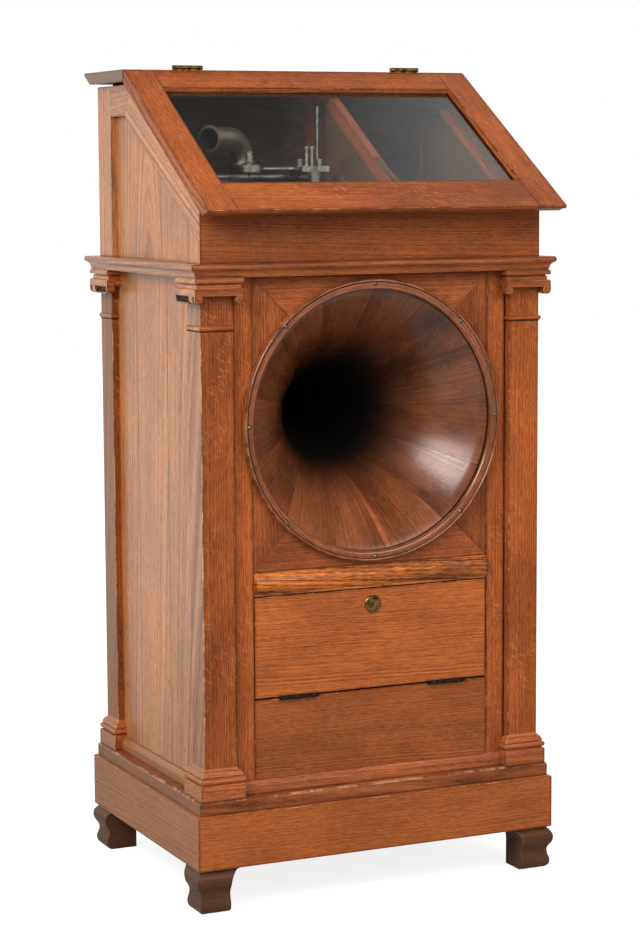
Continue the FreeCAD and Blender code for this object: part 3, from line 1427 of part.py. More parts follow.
def door_lock():
    """Cylinder lock of the door, with a cam that turns up behind the head rail."""
    face = ahead(FRONT_FACE)
    rear = ahead(FRONT_BACK)
    forward = FreeCAD.Rotation(FreeCAD.Vector(1, 0, 0), 90)
    bore = D.plug_radius + D.plug_clearance
    length = D.front_thickness
    barrel = turned("lock_barrel", [
        (bore, -length), (D.lock_radius - 3, -length), (D.lock_radius - 3, 0),
        (D.lock_radius, 0), (D.lock_radius, D.lock_proud - 1.2),
        (D.lock_radius - 1.2, D.lock_proud), (bore, D.lock_proud)],
        (0, face, D.lock_height), turn=forward)
    sub_part("lock_body", barrel)
    plug = cylinder("plug_bar", "y", (0, face - D.lock_proud + 0.4, D.lock_height),
                    D.plug_radius, length + D.lock_proud + D.cam_thickness + 0.1)
    keyway = box("keyway", (-D.keyway_width / 2, face - D.lock_proud - 1,
                 D.lock_height - D.keyway_length / 2),
                 (D.keyway_width / 2, face + 6, D.lock_height + D.keyway_length / 2))
    cam = box("cam_bar", (-D.cam_width / 2, rear + 0.5, D.lock_height - D.cam_width / 2),
              (D.cam_length, rear + 0.5 + D.cam_thickness, D.lock_height + D.cam_width / 2))
    sub_part("lock_plug", fuse("plug_and_cam", cut("plug_slotted", plug, keyway), cam))


def cash_and_coins():
    """Cash box, coin plate, chute and coin lever."""
    floor = CASH_FLOOR
    rear = ahead(FRONT_BACK)
    near = rear + D.box_setback
    wall = D.box_wall
    outside = box("cash_box_outside", (D.box_left, near, floor),
                  (D.box_left + D.box_width, near + D.box_depth, floor + D.box_height))
    inside = box("cash_box_inside", (D.box_left + wall, near + wall, floor + wall),
                 (D.box_left + D.box_width - wall, near + D.box_depth - wall,
                  floor + D.box_height + 1))
    sub_part("cash_box", cut("cash_box_shell", outside, inside))

    face = HALF_WIDTH - D.upper_sunk
    y = ahead(D.coin_place)
    plate = box("coin_plate_blank", (face, y - D.coin_plate_width / 2,
                D.coin_height - D.coin_plate_height / 2),
                (face + D.coin_plate_thickness, y + D.coin_plate_width / 2,
                 D.coin_height + D.coin_plate_height / 2))
    slot = box("coin_plate_slot", (face - 1, y - D.coin_slot_length / 2,
               D.coin_height - D.coin_slot_width / 2),
               (face + D.coin_plate_thickness + 1, y + D.coin_slot_length / 2,
                D.coin_height + D.coin_slot_width / 2))
    hole_y = back(BARREL_BACK)
    case_side = HALF_WIDTH - D.side_recess
    disc = cylinder("escutcheon_disc", "x", (case_side, hole_y, D.motor_height),
                    D.escutcheon_radius, D.escutcheon_thickness)
    disc_hole = cylinder("escutcheon_hole", "x", (case_side - 1, hole_y, D.motor_height),
                         D.winder_hole, D.escutcheon_thickness + 2)
    sub_part("wall_plates", group("wall_plate_group", cut("coin_plate_cut", plate, slot),
                                  cut("escutcheon", disc, disc_hole)))

    inner_wall = face - D.upper_panel
    half = D.chute_width / 2
    run = D.chute_run
    turn = D.chute_turn
    slant = D.chute_width * (wave("sin", 45))
    head_low = D.coin_height - D.chute_head
    head_high = D.coin_height + D.chute_head
    knee = D.chute_width * (wave("tan", 22.5))

    def channel(inset, past):
        """Outline of the chute's path, drawn in by an inset and run past its ends."""
        left = D.chute_centre - half + inset
        right = D.chute_centre + half - inset
        upper_turn = turn + inset * wave("tan", 22.5)
        lower_turn = turn - knee - inset * wave("tan", 22.5)
        tail = run + past
        return [
            (inner_wall + past, head_high - inset), (left, head_high - inset), (left, upper_turn),
            (left - tail, upper_turn - tail),
            (left - tail + slant - inset * 2 * wave("sin", 45),
             upper_turn - tail - slant + inset * 2 * wave("sin", 45)),
            (right, lower_turn), (right, head_low + inset), (inner_wall + past, head_low + inset),
        ]

    depth = D.chute_depth / 2
    wall = D.chute_wall
    outline = channel(size(0), 0)
    near_wall = prism("chute_near_wall", "XZ", outline, y - depth, y - depth + wall)
    far_wall = prism("chute_far_wall", "XZ", outline, y + depth - wall, y + depth)
    core = prism("chute_core", "XZ", outline, y - depth + wall, y + depth - wall)
    hollow = prism("chute_inside", "XZ", channel(wall, 3), y - depth + wall, y + depth - wall)
    pivot_z = D.coin_height - D.coin_pivot_drop
    left = D.chute_centre - half
    thick = D.lever_thickness
    window = box("chute_window", (left - 1, y - thick, pivot_z - 14),
                 (left + wall + 1, y + thick, pivot_z + 6))
    bracket = box("coin_bracket", (D.coin_pivot_x - D.hub_radius, y + depth - wall,
                  pivot_z - D.hub_radius), (left + wall, y + depth, pivot_z + D.hub_radius))
    pin = cylinder("coin_pin", "y", (D.coin_pivot_x, y - thick, pivot_z),
                   D.pivot_radius, depth + thick)
    edges = cut("chute_edge_walls", core, hollow, window)
    sub_part("coin_chute", group("chute_group", near_wall, edges,
                                 fuse("chute_bracket_wall", far_wall, bracket, pin)))

    bar = box("coin_lever_bar", (D.coin_pivot_x - D.coin_tail, y - thick / 2, pivot_z - 2),
              (D.coin_pivot_x + D.coin_finger, y + thick / 2, pivot_z + 2))
    hub = cylinder("coin_lever_hub", "y", (D.coin_pivot_x, y - thick / 2, pivot_z),
                   D.hub_radius, thick)
    hub_hole = cylinder("coin_lever_hole", "y", (D.coin_pivot_x, y - thick, pivot_z),
                        D.pivot_radius + D.running_fit, 2 * thick)
    sub_part("coin_lever", cut("coin_lever_solid", fuse("coin_lever_blank", bar, hub), hub_hole))


def works_bed():
    """Bedplate with its bearing posts, the guide rod and the upright rod."""
    low_y = ahead(D.bed_front)
    high_y = back(D.bed_back)
    plate = box("bed_blank", (-D.bed_left, low_y, BED_BOTTOM), (D.bed_right, high_y, BED_TOP))
    inset = D.bed_foot_radius + 3
    feet = []
    for x in (-D.bed_left + inset, D.bed_right - inset):
        for y in (low_y + inset, high_y - inset):
            feet.append(cylinder(f"bed_foot_{len(feet)}", "z", (x, y, DECK_TOP),
                                 D.bed_foot_radius, D.bed_foot))
    shaft_y = ahead(D.shaft_place)
    bore = cylinder("shaft_bore", "x", (-D.bed_left, shaft_y, D.shaft_height),
                    D.shaft_radius + D.running_fit, D.bed_left + D.bed_right + 10)
    half = D.bearing_depth / 2
    posts_made = []
    for number, left in enumerate((D.bearing_left, D.bearing_right)):
        posts_made.append(box(f"bearing_{number}", (-left, shaft_y - half, BED_TOP),
                              (-left + D.bearing_width, shaft_y + half,
                               D.shaft_height + D.bearing_cap)))
    rod_y = ahead(D.rod_place)
    for number, left in enumerate((D.rod_left, -(D.bed_right - D.rod_post_width))):
        posts_made.append(box(f"rod_post_{number}", (-left, rod_y - 10, BED_TOP),
                              (-left + D.rod_post_width, rod_y + 10,
                               D.rod_height + D.rod_radius + 5)))
    rod_bore = cylinder("rod_bore", "x", (-D.rod_left - 1, rod_y, D.rod_height),
                        D.rod_radius, D.rod_left + D.bed_right + 2)
    casting = fuse("bed_casting", plate, *feet, *posts_made)
    sub_part("bedplate", cut("bed_bored", casting, bore, rod_bore))
    rod = cylinder("guide_rod_bar", "x", (-D.rod_left, rod_y, D.rod_height),
                   D.rod_radius, D.rod_left + D.bed_right)
    boss = turned("upright_boss", [
        (0, 0), (12, 0), (12, 6), (8, 10), (8, 24), (D.upright_radius, 28),
        (D.upright_radius, D.upright_top - DECK_TOP - 2),
        (D.upright_radius - 1, D.upright_top - DECK_TOP), (0, D.upright_top - DECK_TOP)],
        (D.upright_x, back(D.upright_y), DECK_TOP))
    sub_part("guide_rods", group("rod_group", rod, boss))


def main_shaft():
    """Mandrel with its record, the feed screw and the belt pulley, all on one shaft."""
    y = ahead(D.shaft_place)
    z = D.shaft_height
    end = D.pulley_left + D.pulley_width
    screw_start = D.mandrel_left - D.screw_left
    total = D.mandrel_left + end
    r = D.shaft_radius
    ridge = D.screw_radius
    bar = turned("shaft_turning", [
        (0, 0), (r, 0), (r, screw_start), (ridge, screw_start + 1),
        (ridge, screw_start + D.screw_length - 1), (r, screw_start + D.screw_length),
        (r, total + 3), (0, total + 3)], (-D.mandrel_left, y, z), "x")
    wheel = pulley("shaft_pulley", D.pulley_radius, r, (D.pulley_left, y, z))
    sub_part("main_shaft", group("main_shaft_group", bar, wheel))
    small = D.mandrel_radius - D.mandrel_taper
    sub_part("mandrel", turned("mandrel_turning", [
        (r, 0), (small - 2, 0), (small, 2), (D.mandrel_radius, D.mandrel_length - 3),
        (D.mandrel_radius + 3, D.mandrel_length - 3), (D.mandrel_radius + 3, D.mandrel_length),
        (r, D.mandrel_length)], (-D.mandrel_left, y, z), "x"))
    taper = D.mandrel_taper * (D.record_length / D.mandrel_length)
    gap = 0.1
    sub_part("cylinder_record", turned("record_turning", [
        (small + gap, 2), (D.record_radius, 2), (D.record_radius, D.record_length + 2),
        (small + taper + gap, D.record_length + 2)], (-D.mandrel_left, y, z), "x"))


def pulley(name, radius, bore, place):
    """Grooved belt pulley on a shaft along X."""
    width = D.pulley_width
    groove = D.pulley_groove + D.belt_radius
    middle = width / 2
    return turned(name, [
        (bore, 0), (radius, 0), (radius, middle - D.belt_radius - 1.5),
        (radius - groove, middle - 0.5), (radius - groove, middle + 0.5),
        (radius, middle + D.belt_radius + 1.5), (radius, width), (bore, width)], place, "x")


def carriage():
    """Carriage on the guide rod, with half nut, capped posts and the reproducer's arm."""
    rod_y = ahead(D.rod_place)
    arm_y = ahead(D.arm_place)
    nut_y = ahead(D.shaft_place)
    low = D.plate_bottom
    high = low + D.plate_thickness
    left = -D.sleeve_left
    sleeve = cylinder("sleeve_bar", "x", (left, rod_y, D.rod_height),
                      D.sleeve_radius, D.sleeve_length)
    plate = box("carriage_plate", (left, nut_y - 8, low),
                (left + D.sleeve_length, rod_y + D.sleeve_radius, high))
    half_nut = box("half_nut", (left + 18, nut_y - 8,
                   D.shaft_height + D.screw_radius + D.nut_gap), (left + 34, nut_y + 8, low + 1))
    posts_made = []
    for number, x in enumerate((left + 20, left + 31)):
        spot = (x, ahead(D.arm_place + 12), high - 1)
        neck = D.capped_height - high + 1
        r = D.capped_radius
        posts_made.append(turned(f"capped_post_{number}", [
            (0, 0), (r, 0), (r, neck - D.cap_height - 3), (r - 1, neck - D.cap_height - 3),
            (r - 1, neck - D.cap_height), (D.cap_radius, neck - D.cap_height),
            (D.cap_radius, neck - 1.5), (D.cap_radius - 1.5, neck), (0, neck)], spot))
    for number, x in enumerate((left + 7, left + 48)):
        posts_made.append(cylinder(f"thumb_screw_{number}", "z", (x, arm_y - 10, high - 1),
                                   5.5, 14))
    body = fuse("carriage_body", sleeve, plate, half_nut, *posts_made)
    rod_hole = cylinder("sleeve_bore", "x", (left - 1, rod_y, D.rod_height),
                        D.rod_radius + D.running_fit, D.sleeve_length + 2)
    pin_depth = 16
    arm_z = (low + high) / 2
    pin_hole = cylinder("arm_pin_hole", "x", (left - 1, arm_y, arm_z),
                        D.arm_pin + D.running_fit, pin_depth + 1)
    sub_part("carriage", cut("carriage_bored", body, rod_hole, pin_hole))

    centre_x = -D.reproducer_left
    bar = cylinder("arm_bar", "x", (-D.arm_left, arm_y, arm_z), D.arm_radius,
                   D.arm_left - D.sleeve_left - 0.3)
    pin = cylinder("arm_pin_bar", "x", (left - 1, arm_y, arm_z), D.arm_pin, pin_depth - 1)
    holder = turned("holder_ring", [
        (D.reproducer_radius, -4), (D.holder_radius, -4), (D.holder_radius, 4),
        (D.reproducer_radius, 4)], (centre_x, nut_y, arm_z))
    web = box("holder_web", (centre_x - 8, nut_y + D.reproducer_radius + 1, arm_z - 3),
              (centre_x + 8, arm_y, arm_z + 3))
    arm = fuse("arm_solid", bar, pin, holder, web)
    r = D.reproducer_radius
    half = D.reproducer_height / 2
    needle = arm_z - (D.shaft_height + D.record_radius + 0.3)
    capsule = turned("reproducer_turning", [
        (0, -needle), (1, -needle), (2, -half - 2), (8, -half), (r - 2, -half), (r, -half + 2),
        (r, half - 2), (r - 2, half), (D.spout_radius + 4, half + 3),
        (D.spout_radius, half + 6), (D.spout_radius, half + D.spout_height),
        (D.spout_radius - 1.5, half + D.spout_height), (D.spout_radius - 1.5, half - 4),
        (0, half - 4)], (centre_x, nut_y, arm_z))
    sub_part("reproducer", group("reproducer_group", arm, capsule))


def elbow():
    """Stand pipe on the deck and the nickelled elbow that swivels on it."""
    x = -D.elbow_left
    y = back(D.elbow_back)
    bore = D.elbow_radius + D.running_fit
    top = D.flange_top - DECK_TOP
    flange = top - D.flange_thickness
    sub_part("stand_pipe", turned("stand_turning", [
        (D.neck_radius, 0), (D.neck_radius + 14, 0), (D.neck_radius + 14, 6),
        (D.stand_radius + 4, 10), (D.stand_radius, 16), (D.stand_radius, flange),
        (D.flange_radius, flange), (D.flange_radius, top), (bore, top), (bore, 10),
        (D.neck_radius, 6)], (x, y, DECK_TOP)))

    body = new_body("elbow_body")
    ring = sketch_on(body, "XY_Plane", D.flange_top - D.elbow_spigot, "elbow_ring")
    draw_circle(ring, (0, 0), D.elbow_radius)
    draw_circle(ring, (0, 0), D.elbow_radius - D.elbow_wall)
    path = sketch_on(body, "XZ_Plane", 0, "elbow_path")
    low = D.flange_top - D.elbow_spigot
    bend_z = D.elbow_height - D.elbow_bend
    open_route(path, (0, low), (0, bend_z), (D.elbow_bend, bend_z),
               (D.elbow_bend, D.elbow_height), (D.elbow_reach, D.elbow_height))
    pipe = body.newObject("PartDesign::AdditivePipe", "elbow_pipe")
    pipe.Profile = ring
    pipe.Spine = (path, ["Edge1", "Edge2", "Edge3"])
    pipe.Mode = "Standard"
    collar = sketch_on(body, "XZ_Plane", 0, "elbow_collar_section")
    draw(collar, [
        (D.elbow_radius - 1, D.flange_top + 0.3), (D.elbow_radius + 4, D.flange_top + 0.3),
        (D.elbow_radius + 4, D.flange_top + 5), (D.elbow_radius - 1, D.flange_top + 5)])
    band = body.newObject("PartDesign::Revolution", "elbow_collar")
    band.Profile = collar
    band.ReferenceAxis = (collar, ["V_Axis"])
    band.Angle = FULL_TURN
    lip = sketch_on(body, "YZ_Plane", D.elbow_reach - D.elbow_lip, "elbow_lip_section")
    draw_circle(lip, (0, D.elbow_height), D.elbow_radius + 3)
    draw_circle(lip, (0, D.elbow_height), D.elbow_radius - D.elbow_wall)
    pad(body, lip, D.elbow_lip, "elbow_lip_pad")
    settle(body, (x, y, 0), FreeCAD.Rotation(FreeCAD.Vector(0, 0, 1), D.elbow_turn.value))
    bind(body, "Placement.Rotation.Angle", D.elbow_turn)
    sub_part("horn_elbow", body)


def open_route(sketch, start, corner, centre, finish, end):
    """Line, quarter arc and line that a pipe follows."""
    bend = flat(centre)
    radius = (flat(corner) - bend).Length
    sketch.addGeometry(Part.LineSegment(flat(start), flat(corner)), False)
    quarter = Part.ArcOfCircle(Part.Circle(bend, FreeCAD.Vector(0, 0, 1), radius),
                               math.pi / 2, math.pi)
    sketch.addGeometry(quarter, False)
    sketch.addGeometry(Part.LineSegment(flat(finish), flat(end)), False)
    sketch.addConstraint(Sketcher.Constraint("Coincident", 0, 2, 1, 2))
    sketch.addConstraint(Sketcher.Constraint("Coincident", 1, 1, 2, 1))
    hold(sketch, 0, 1, start)
    hold(sketch, 0, 2, corner)
    hold(sketch, 2, 1, finish)
    hold(sketch, 2, 2, end)
    hold(sketch, 1, 3, centre, only="DistanceX")


def toothed_wheel(name, teeth, width, bore, place, phase=0):
    """Spur wheel on an arbor along X, its first tooth turned from the back by a phase."""
    module = D.gear_module
    root = module * teeth / 2 - module * 1.2
    tip = module * teeth / 2 + module * 0.85
    body = new_body(name)
    disc = sketch_on(body, "XY_Plane", 0, name + "_disc")
    draw_circle(disc, (0, 0), root)
    draw_circle(disc, (0, 0), bore)
    pad(body, disc, width, name + "_web")
    tooth = sketch_on(body, "XY_Plane", 0, name + "_tooth")
    draw(tooth, [(root - 1, -module * 0.8), (tip, -module * 0.33), (tip, module * 0.33),
                 (root - 1, module * 0.8)])
    first = pad(body, tooth, width, name + "_first_tooth")
    row = body.newObject("PartDesign::PolarPattern", name + "_teeth")
    row.Originals = [first]
    row.Axis = (disc, ["N_Axis"])
    row.Angle = FULL_TURN
    bind(row, "Occurrences", teeth)
    body.Tip = row
    turn = FreeCAD.Rotation(FreeCAD.Vector(1, 0, 0), size(phase).value).multiply(WHEEL_TURN)
    return settle(body, place, turn)


def spring_motor():
    """Spring motor that hangs below the deck and drives the shaft by a belt."""
    z = D.motor_height
    left = D.motor_left
    inside = left + D.motor_plate
    right = inside + D.motor_span
    through = D.motor_span + 2 * D.motor_plate
    barrel_y = back(BARREL_BACK)
    wheel_y = back(WHEEL_BACK)
    output_y = ahead(D.shaft_place)
    drop = FULL_TURN * D.governor_pitches / D.wheel_teeth
    distance = D.gear_module * (D.wheel_teeth + D.leaf_teeth) / 2
    governor_y = wheel_y + distance * wave("cos", drop)
    governor_z = z - distance * wave("sin", drop)
    pivot_y = governor_y - D.brake_reach
    bore = D.arbor_radius + D.running_fit
    low_y = ahead(D.motor_front)
    high_y = back(D.motor_back)
    hang = D.waist_height - D.motor_top_plate

    pieces = [box("motor_hanger", (left, low_y, hang), (right + D.motor_plate, high_y,
                  D.waist_height))]
    for number, x in enumerate((left, right)):
        pieces.append(box(f"motor_plate_{number}", (x, low_y, D.motor_bottom),
                          (x + D.motor_plate, high_y, hang)))
    for number, y in enumerate((low_y + 8, high_y - 8)):
        pieces.append(cylinder(f"motor_pillar_{number}", "x", (left, y, D.motor_bottom + 10),
                               5, through))
    brake_x = right - 11
    pieces.append(cylinder("brake_pin", "x", (brake_x - 2, pivot_y, governor_z),
                           D.pivot_radius, right - brake_x + 3))
    holes = []
    for label, y, height, radius in (("barrel", barrel_y, z, D.winder_radius + D.running_fit),
                                     ("wheel", wheel_y, z, bore), ("output", output_y, z, bore),
                                     ("governor", governor_y, governor_z, bore)):
        holes.append(cylinder(f"motor_{label}_hole", "x", (left - 1, y, height), radius,
                              through + 2))
    frame = fuse("motor_frame_solid", *pieces)
    sub_part("motor_frame", cut("motor_frame_bored", frame, *holes))

    arbor_bore = D.winder_radius + D.running_fit
    drum_x = inside + 6
    great_x = drum_x + D.barrel_length
    great = toothed_wheel("barrel_wheel", D.barrel_teeth, D.gear_width, arbor_bore,
                          (great_x, barrel_y, z))
    drum = turned("barrel_drum", [
        (arbor_bore, 0), (D.barrel_radius, 0), (D.barrel_radius, D.barrel_length),
        (arbor_bore, D.barrel_length)], (drum_x, barrel_y, z), "x")
    sub_part("spring_barrel", fuse("barrel_solid", great, drum))
    shoulder = D.winder_end - D.crank_seat
    sub_part("winding_arbor", fuse("winding_arbor_bar",
             cylinder("winding_bar", "x", (left, barrel_y, z), D.winder_radius, shoulder - left),
             cylinder("crank_seat_bar", "x", (shoulder - 1, barrel_y, z),
                      D.winder_radius - 0.5, D.crank_seat + 1)))

    large_x = great_x + D.gear_width + 6
    small = toothed_wheel("middle_pinion", D.pinion_teeth, D.pinion_width, D.arbor_radius - 0.5,
                          (great_x - 1, wheel_y, z), 180 / D.pinion_teeth)
    large = toothed_wheel("middle_wheel", D.wheel_teeth, D.gear_width, D.arbor_radius - 0.5,
                          (large_x, wheel_y, z))
    spindle = cylinder("middle_arbor", "x", (left, wheel_y, z), D.arbor_radius, through)
    sub_part("middle_wheels", fuse("middle_solid", small, large, spindle))

    half_leaf = 180 / D.leaf_teeth
    output_pinion = toothed_wheel("output_pinion", D.leaf_teeth, D.pinion_width,
                                  D.arbor_radius - 0.5, (large_x - 1, output_y, z), half_leaf)
    output_bar = cylinder("output_bar", "x", (D.pulley_left - 2, output_y, z),
                          D.arbor_radius, right + D.motor_plate - D.pulley_left + 2)
    drive = pulley("drive_pulley", D.drive_pulley, D.arbor_radius - 0.5,
                   (D.pulley_left, output_y, z))
    sub_part("output_arbor", fuse("output_solid", output_pinion, output_bar, drive))
    governor((large_x - 1, brake_x, left), through, governor_y, governor_z,
             180 - drop + half_leaf)
    brake_lever(brake_x, pivot_y, governor_z)


def governor(stations, through, y, z, phase):
    """Governor with three balls on leaf springs and a brake disc."""
    pinion_x, disc_x, left = stations
    hub = 4
    reach = D.spring_reach
    middle_x = disc_x - reach - hub - 4
    pinion = toothed_wheel("governor_pinion", D.leaf_teeth, D.pinion_width,
                           D.arbor_radius - 0.5, (pinion_x, y, z), phase)
    pieces = [pinion, cylinder("governor_bar", "x", (left, y, z), D.arbor_radius, through)]
    out = D.governor_radius
    for index in range(3):
        angle = 120 * index
        spring = prism(f"governor_spring_{index}", "XZ", [
            (-reach - 1, 7), (0, out - 1), (reach + 1, 7), (reach + 1, 9), (0, out + 1),
            (-reach - 1, 9)], -3, 3)
        settle(spring, (middle_x, y, z), FreeCAD.Rotation(FreeCAD.Vector(1, 0, 0), angle))
        pieces.append(spring)
        centre = (middle_x, y - out * wave("sin", angle), z + out * wave("cos", angle))
        pieces.append(ball(f"governor_ball_{index}", centre, D.ball_radius))
    for number, x in enumerate((middle_x - reach - hub, middle_x + reach)):
        pieces.append(cylinder(f"governor_hub_{number}", "x", (x, y, z), 9, hub))
    pieces.append(cylinder("governor_disc", "x", (disc_x + 1, y, z), out, 3))
    sub_part("governor", fuse("governor_solid", *pieces))


def brake_lever(x, y, z):
    """Lever whose pad rests against the governor's disc."""
    width = D.lever_thickness + 1
    pad_y = y + D.brake_reach - D.governor_radius - D.brake_gap
    bar = box("brake_bar", (x, y - D.brake_tail, z - 3), (x + width, pad_y, z + 3))
    pad_block = box("brake_pad", (x, pad_y - 8, z - 5), (x + width, pad_y, z + 5))
    hub = cylinder("brake_hub", "x", (x, y, z), D.hub_radius, width)
    hole = cylinder("brake_hole", "x", (x - 1, y, z), D.pivot_radius + D.running_fit, width + 2)
    sub_part("brake_lever", cut("brake_solid", fuse("brake_blank", bar, pad_block, hub), hole))


def drive_belt():
    """Round belt over the motor's pulley and the shaft's pulley."""
    y = ahead(D.shaft_place).value
    top = D.shaft_height.value
    low = D.motor_height.value
    upper = D.pulley_radius.value - D.belt_seat.value
    lower = D.drive_pulley.value - D.belt_seat.value
    x = (D.pulley_left + D.pulley_width / 2).value
    lean = math.asin((upper - lower) / (top - low))

    def spot(centre_z, radius, angle):
        """Point on the belt's middle line round one pulley."""
        return FreeCAD.Vector(x, y + radius * math.cos(angle), centre_z + radius * math.sin(angle))

    right_top = spot(top, upper, -lean)
    left_top = spot(top, upper, math.pi + lean)
    right_low = spot(low, lower, -lean)
    left_low = spot(low, lower, math.pi + lean)
    loop = Part.Wire([
        Part.makeLine(right_low, right_top),
        Part.Arc(right_top, spot(top, upper, math.pi / 2), left_top).toShape(),
        Part.makeLine(left_top, left_low),
        Part.Arc(left_low, spot(low, lower, -math.pi / 2), right_low).toShape()])
    ring = Part.Wire(Part.makeCircle(D.belt_radius.value, right_low, right_top - right_low))
    made = doc.addObject("Part::Feature", "belt_shape")
    made.Shape = loop.makePipeShell([ring], True, False)
    sub_part("drive_belt", made)


def build():
    """Make every sub-part, from the feet up to the lid and then the works inside."""
    for step in (bracket_feet, skirt, floor_board, bottom_strips, plinth_blocks, posts, capitals,
                 cornice, lower_panels, front_frame, cash_shelf, horn, mouth_ring, horn_neck,
                 upper_sides, music_case, lid, lid_hinges, door_and_hinges, door_lock,
                 cash_and_coins, works_bed, main_shaft, carriage, elbow, spring_motor,
                 drive_belt):
        step()
    doc.recompute()


def faults():
    """Names of objects that failed to build and of sub-parts without a sound shape."""
    found = [item.Name for item in doc.Objects
             if "Invalid" in item.State or "Error" in item.State]
    for part in SUB_PARTS:
        if part.Shape.isNull() or not part.Shape.isValid():
            found.append(part.Label)
    return found


def export():
    """Write one file for each sub-part."""
    os.makedirs("parts", exist_ok=True)
    for part in SUB_PARTS:
        part.Shape.exportStep(f"parts/{part.Label}.step")


build()
problems = faults()
if problems:
    raise RuntimeError("not sound: " + ", ".join(problems))
export()
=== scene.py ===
"""Coin-operated cabinet phonograph: an oak case with a horn mouth, a cash door and a glazed lid."""

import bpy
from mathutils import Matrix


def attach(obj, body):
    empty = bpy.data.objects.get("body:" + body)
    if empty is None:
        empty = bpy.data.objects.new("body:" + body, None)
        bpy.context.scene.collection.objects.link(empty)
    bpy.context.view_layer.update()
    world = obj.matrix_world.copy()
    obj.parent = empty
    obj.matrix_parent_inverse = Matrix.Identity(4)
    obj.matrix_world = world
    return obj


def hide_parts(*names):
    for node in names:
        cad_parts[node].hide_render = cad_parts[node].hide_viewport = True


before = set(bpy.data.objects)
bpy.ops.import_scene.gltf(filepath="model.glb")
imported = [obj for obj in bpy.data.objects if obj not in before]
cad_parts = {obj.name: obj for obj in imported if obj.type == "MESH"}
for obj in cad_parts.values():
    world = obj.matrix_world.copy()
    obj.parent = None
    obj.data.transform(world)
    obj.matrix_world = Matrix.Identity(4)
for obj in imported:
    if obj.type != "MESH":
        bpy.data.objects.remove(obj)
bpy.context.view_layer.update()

import logging
import math
import random
from dataclasses import dataclass, field
from enum import Enum
from typing import Callable, Iterable, Sequence

import bmesh
import bpy
from mathutils import Matrix, Vector

LOG = logging.getLogger("phonograph")
MM = 0.001
SLOPE = math.radians(32.4)
LID_LENGTH = 471.0
LID_JOINT = 74.0
BOARD_REACH = 283.0
CASE_MIDDLE = (LID_LENGTH * math.cos(SLOPE) - LID_JOINT - BOARD_REACH) / 2
OVERALL_HEIGHT = 1500.0
WAIST = 1154.0
CORNICE_BOTTOM = 1130.0
CAPITAL_BOTTOM = 1102.0
FLOOR_BOTTOM = 178.0
FLOOR_TOP = 203.0
ON_FLOOR = FLOOR_TOP + 0.1
POST_BOTTOM = 260.0
FRONT_FACE = -237.0
FRONT_REAR = -217.0
HORN_LEVEL = 865.5
DECK_TOP = 1176.0

MIRROR = (-1, 1)

Point = tuple[float, float]
Spot = tuple[float, float, float]
Colour = tuple[float, float, float, float]
Along = Callable[[Vector], Vector]
Socket = bpy.types.NodeSocket


def lid_level(y: float, depth: float) -> float:
    """Height, at a distance behind the middle, of the plane a depth below the lid's face."""
    return OVERALL_HEIGHT - (LID_JOINT - y) * math.tan(SLOPE) - depth / math.cos(SLOPE)


def srgb(red: int, green: int, blue: int) -> Colour:
    """Linear colour of a screen colour.

    Args:
        red: Red from 0 to 255.
        green: Green from 0 to 255.
        blue: Blue from 0 to 255.

    Returns:
        Linear red, green and blue, and an alpha of one.
    """
    def linear(value: int) -> float:
        """Linear value of one channel."""
        part = value / 255
        return part / 12.92 if part <= 0.04045 else ((part + 0.055) / 1.055) ** 2.4

    return linear(red), linear(green), linear(blue), 1.0


def spread(sign: int, first: float, second: float) -> list[float]:
    """Two distances to the left or front (-1) or right or back (1) of the middle, rising."""
    return sorted((sign * first, sign * second))


@dataclass(frozen=True)
class Corner:
    """One corner of the case.

    Attributes:
        side: -1 for the left and 1 for the right.
        end: -1 for the front and 1 for the back.
    """

    side: int
    end: int

    def word(self) -> str:
        """Its name, as the nodes have it."""
        return ("back" if self.end > 0 else "front") + ("_right" if self.side > 0 else "_left")

    def across(self, first: float, second: float) -> list[float]:
        """Two distances to its side of the middle."""
        return spread(self.side, first, second)

    def deep(self, first: float, second: float) -> list[float]:
        """Two distances to its end of the middle."""
        return spread(self.end, first, second)


CORNERS = tuple(Corner(side, end) for side in MIRROR for end in MIRROR)


class Run(Enum):
    """Direction of the grain, as the axes along, across and through a board."""

    X_FLAT = ((1, 0, 0), (0, 0, 1), (0, 1, 0))
    X_LEVEL = ((1, 0, 0), (0, 1, 0), (0, 0, 1))
    Y_FLAT = ((0, 1, 0), (0, 0, 1), (1, 0, 0))
    Z_FRONT = ((0, 0, 1), (1, 0, 0), (0, 1, 0))
    Z_SIDE = ((0, 0, 1), (0, 1, 0), (1, 0, 0))


class Side(Enum):
    """Side of the case, as the direction that it faces."""

    FRONT = (0, -1)
    BACK = (0, 1)
    LEFT = (-1, 0)
    RIGHT = (1, 0)

    def ends(self) -> bool:
        """Whether it is the front or the back."""
        return not self.value[0]

    def run(self) -> Run:
        """How the grain of a level board on this side lies."""
        return Run.X_FLAT if self.ends() else Run.Y_FLAT


def rounded(mesh: bmesh.types.BMesh, edges: list, width: float, segments: int) -> set:
    """Round some edges of a mesh.

    Args:
        mesh: The mesh.
        edges: The edges.
        width: How far the rounding reaches from an edge.
        segments: Faces across the rounding.

    Returns:
        The new faces.
    """
    made = bmesh.ops.bevel(mesh, geom=edges, offset=width, offset_type="OFFSET",
                           segments=segments, profile=0.5, affect="EDGES", clamp_overlap=True,
                           material=-1)
    return set(made["faces"])


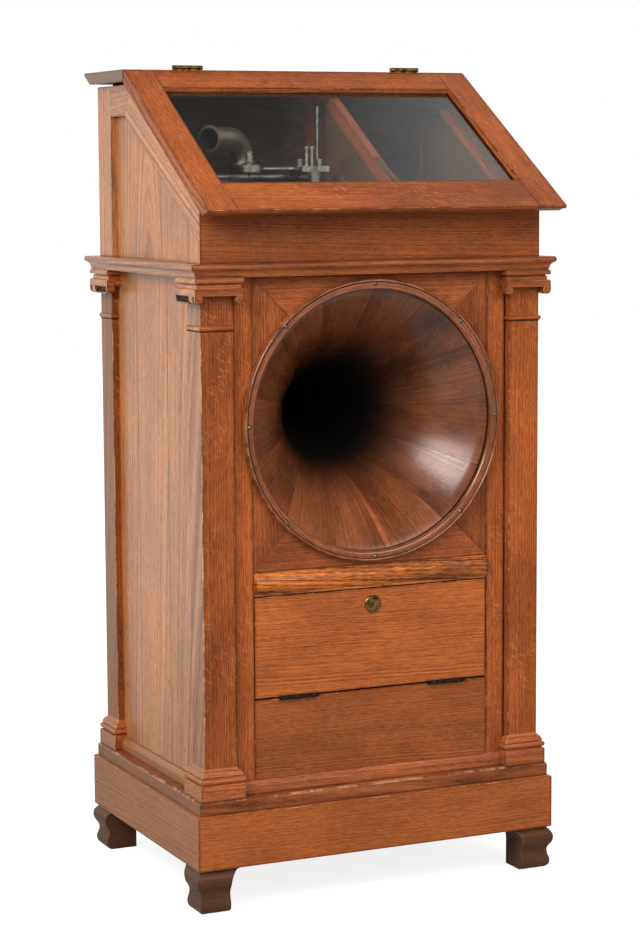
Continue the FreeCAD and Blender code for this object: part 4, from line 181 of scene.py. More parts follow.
@dataclass
class Stick:
    """One part of a piece: its mesh and the edges that were eased.

    Attributes:
        mesh: The part in millimetres round the case's middle.
        eased: Faces made by easing the edges.
        lined: Faces that take the second finish of their piece.
    """

    mesh: bmesh.types.BMesh
    eased: set = field(default_factory=set)
    lined: set = field(default_factory=set)

    def ease(self, width: float, segments: int = 2, angle: float = 25.0) -> "Stick":
        """Round every edge that is sharper than an angle.

        Args:
            width: How far the rounding reaches from the edge.
            segments: Faces across the rounding.
            angle: Least angle of an edge that is rounded, in degrees.

        Returns:
            The same part.
        """
        sharp = [edge for edge in self.mesh.edges
                 if len(edge.link_faces) == 2 and edge.calc_face_angle(0.0) > math.radians(angle)]
        if width > 0 and sharp:
            self.eased |= rounded(self.mesh, sharp, width, segments)
        return self

    def mitre(self, through: Spot, away: Spot) -> "Stick":
        """Cut the part along a plane and close the cut.

        Args:
            through: Point on the plane.
            away: Direction in which the part is cut off.

        Returns:
            The same part.
        """
        geometry = self.mesh.verts[:] + self.mesh.edges[:] + self.mesh.faces[:]
        made = bmesh.ops.bisect_plane(self.mesh, geom=geometry, plane_co=through, plane_no=away,
                                      clear_outer=True)
        rim = [item for item in made["geom_cut"] if isinstance(item, bmesh.types.BMEdge)]
        bmesh.ops.holes_fill(self.mesh, edges=rim)
        bmesh.ops.recalc_face_normals(self.mesh, faces=self.mesh.faces)
        return self

    def line(self, facing: Spot) -> "Stick":
        """Give the faces that look one way the second finish of the piece."""
        self.mesh.normal_update()
        self.lined |= {face for face in self.mesh.faces if face.normal.dot(Vector(facing)) > 0.6}
        return self

    def turn(self, matrix: Matrix) -> "Stick":
        """Move the part by a matrix."""
        bmesh.ops.transform(self.mesh, matrix=matrix, verts=self.mesh.verts)
        return self


def block(low: Spot, high: Spot, ease: float = 1.0, segments: int = 2) -> Stick:
    """Rectangular board between two corners.

    Args:
        low: Lowest corner.
        high: Highest corner.
        ease: Rounding of its edges.
        segments: Faces across the rounding.

    Returns:
        The board.
    """
    mesh = bmesh.new()
    middle = (Vector(low) + Vector(high)) / 2
    scale = Matrix.Diagonal((*(Vector(high) - Vector(low)), 1.0))
    bmesh.ops.create_cube(mesh, size=1.0, matrix=Matrix.Translation(middle) @ scale)
    return Stick(mesh).ease(ease, segments)


def drawn_face(mesh: bmesh.types.BMesh, loops: Sequence[Sequence[Spot]]) -> list:
    """Fill an outline, and leave its holes open.

    Args:
        mesh: Mesh that the face goes into.
        loops: Corners of the outline, then of each hole.

    Returns:
        The new faces.
    """
    edges = []
    for loop in loops:
        verts = [mesh.verts.new(corner) for corner in loop]
        edges += [mesh.edges.new(pair) for pair in zip(verts, verts[1:] + verts[:1])]
    if len(loops) == 1:
        return bmesh.ops.contextual_create(mesh, geom=edges)["faces"]
    made = bmesh.ops.triangle_fill(mesh, use_beauty=True, use_dissolve=False, edges=edges)
    return [item for item in made["geom"] if isinstance(item, bmesh.types.BMFace)]


def pulled(mesh: bmesh.types.BMesh, end: list) -> list:
    """Extrude a drawn end, and give the new corners, which still have to be moved."""
    made = bmesh.ops.extrude_face_region(mesh, geom=end, use_keep_orig=True)["geom"]
    return [item for item in made if isinstance(item, bmesh.types.BMVert)]


def round_hole(centre: Point, radius: float, steps: int = 32) -> list[Point]:
    """Corners of a round hole."""
    turns = [2 * math.pi * index / steps for index in range(steps)]
    return [(centre[0] + radius * math.cos(turn), centre[1] + radius * math.sin(turn))
            for turn in turns]


def prism(outline: Sequence[Point], axis: str, low: float, high: float,
          ease: float = 1.0, segments: int = 2, angle: float = 25.0,
          holes: Sequence[Sequence[Point]] = ()) -> Stick:
    """Straight bar of a drawn section.

    Args:
        outline: Corners of the section.
        axis: Axis that the bar lies along.
        low: Where the bar starts on that axis.
        high: Where it ends.
        ease: Rounding of its edges.
        segments: Faces across the rounding.
        angle: Least angle of an edge that is rounded.
        holes: Corners of each hole through it.

    Returns:
        The bar.
    """
    place = {"x": lambda a, b: (low, a, b), "y": lambda a, b: (a, low, b),
             "z": lambda a, b: (a, b, low)}[axis]
    step = Vector({"x": (1, 0, 0), "y": (0, 1, 0), "z": (0, 0, 1)}[axis]) * (high - low)
    mesh = bmesh.new()
    end = drawn_face(mesh, [[place(*corner) for corner in loop] for loop in (outline, *holes)])
    bmesh.ops.translate(mesh, vec=step, verts=pulled(mesh, end))
    bmesh.ops.recalc_face_normals(mesh, faces=mesh.faces)
    return Stick(mesh).ease(ease, segments, angle)


def mitred(profile: Sequence[Point], half_x: float, half_y: float, side: Side) -> Stick:
    """One length of a moulding round a rectangle, mitred at both ends.

    Args:
        profile: Closed section, as distance outwards from the rectangle and height.
        half_x: Half width of the rectangle.
        half_y: Half depth of the rectangle.
        side: Side of the rectangle that the length is on.

    Returns:
        The length of moulding.
    """
    facing = side.value
    mesh = bmesh.new()

    def corner(out: float, z: float, end: int) -> Spot:
        """Corner of the section at one end."""
        if facing[0]:
            return facing[0] * (half_x + out), end * (half_y + out), z
        return end * (half_x + out), facing[1] * (half_y + out), z

    end = drawn_face(mesh, [[corner(out, z, -1) for out, z in profile]])
    flip = 1 if facing[0] else 0
    for vert in pulled(mesh, end):
        vert.co[flip] = -vert.co[flip]
    bmesh.ops.recalc_face_normals(mesh, faces=mesh.faces)
    return Stick(mesh)


def stack(rings: Sequence[tuple[float, float, float, float, float]], ease: float = 0.0) -> Stick:
    """Block whose outline changes with its height.

    Args:
        rings: Lowest x, highest x, lowest y, highest y and height of each outline, upwards.
        ease: Rounding of the upright edges.

    Returns:
        The block.
    """
    mesh = bmesh.new()
    x0, x1, y0, y1, z = rings[0]
    verts = [mesh.verts.new((x, y, z)) for x, y in ((x0, y0), (x1, y0), (x1, y1), (x0, y1))]
    edges = [mesh.edges.new(pair) for pair in zip(verts, verts[1:] + verts[:1])]
    bmesh.ops.contextual_create(mesh, geom=edges)
    lows = rings[0]
    for ring in rings[1:]:
        made = bmesh.ops.extrude_edge_only(mesh, edges=edges)["geom"]
        verts = [item for item in made if isinstance(item, bmesh.types.BMVert)]
        edges = [item for item in made if isinstance(item, bmesh.types.BMEdge)
                 and all(vert in verts for vert in item.verts)]
        for vert in verts:
            vert.co.x = ring[0] if abs(vert.co.x - lows[0]) < abs(vert.co.x - lows[1]) else ring[1]
            vert.co.y = ring[2] if abs(vert.co.y - lows[2]) < abs(vert.co.y - lows[3]) else ring[3]
            vert.co.z = ring[4]
        lows = ring
    bmesh.ops.contextual_create(mesh, geom=edges)
    bmesh.ops.recalc_face_normals(mesh, faces=mesh.faces)
    part = Stick(mesh)
    if ease:
        upright = [edge for edge in mesh.edges
                   if abs(edge.verts[0].co.z - edge.verts[1].co.z) > 0.2
                   and edge.calc_face_angle(0.0) > 1.0]
        part.eased |= rounded(mesh, upright, ease, 2)
    return part


def lathe(profile: Sequence[Point], centre: Spot, axis: str = "z", steps: int = 48,
          start: float = 0.0, sweep: float = 360.0) -> Stick:
    """Round part turned from a profile.

    Args:
        profile: Radius and distance along the axis. The ends close on the axis or on each other.
        centre: Point on the axis that distances start from.
        axis: "x", "y" or "z", with a minus sign to face the other way.
        steps: Faces round the part.
        start: Angle at which the turning starts, in degrees.
        sweep: Angle that it turns through.

    Returns:
        The part.
    """
    mesh = bmesh.new()
    verts = [mesh.verts.new((radius, 0.0, height)) for radius, height in profile]
    edges = [mesh.edges.new(pair) for pair in zip(verts, verts[1:])]
    full = abs(sweep - 360.0) < 1e-6
    bmesh.ops.rotate(mesh, verts=verts, cent=(0, 0, 0),
                     matrix=Matrix.Rotation(math.radians(start), 3, "Z"))
    bmesh.ops.spin(mesh, geom=verts + edges, cent=(0, 0, 0), axis=(0, 0, 1),
                   angle=math.radians(sweep), steps=steps, use_merge=full)
    bmesh.ops.remove_doubles(mesh, verts=mesh.verts, dist=1e-4)
    if not full:
        bmesh.ops.holes_fill(mesh, edges=[edge for edge in mesh.edges if edge.is_boundary])
    bmesh.ops.recalc_face_normals(mesh, faces=mesh.faces)
    turns = {"z": Matrix.Identity(4), "x": Matrix.Rotation(math.radians(90), 4, "Y"),
             "y": Matrix.Rotation(math.radians(-90), 4, "X"),
             "-y": Matrix.Rotation(math.radians(90), 4, "X"),
             "-z": Matrix.Rotation(math.radians(180), 4, "X")}
    return Stick(mesh).turn(Matrix.Translation(centre) @ turns[axis])


class Piece:
    """One object of the scene, put together from parts that carry their own grain."""

    def __init__(self, name: str) -> None:
        """Start an empty piece.

        Args:
            name: Name of the object.
        """
        self.name = name
        self.mesh = bmesh.new()
        self.board = self.mesh.verts.layers.float_vector.new("board")
        self.half = self.mesh.verts.layers.float_vector.new("half")
        self.mark = self.mesh.verts.layers.float_vector.new("mark")
        self.edge = self.mesh.loops.layers.float.new("edge")
        self.dice = random.Random(name)

    def add(self, part: Stick, run: Run = Run.X_FLAT, tone: float = 0.0, slot: int = 0,
            along: Along | None = None) -> "Piece":
        """Add a part with its grain.

        Args:
            part: The part in millimetres round the case's middle.
            run: How its grain lies.
            tone: How much lighter it is than its finish, from -1 to 1.
            slot: Number of its finish.
            along: Gives the place on the board of a point, for a part whose grain is bent.

        Returns:
            The same piece.
        """
        source = part.mesh
        if along is None:
            axes = Matrix([Vector(axis) for axis in run.value])
            spots = [axes @ vert.co for vert in source.verts]
        else:
            spots = [along(vert.co) for vert in source.verts]
        low = Vector([min(spot[axis] for spot in spots) for axis in range(3)])
        high = Vector([max(spot[axis] for spot in spots) for axis in range(3)])
        middle, half = (low + high) / 2, (high - low) / 2
        mark = Vector((self.dice.random() * 40, tone, self.dice.random()))
        moved = {}
        for vert, spot in zip(source.verts, spots):
            fresh = self.mesh.verts.new((Vector((0, CASE_MIDDLE, 0)) + vert.co) * MM)
            fresh[self.board] = (spot - middle) * MM
            fresh[self.half] = half * MM
            fresh[self.mark] = mark
            moved[vert] = fresh
        for face in source.faces:
            fresh_face = self.mesh.faces.new([moved[vert] for vert in face.verts])
            fresh_face.smooth = True
            fresh_face.material_index = 1 if face in part.lined else slot
            worn = 1.0 if face in part.eased else 0.0
            for loop in fresh_face.loops:
                loop[self.edge] = worn
        source.free()
        return self

    def finish(self, body: str, finishes: Iterable[bpy.types.Material],
               stands_for: Iterable[str] = (), slot: str = "oak",
               crease: float = 40.0) -> bpy.types.Object:
        """Make the object and hang it on its body.

        Args:
            body: Body that it moves with.
            finishes: Its materials, in the order of the parts' numbers.
            stands_for: Nodes that it replaces.
            slot: Not used.
            crease: Angle above which an edge stays sharp, in degrees.

        Returns:
            The object.
        """
        self.mesh.normal_update()
        for edge in self.mesh.edges:
            if len(edge.link_faces) == 2:
                edge.smooth = edge.calc_face_angle(0.0) < math.radians(crease)
        data = bpy.data.meshes.new(self.name)
        self.mesh.to_mesh(data)
        self.mesh.free()
        made = bpy.data.objects.new(self.name, data)
        bpy.context.scene.collection.objects.link(made)
        for material in finishes:
            data.materials.append(material)
        weighted = made.modifiers.new("even_shading", "WEIGHTED_NORMAL")
        weighted.keep_sharp = True
        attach(made, body)
        names = list(stands_for)
        if names:
            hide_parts(*names)
        LOG.info("%s: %d faces", self.name, len(data.polygons))
        return made


class Graph:
    """Short way to lay and join the nodes of one tree."""

    def __init__(self, tree: bpy.types.NodeTree) -> None:
        """Take hold of the tree that the nodes go into."""
        self.tree = tree

    def node(self, kind: str, inputs: dict | None = None, **settings: object) -> bpy.types.Node:
        """Lay one node.

        Args:
            kind: Type of the node.
            inputs: Values or sockets for its inputs, by name or number.
            settings: Its other settings.

        Returns:
            The node.
        """
        made = self.tree.nodes.new(kind)
        for name, value in settings.items():
            setattr(made, name, value)
        for name, value in (inputs or {}).items():
            self.put(made.inputs[name], value)
        return made

    def put(self, target: Socket, value: object) -> None:
        """Join a socket to an input, or give the input a plain value.

        Args:
            target: The input.
            value: A socket, or a plain value.
        """
        if isinstance(value, bpy.types.NodeSocket):
            self.tree.links.new(value, target)
        else:
            target.default_value = value

    def math(self, operation: str, *values: object, clamp: bool = False) -> Socket:
        """Work out one number from others, and hold it between 0 and 1 with clamp."""
        return self.node("ShaderNodeMath", dict(enumerate(values)), operation=operation,
                         use_clamp=clamp).outputs[0]

    def times(self, first: object, second: object, clamp: bool = False) -> Socket:
        """Product of two numbers."""
        return self.math("MULTIPLY", first, second, clamp=clamp)

    def plus(self, first: object, second: object, clamp: bool = False) -> Socket:
        """Sum of two numbers."""
        return self.math("ADD", first, second, clamp=clamp)

    def less(self, first: object, second: object) -> Socket:
        """First number less the second."""
        return self.math("SUBTRACT", first, second)

    def swing(self, value: Socket, reach: float) -> Socket:
        """Carry a value from 0 to 1 to one that swings as far below 0 as above it."""
        return self.times(self.less(value, 0.5), reach)

    def vector(self, operation: str, *values: object) -> Socket:
        """Work out one vector from others."""
        return self.node("ShaderNodeVectorMath", dict(enumerate(values)),
                         operation=operation).outputs[0]

    def parts(self, vector: Socket) -> tuple[Socket, Socket, Socket]:
        """The three parts of a vector."""
        made = self.node("ShaderNodeSeparateXYZ", {0: vector})
        return made.outputs[0], made.outputs[1], made.outputs[2]

    def join(self, x: object, y: object, z: object) -> Socket:
        """A vector from three parts."""
        return self.node("ShaderNodeCombineXYZ", {0: x, 1: y, 2: z}).outputs[0]

    def noise(self, place: Socket, scale: object = 1.0, detail: float = 2.0,
              roughness: float = 0.5) -> Socket:
        """Cloudy value of a place, about one half on average."""
        return self.node("ShaderNodeTexNoise", {"Vector": place, "Scale": scale, "Detail": detail,
                                                "Roughness": roughness}).outputs[0]

    def cloud(self, place: Socket, stretch: Spot, detail: float = 2.0,
              roughness: float = 0.5) -> Socket:
        """Cloudy value that changes at its own rate along each axis."""
        return self.noise(self.vector("MULTIPLY", place, stretch), 1.0, detail, roughness)

    def line_noise(self, place: Socket, detail: float = 2.0, roughness: float = 0.5) -> Socket:
        """Cloudy value along one line."""
        return self.node("ShaderNodeTexNoise", {"W": place, "Scale": 1.0, "Detail": detail,
                                                "Roughness": roughness},
                         noise_dimensions="1D").outputs[0]

    def span(self, value: object, low: object, high: object, start: object = 0.0,
             end: object = 1.0) -> Socket:
        """Carry a value smoothly from low and high to start and end, and hold it there."""
        return self.node("ShaderNodeMapRange", {"Value": value, "From Min": low, "From Max": high,
                                                "To Min": start, "To Max": end},
                         interpolation_type="SMOOTHSTEP").outputs[0]

    def blend(self, share: object, first: object, second: object) -> Socket:
        """Mix two numbers, with a share of the second."""
        return self.node("ShaderNodeMix", {0: share, 2: first, 3: second},
                         data_type="FLOAT").outputs[0]

    def mix(self, share: object, first: object, second: object) -> Socket:
        """Mix two colours, with a share of the second."""
        return self.node("ShaderNodeMix", {0: share, 6: first, 7: second}, data_type="RGBA",
                         blend_type="MIX").outputs[2]

    def attribute(self, name: str, number: bool = False) -> Socket:
        """A value that the mesh carries, as a vector or as a number."""
        made = self.node("ShaderNodeAttribute", attribute_name=name)
        return made.outputs["Fac" if number else "Vector"]

    def place(self) -> Socket:
        """Place on the object, in metres."""
        return self.node("ShaderNodeTexCoord").outputs["Object"]

    def shared(self, group: bpy.types.NodeTree, inputs: dict) -> bpy.types.Node:
        """Lay a shared group with its values."""
        return self.node("ShaderNodeGroup", inputs, node_tree=group)


def new_group(name: str, inputs: Sequence[tuple[str, str]],
              outputs: Sequence[str]) -> tuple[Graph, bpy.types.Node, bpy.types.Node]:
    """Start a node group that several finishes share.

    Args:
        name: Name of the group.
        inputs: Name and type of each input.
        outputs: Name of each output, all plain numbers.

    Returns:
        The group's graph, its input node and its output node.
    """
    tree = bpy.data.node_groups.new(name, "ShaderNodeTree")
    for label, kind in inputs:
        tree.interface.new_socket(name=label, in_out="INPUT", socket_type="NodeSocket" + kind)
    for label in outputs:
        tree.interface.new_socket(name=label, in_out="OUTPUT", socket_type="NodeSocketFloat")
    graph = Graph(tree)
    return graph, graph.node("NodeGroupInput"), graph.node("NodeGroupOutput")


def grain_group() -> bpy.types.NodeTree:
    """Grain of a sawn board: growth lines, silver rays, open pores and slow changes of colour.

    Returns:
        The group. Its outputs run from 0 to 1.
    """
    graph, given, result = new_group(
        "board_grain",
        (("Board", "Vector"), ("Mark", "Vector"), ("Lines", "Float"), ("Arches", "Float"),
         ("Rays", "Float")),
        ("Grain", "Ray", "Pore", "Cloud", "Height"))
    start, _, chance = graph.parts(given.outputs["Mark"])
    arches = given.outputs["Arches"]
    shift = graph.join(*(graph.times(start, share) for share in (0.37, 0.11, 0.23)))
    spot = graph.vector("ADD", given.outputs["Board"], shift)
    along, across, through = graph.parts(given.outputs["Board"])

    # Growth lines: straight ones and arches, both bent by a slow sway and a fine ripple.
    sway = graph.swing(graph.cloud(spot, (2.0, 6.0, 6.0)), 0.020)
    ripple = graph.swing(graph.cloud(spot, (18.0, 40.0, 40.0), 2.0, 0.6), 0.003)
    bent = graph.plus(graph.plus(across, sway), ripple)
    aside = graph.less(bent, graph.swing(chance, 0.12))
    arch = graph.plus(graph.times(graph.times(aside, aside), 5.5), graph.times(along, 0.06))
    straight = graph.plus(bent, graph.times(through, 0.35))
    level = graph.plus(graph.times(straight, graph.less(1.0, arches)), graph.times(arch, arches))
    level = graph.plus(graph.times(level, given.outputs["Lines"]), start)
    lines = graph.span(graph.line_noise(level, 3.0, 0.6), 0.28, 0.72)
    fibre = graph.cloud(spot, (60.0, 520.0, 520.0), 3.0, 0.65)
    grain = graph.plus(graph.times(lines, 0.5), graph.times(graph.span(fibre, 0.28, 0.72), 0.5))

    # Silver rays: short slanted flecks in loose clusters.
    wander = graph.times(graph.cloud(spot, (30.0, 22.0, 22.0)), 5.0)
    slanted = graph.join(
        graph.plus(graph.times(along, 210.0), graph.plus(graph.times(across, 120.0), wander)),
        graph.times(across, 62.0), graph.plus(start, through))
    fleck = graph.noise(slanted, 1.0, 1.5, 0.5)
    cluster = graph.cloud(spot, (9.0, 24.0, 24.0), 1.0)
    ray = graph.times(graph.span(fleck, 0.56, 0.68), graph.span(cluster, 0.40, 0.62))
    ray = graph.times(ray, given.outputs["Rays"], clamp=True)

    # Pores: thin strokes, most of them in the dark growth lines.
    pore = graph.cloud(spot, (55.0, 1000.0, 1000.0))
    pore = graph.times(graph.span(pore, 0.56, 0.70), graph.span(lines, 0.75, 0.25, 0.25, 1.0),
                       clamp=True)
    cloud = graph.span(graph.cloud(spot, (4.0, 12.0, 12.0), 5.0, 0.65), 0.28, 0.72)
    height = graph.less(graph.times(lines, 0.25), pore)
    for name, value in (("Grain", grain), ("Ray", ray), ("Pore", pore), ("Cloud", cloud),
                        ("Height", height)):
        graph.put(result.inputs[name], value)
    return graph.tree


def edge_group() -> bpy.types.NodeTree:
    """Handling of a board: pale wear on its eased edges, and darkening along its joints that is
    partly dirt and partly painted shade.

    Returns:
        The group. Its outputs run from 0 to 1.
    """
    graph, given, result = new_group(
        "board_edges",
        (("Board", "Vector"), ("Half", "Vector"), ("Edge", "Float"), ("Reach", "Float"),
         ("Place", "Vector")),
        ("Worn", "Dirt_and_shade"))
    inset = graph.vector("SUBTRACT", given.outputs["Half"],
                         graph.vector("ABSOLUTE", given.outputs["Board"]))
    first, second, third = graph.parts(inset)
    nearest = graph.math("MAXIMUM", graph.math("MINIMUM", first, second),
                         graph.math("MINIMUM", graph.math("MAXIMUM", first, second), third))
    patches = graph.noise(given.outputs["Place"], 14.0, 3.0, 0.65)
    specks = graph.noise(given.outputs["Place"], 95.0, 3.0, 0.7)
    rub = graph.span(graph.plus(graph.times(patches, 0.65), graph.times(specks, 0.35)), 0.47, 0.60)
    worn = graph.times(given.outputs["Edge"], rub)
    # Painted shade, partly dirt: darkening within the reach of the board's edges, standing in for
    # the shade in joints and corners; the worn edges are spared.
    close = graph.span(nearest, graph.times(given.outputs["Reach"], 0.15),
                       given.outputs["Reach"], 1.0, 0.0)
    dirt_and_shade = graph.times(close, graph.span(patches, 0.3, 0.6, 0.45, 1.0))
    graph.put(result.inputs["Worn"], worn)
    graph.put(result.inputs["Dirt_and_shade"], graph.times(dirt_and_shade, graph.less(1.0, worn), clamp=True))
    return graph.tree


def patina_group() -> bpy.types.NodeTree:
    """Age of bare metal: tarnish patches, rubbed spots and fine scratches.

    Returns:
        The group. Its outputs run from 0 to 1.
    """
    graph, given, result = new_group(
        "metal_patina", (("Place", "Vector"), ("Scale", "Float")),
        ("Tarnish", "Speck", "Scratch"))
    patches = graph.noise(given.outputs["Place"], given.outputs["Scale"], 4.0, 0.65)
    specks = graph.noise(given.outputs["Place"], graph.times(given.outputs["Scale"], 7.0), 3.0, 0.6)
    scratch = graph.cloud(given.outputs["Place"], (260.0, 1900.0, 420.0))
    graph.put(result.inputs["Tarnish"], graph.span(patches, 0.36, 0.66))
    graph.put(result.inputs["Speck"], graph.span(specks, 0.55, 0.68))
    graph.put(result.inputs["Scratch"], graph.span(scratch, 0.42, 0.60))
    return graph.tree


class Groups:
    """The node groups that the finishes share, each made once."""

    def __init__(self) -> None:
        """Make the groups."""
        self.grain = grain_group()
        self.edges = edge_group()
        self.patina = patina_group()


def plain_principled(name: str) -> tuple[bpy.types.Material, Graph, bpy.types.Node]:
    """Start a material with an empty Principled shader.

    Args:
        name: Name of the material.

    Returns:
        The material, its graph and its shader.
    """
    material = bpy.data.materials.new(name)
    material.use_nodes = True
    material.node_tree.nodes.clear()
    graph = Graph(material.node_tree)
    shader = graph.node("ShaderNodeBsdfPrincipled")
    graph.node("ShaderNodeOutputMaterial", {"Surface": shader.outputs[0]})
    return material, graph, shader


@dataclass(frozen=True)
class WoodFinish:
    """Varnished wood with its grain along each board.

    Attributes:
        name: Name of the material.
        dark: Colour of the dark growth lines.
        light: Colour of the light growth lines.
        ray: Colour of the silver rays.
        pore: Colour of the open pores, and of the dirt and painted shade along the joints.
        worn: Colour where the varnish is rubbed off the edges.
        lines: Growth lines for each metre across the board.
        arches: 0 for quarter-sawn lines and 1 for plain-sawn arches.
        rays: Strength of the silver rays.
        contrast: How much of the growth lines shows.
        cloud: How much the colour changes slowly over a board.
        wear: How much the edges are worn.
        dirt_and_shade: How much dirt and painted shade lie along the joints.
        roughness: Roughness of the varnish.
        gloss: Specular level of the varnish.
        coat: Weight of the clear coat.
        bump: Depth of the pores in metres.
        reach: How far the dirt and painted shade reach from a joint, in metres.
        throat_shade: Where painted shade makes the wood start and end to go black along its grain,
            in metres.
    """

    name: str
    dark: Colour
    light: Colour
    ray: Colour
    pore: Colour
    worn: Colour
    lines: float = 150.0
    arches: float = 0.0
    rays: float = 0.8
    contrast: float = 1.0
    cloud: float = 0.35
    wear: float = 0.5
    dirt_and_shade: float = 0.75
    roughness: float = 0.42
    gloss: float = 0.16
    coat: float = 0.05
    bump: float = 0.00015
    reach: float = 0.0045
    throat_shade: Point | None = None

    def make(self, groups: Groups, carried: bool = True) -> bpy.types.Material:
        """Make the material.

        Args:
            groups: The shared node groups.
            carried: Whether the piece carries its grain, and doesn't lie along the case.

        Returns:
            The material.
        """
        material, graph, shader = plain_principled(self.name + ("" if carried else "_plain"))
        place = graph.place()
        if carried:
            board, half = graph.attribute("board"), graph.attribute("half")
            mark, edge = graph.attribute("mark"), graph.attribute("edge", number=True)
        else:
            board, half, mark, edge = place, (9.0, 9.0, 9.0), (3.0, 0.0, 0.5), 0.0
        grain = graph.shared(groups.grain, {"Board": board, "Mark": mark, "Lines": self.lines,
                                            "Arches": self.arches, "Rays": self.rays}).outputs
        edges = graph.shared(groups.edges, {"Board": board, "Half": half, "Edge": edge,
                                            "Reach": self.reach, "Place": place}).outputs
        tone = graph.parts(mark)[1] if carried else 0.0
        shade = graph.plus(graph.swing(grain["Grain"], self.contrast), 0.5, clamp=True)
        colour = graph.mix(shade, self.dark, self.light)
        bright = graph.plus(graph.plus(1.0, graph.swing(grain["Cloud"], self.cloud)),
                            graph.times(tone, 0.45))
        colour = graph.vector("MULTIPLY", colour, graph.join(bright, bright, bright))
        # The joint mask darkens towards the pore colour: partly dirt, partly painted shade.
        for mask, share, tint in ((grain["Ray"], 0.55, self.ray), (grain["Pore"], 0.6, self.pore),
                                  (edges["Dirt_and_shade"], self.dirt_and_shade, self.pore),
                                  (edges["Worn"], self.wear, self.worn)):
            colour = graph.mix(graph.times(mask, share), colour, tint)
        coat = self.coat
        # Painted shade: towards the horn's throat the wood fades to near black and loses its coat,
        # standing in for the shade deep inside.
        if self.throat_shade:
            inward = graph.plus(graph.parts(board)[0], graph.parts(half)[0])
            unshaded = graph.span(inward, self.throat_shade[0], self.throat_shade[1], 1.0, 0.0)
            colour = graph.mix(unshaded, THROAT_SHADE, colour)
            coat = graph.times(unshaded, self.coat)
        graph.put(shader.inputs["Base Color"], colour)
        rough = graph.plus(graph.times(grain["Pore"], 0.22), self.roughness)
        rough = graph.less(rough, graph.times(grain["Ray"], 0.10))
        rough = graph.plus(rough, graph.times(grain["Cloud"], 0.08))
        rough = graph.less(rough, graph.times(grain["Grain"], 0.10))
        graph.put(shader.inputs["Roughness"], rough)
        graph.put(shader.inputs["Coat Weight"], coat)
        shader.inputs["Coat Roughness"].default_value = 0.22
        shader.inputs["Specular IOR Level"].default_value = self.gloss
        bump = graph.node("ShaderNodeBump", {"Height": grain["Height"], "Distance": self.bump,
                                             "Strength": 0.6})
        graph.put(shader.inputs["Normal"], bump.outputs[0])
        return material


@dataclass(frozen=True)
class MetalFinish:
    """Metal or painted metal with patina.

    Attributes:
        name: Name of the material.
        base: Colour of the clean metal.
        aged: Colour of its tarnish.
        metallic: 1 for bare metal and 0 for paint.
        roughness: Roughness of the clean metal.
        aged_roughness: Roughness of the tarnish.
        tarnish: How much tarnish there is.
        scale: Tarnish patches for each metre.
        coat: Weight of a clear lacquer.
        gloss: Specular level of the paint.
    """

    name: str
    base: Colour
    aged: Colour
    metallic: float = 1.0
    roughness: float = 0.25
    aged_roughness: float = 0.55
    tarnish: float = 0.6
    scale: float = 60.0
    coat: float = 0.0
    gloss: float = 0.5

    def make(self, groups: Groups) -> bpy.types.Material:
        """Make the material.

        Args:
            groups: The shared node groups.

        Returns:
            The material.
        """
        material, graph, shader = plain_principled(self.name)
        patina = graph.shared(groups.patina, {"Place": graph.place(), "Scale": self.scale}).outputs
        share = graph.times(patina["Tarnish"], self.tarnish, clamp=True)
        colour = graph.mix(share, self.base, self.aged)
        colour = graph.mix(graph.times(patina["Speck"], 0.3), colour, self.aged)
        graph.put(shader.inputs["Base Color"], colour)
        rough = graph.span(share, 0.0, 1.0, self.roughness, self.aged_roughness)
        rough = graph.plus(rough, graph.times(patina["Scratch"], 0.06))
        graph.put(shader.inputs["Roughness"], rough)
        shader.inputs["Metallic"].default_value = self.metallic
        shader.inputs["Coat Weight"].default_value = self.coat
        shader.inputs["Specular IOR Level"].default_value = self.gloss
        height = graph.plus(patina["Scratch"], graph.times(share, 0.8))
        bump = graph.node("ShaderNodeBump", {"Height": height, "Distance": 0.00004,
                                             "Strength": 0.5})
        graph.put(shader.inputs["Normal"], bump.outputs[0])
        return material


@dataclass(frozen=True)
class GlassFinish:
    """Old window glass with a trace of dust.

    Attributes:
        name: Name of the material.
        tint: Colour of the glass.
        roughness: Roughness where it is clean.
    """

    name: str
    tint: Colour
    roughness: float = 0.015

    def make(self, groups: Groups) -> bpy.types.Material:
        """Make the material.

        Args:
            groups: The shared node groups.

        Returns:
            The material.
        """
        material, graph, shader = plain_principled(self.name)
        patina = graph.shared(groups.patina, {"Place": graph.place(), "Scale": 9.0}).outputs
        rough = graph.span(patina["Tarnish"], 0.0, 1.0, self.roughness, self.roughness + 0.05)
        graph.put(shader.inputs["Roughness"], rough)
        shader.inputs["Base Color"].default_value = self.tint
        shader.inputs["Transmission Weight"].default_value = 1.0
        shader.inputs["IOR"].default_value = 1.5
        clear = graph.node("ShaderNodeBsdfTransparent", {"Color": self.tint})
        path = graph.node("ShaderNodeLightPath")
        either = graph.node("ShaderNodeMixShader", {0: path.outputs["Is Shadow Ray"],
                                                    1: shader.outputs[0], 2: clear.outputs[0]})
        output = next(node for node in graph.tree.nodes if node.type == "OUTPUT_MATERIAL")
        graph.put(output.inputs["Surface"], either.outputs[0])
        return material


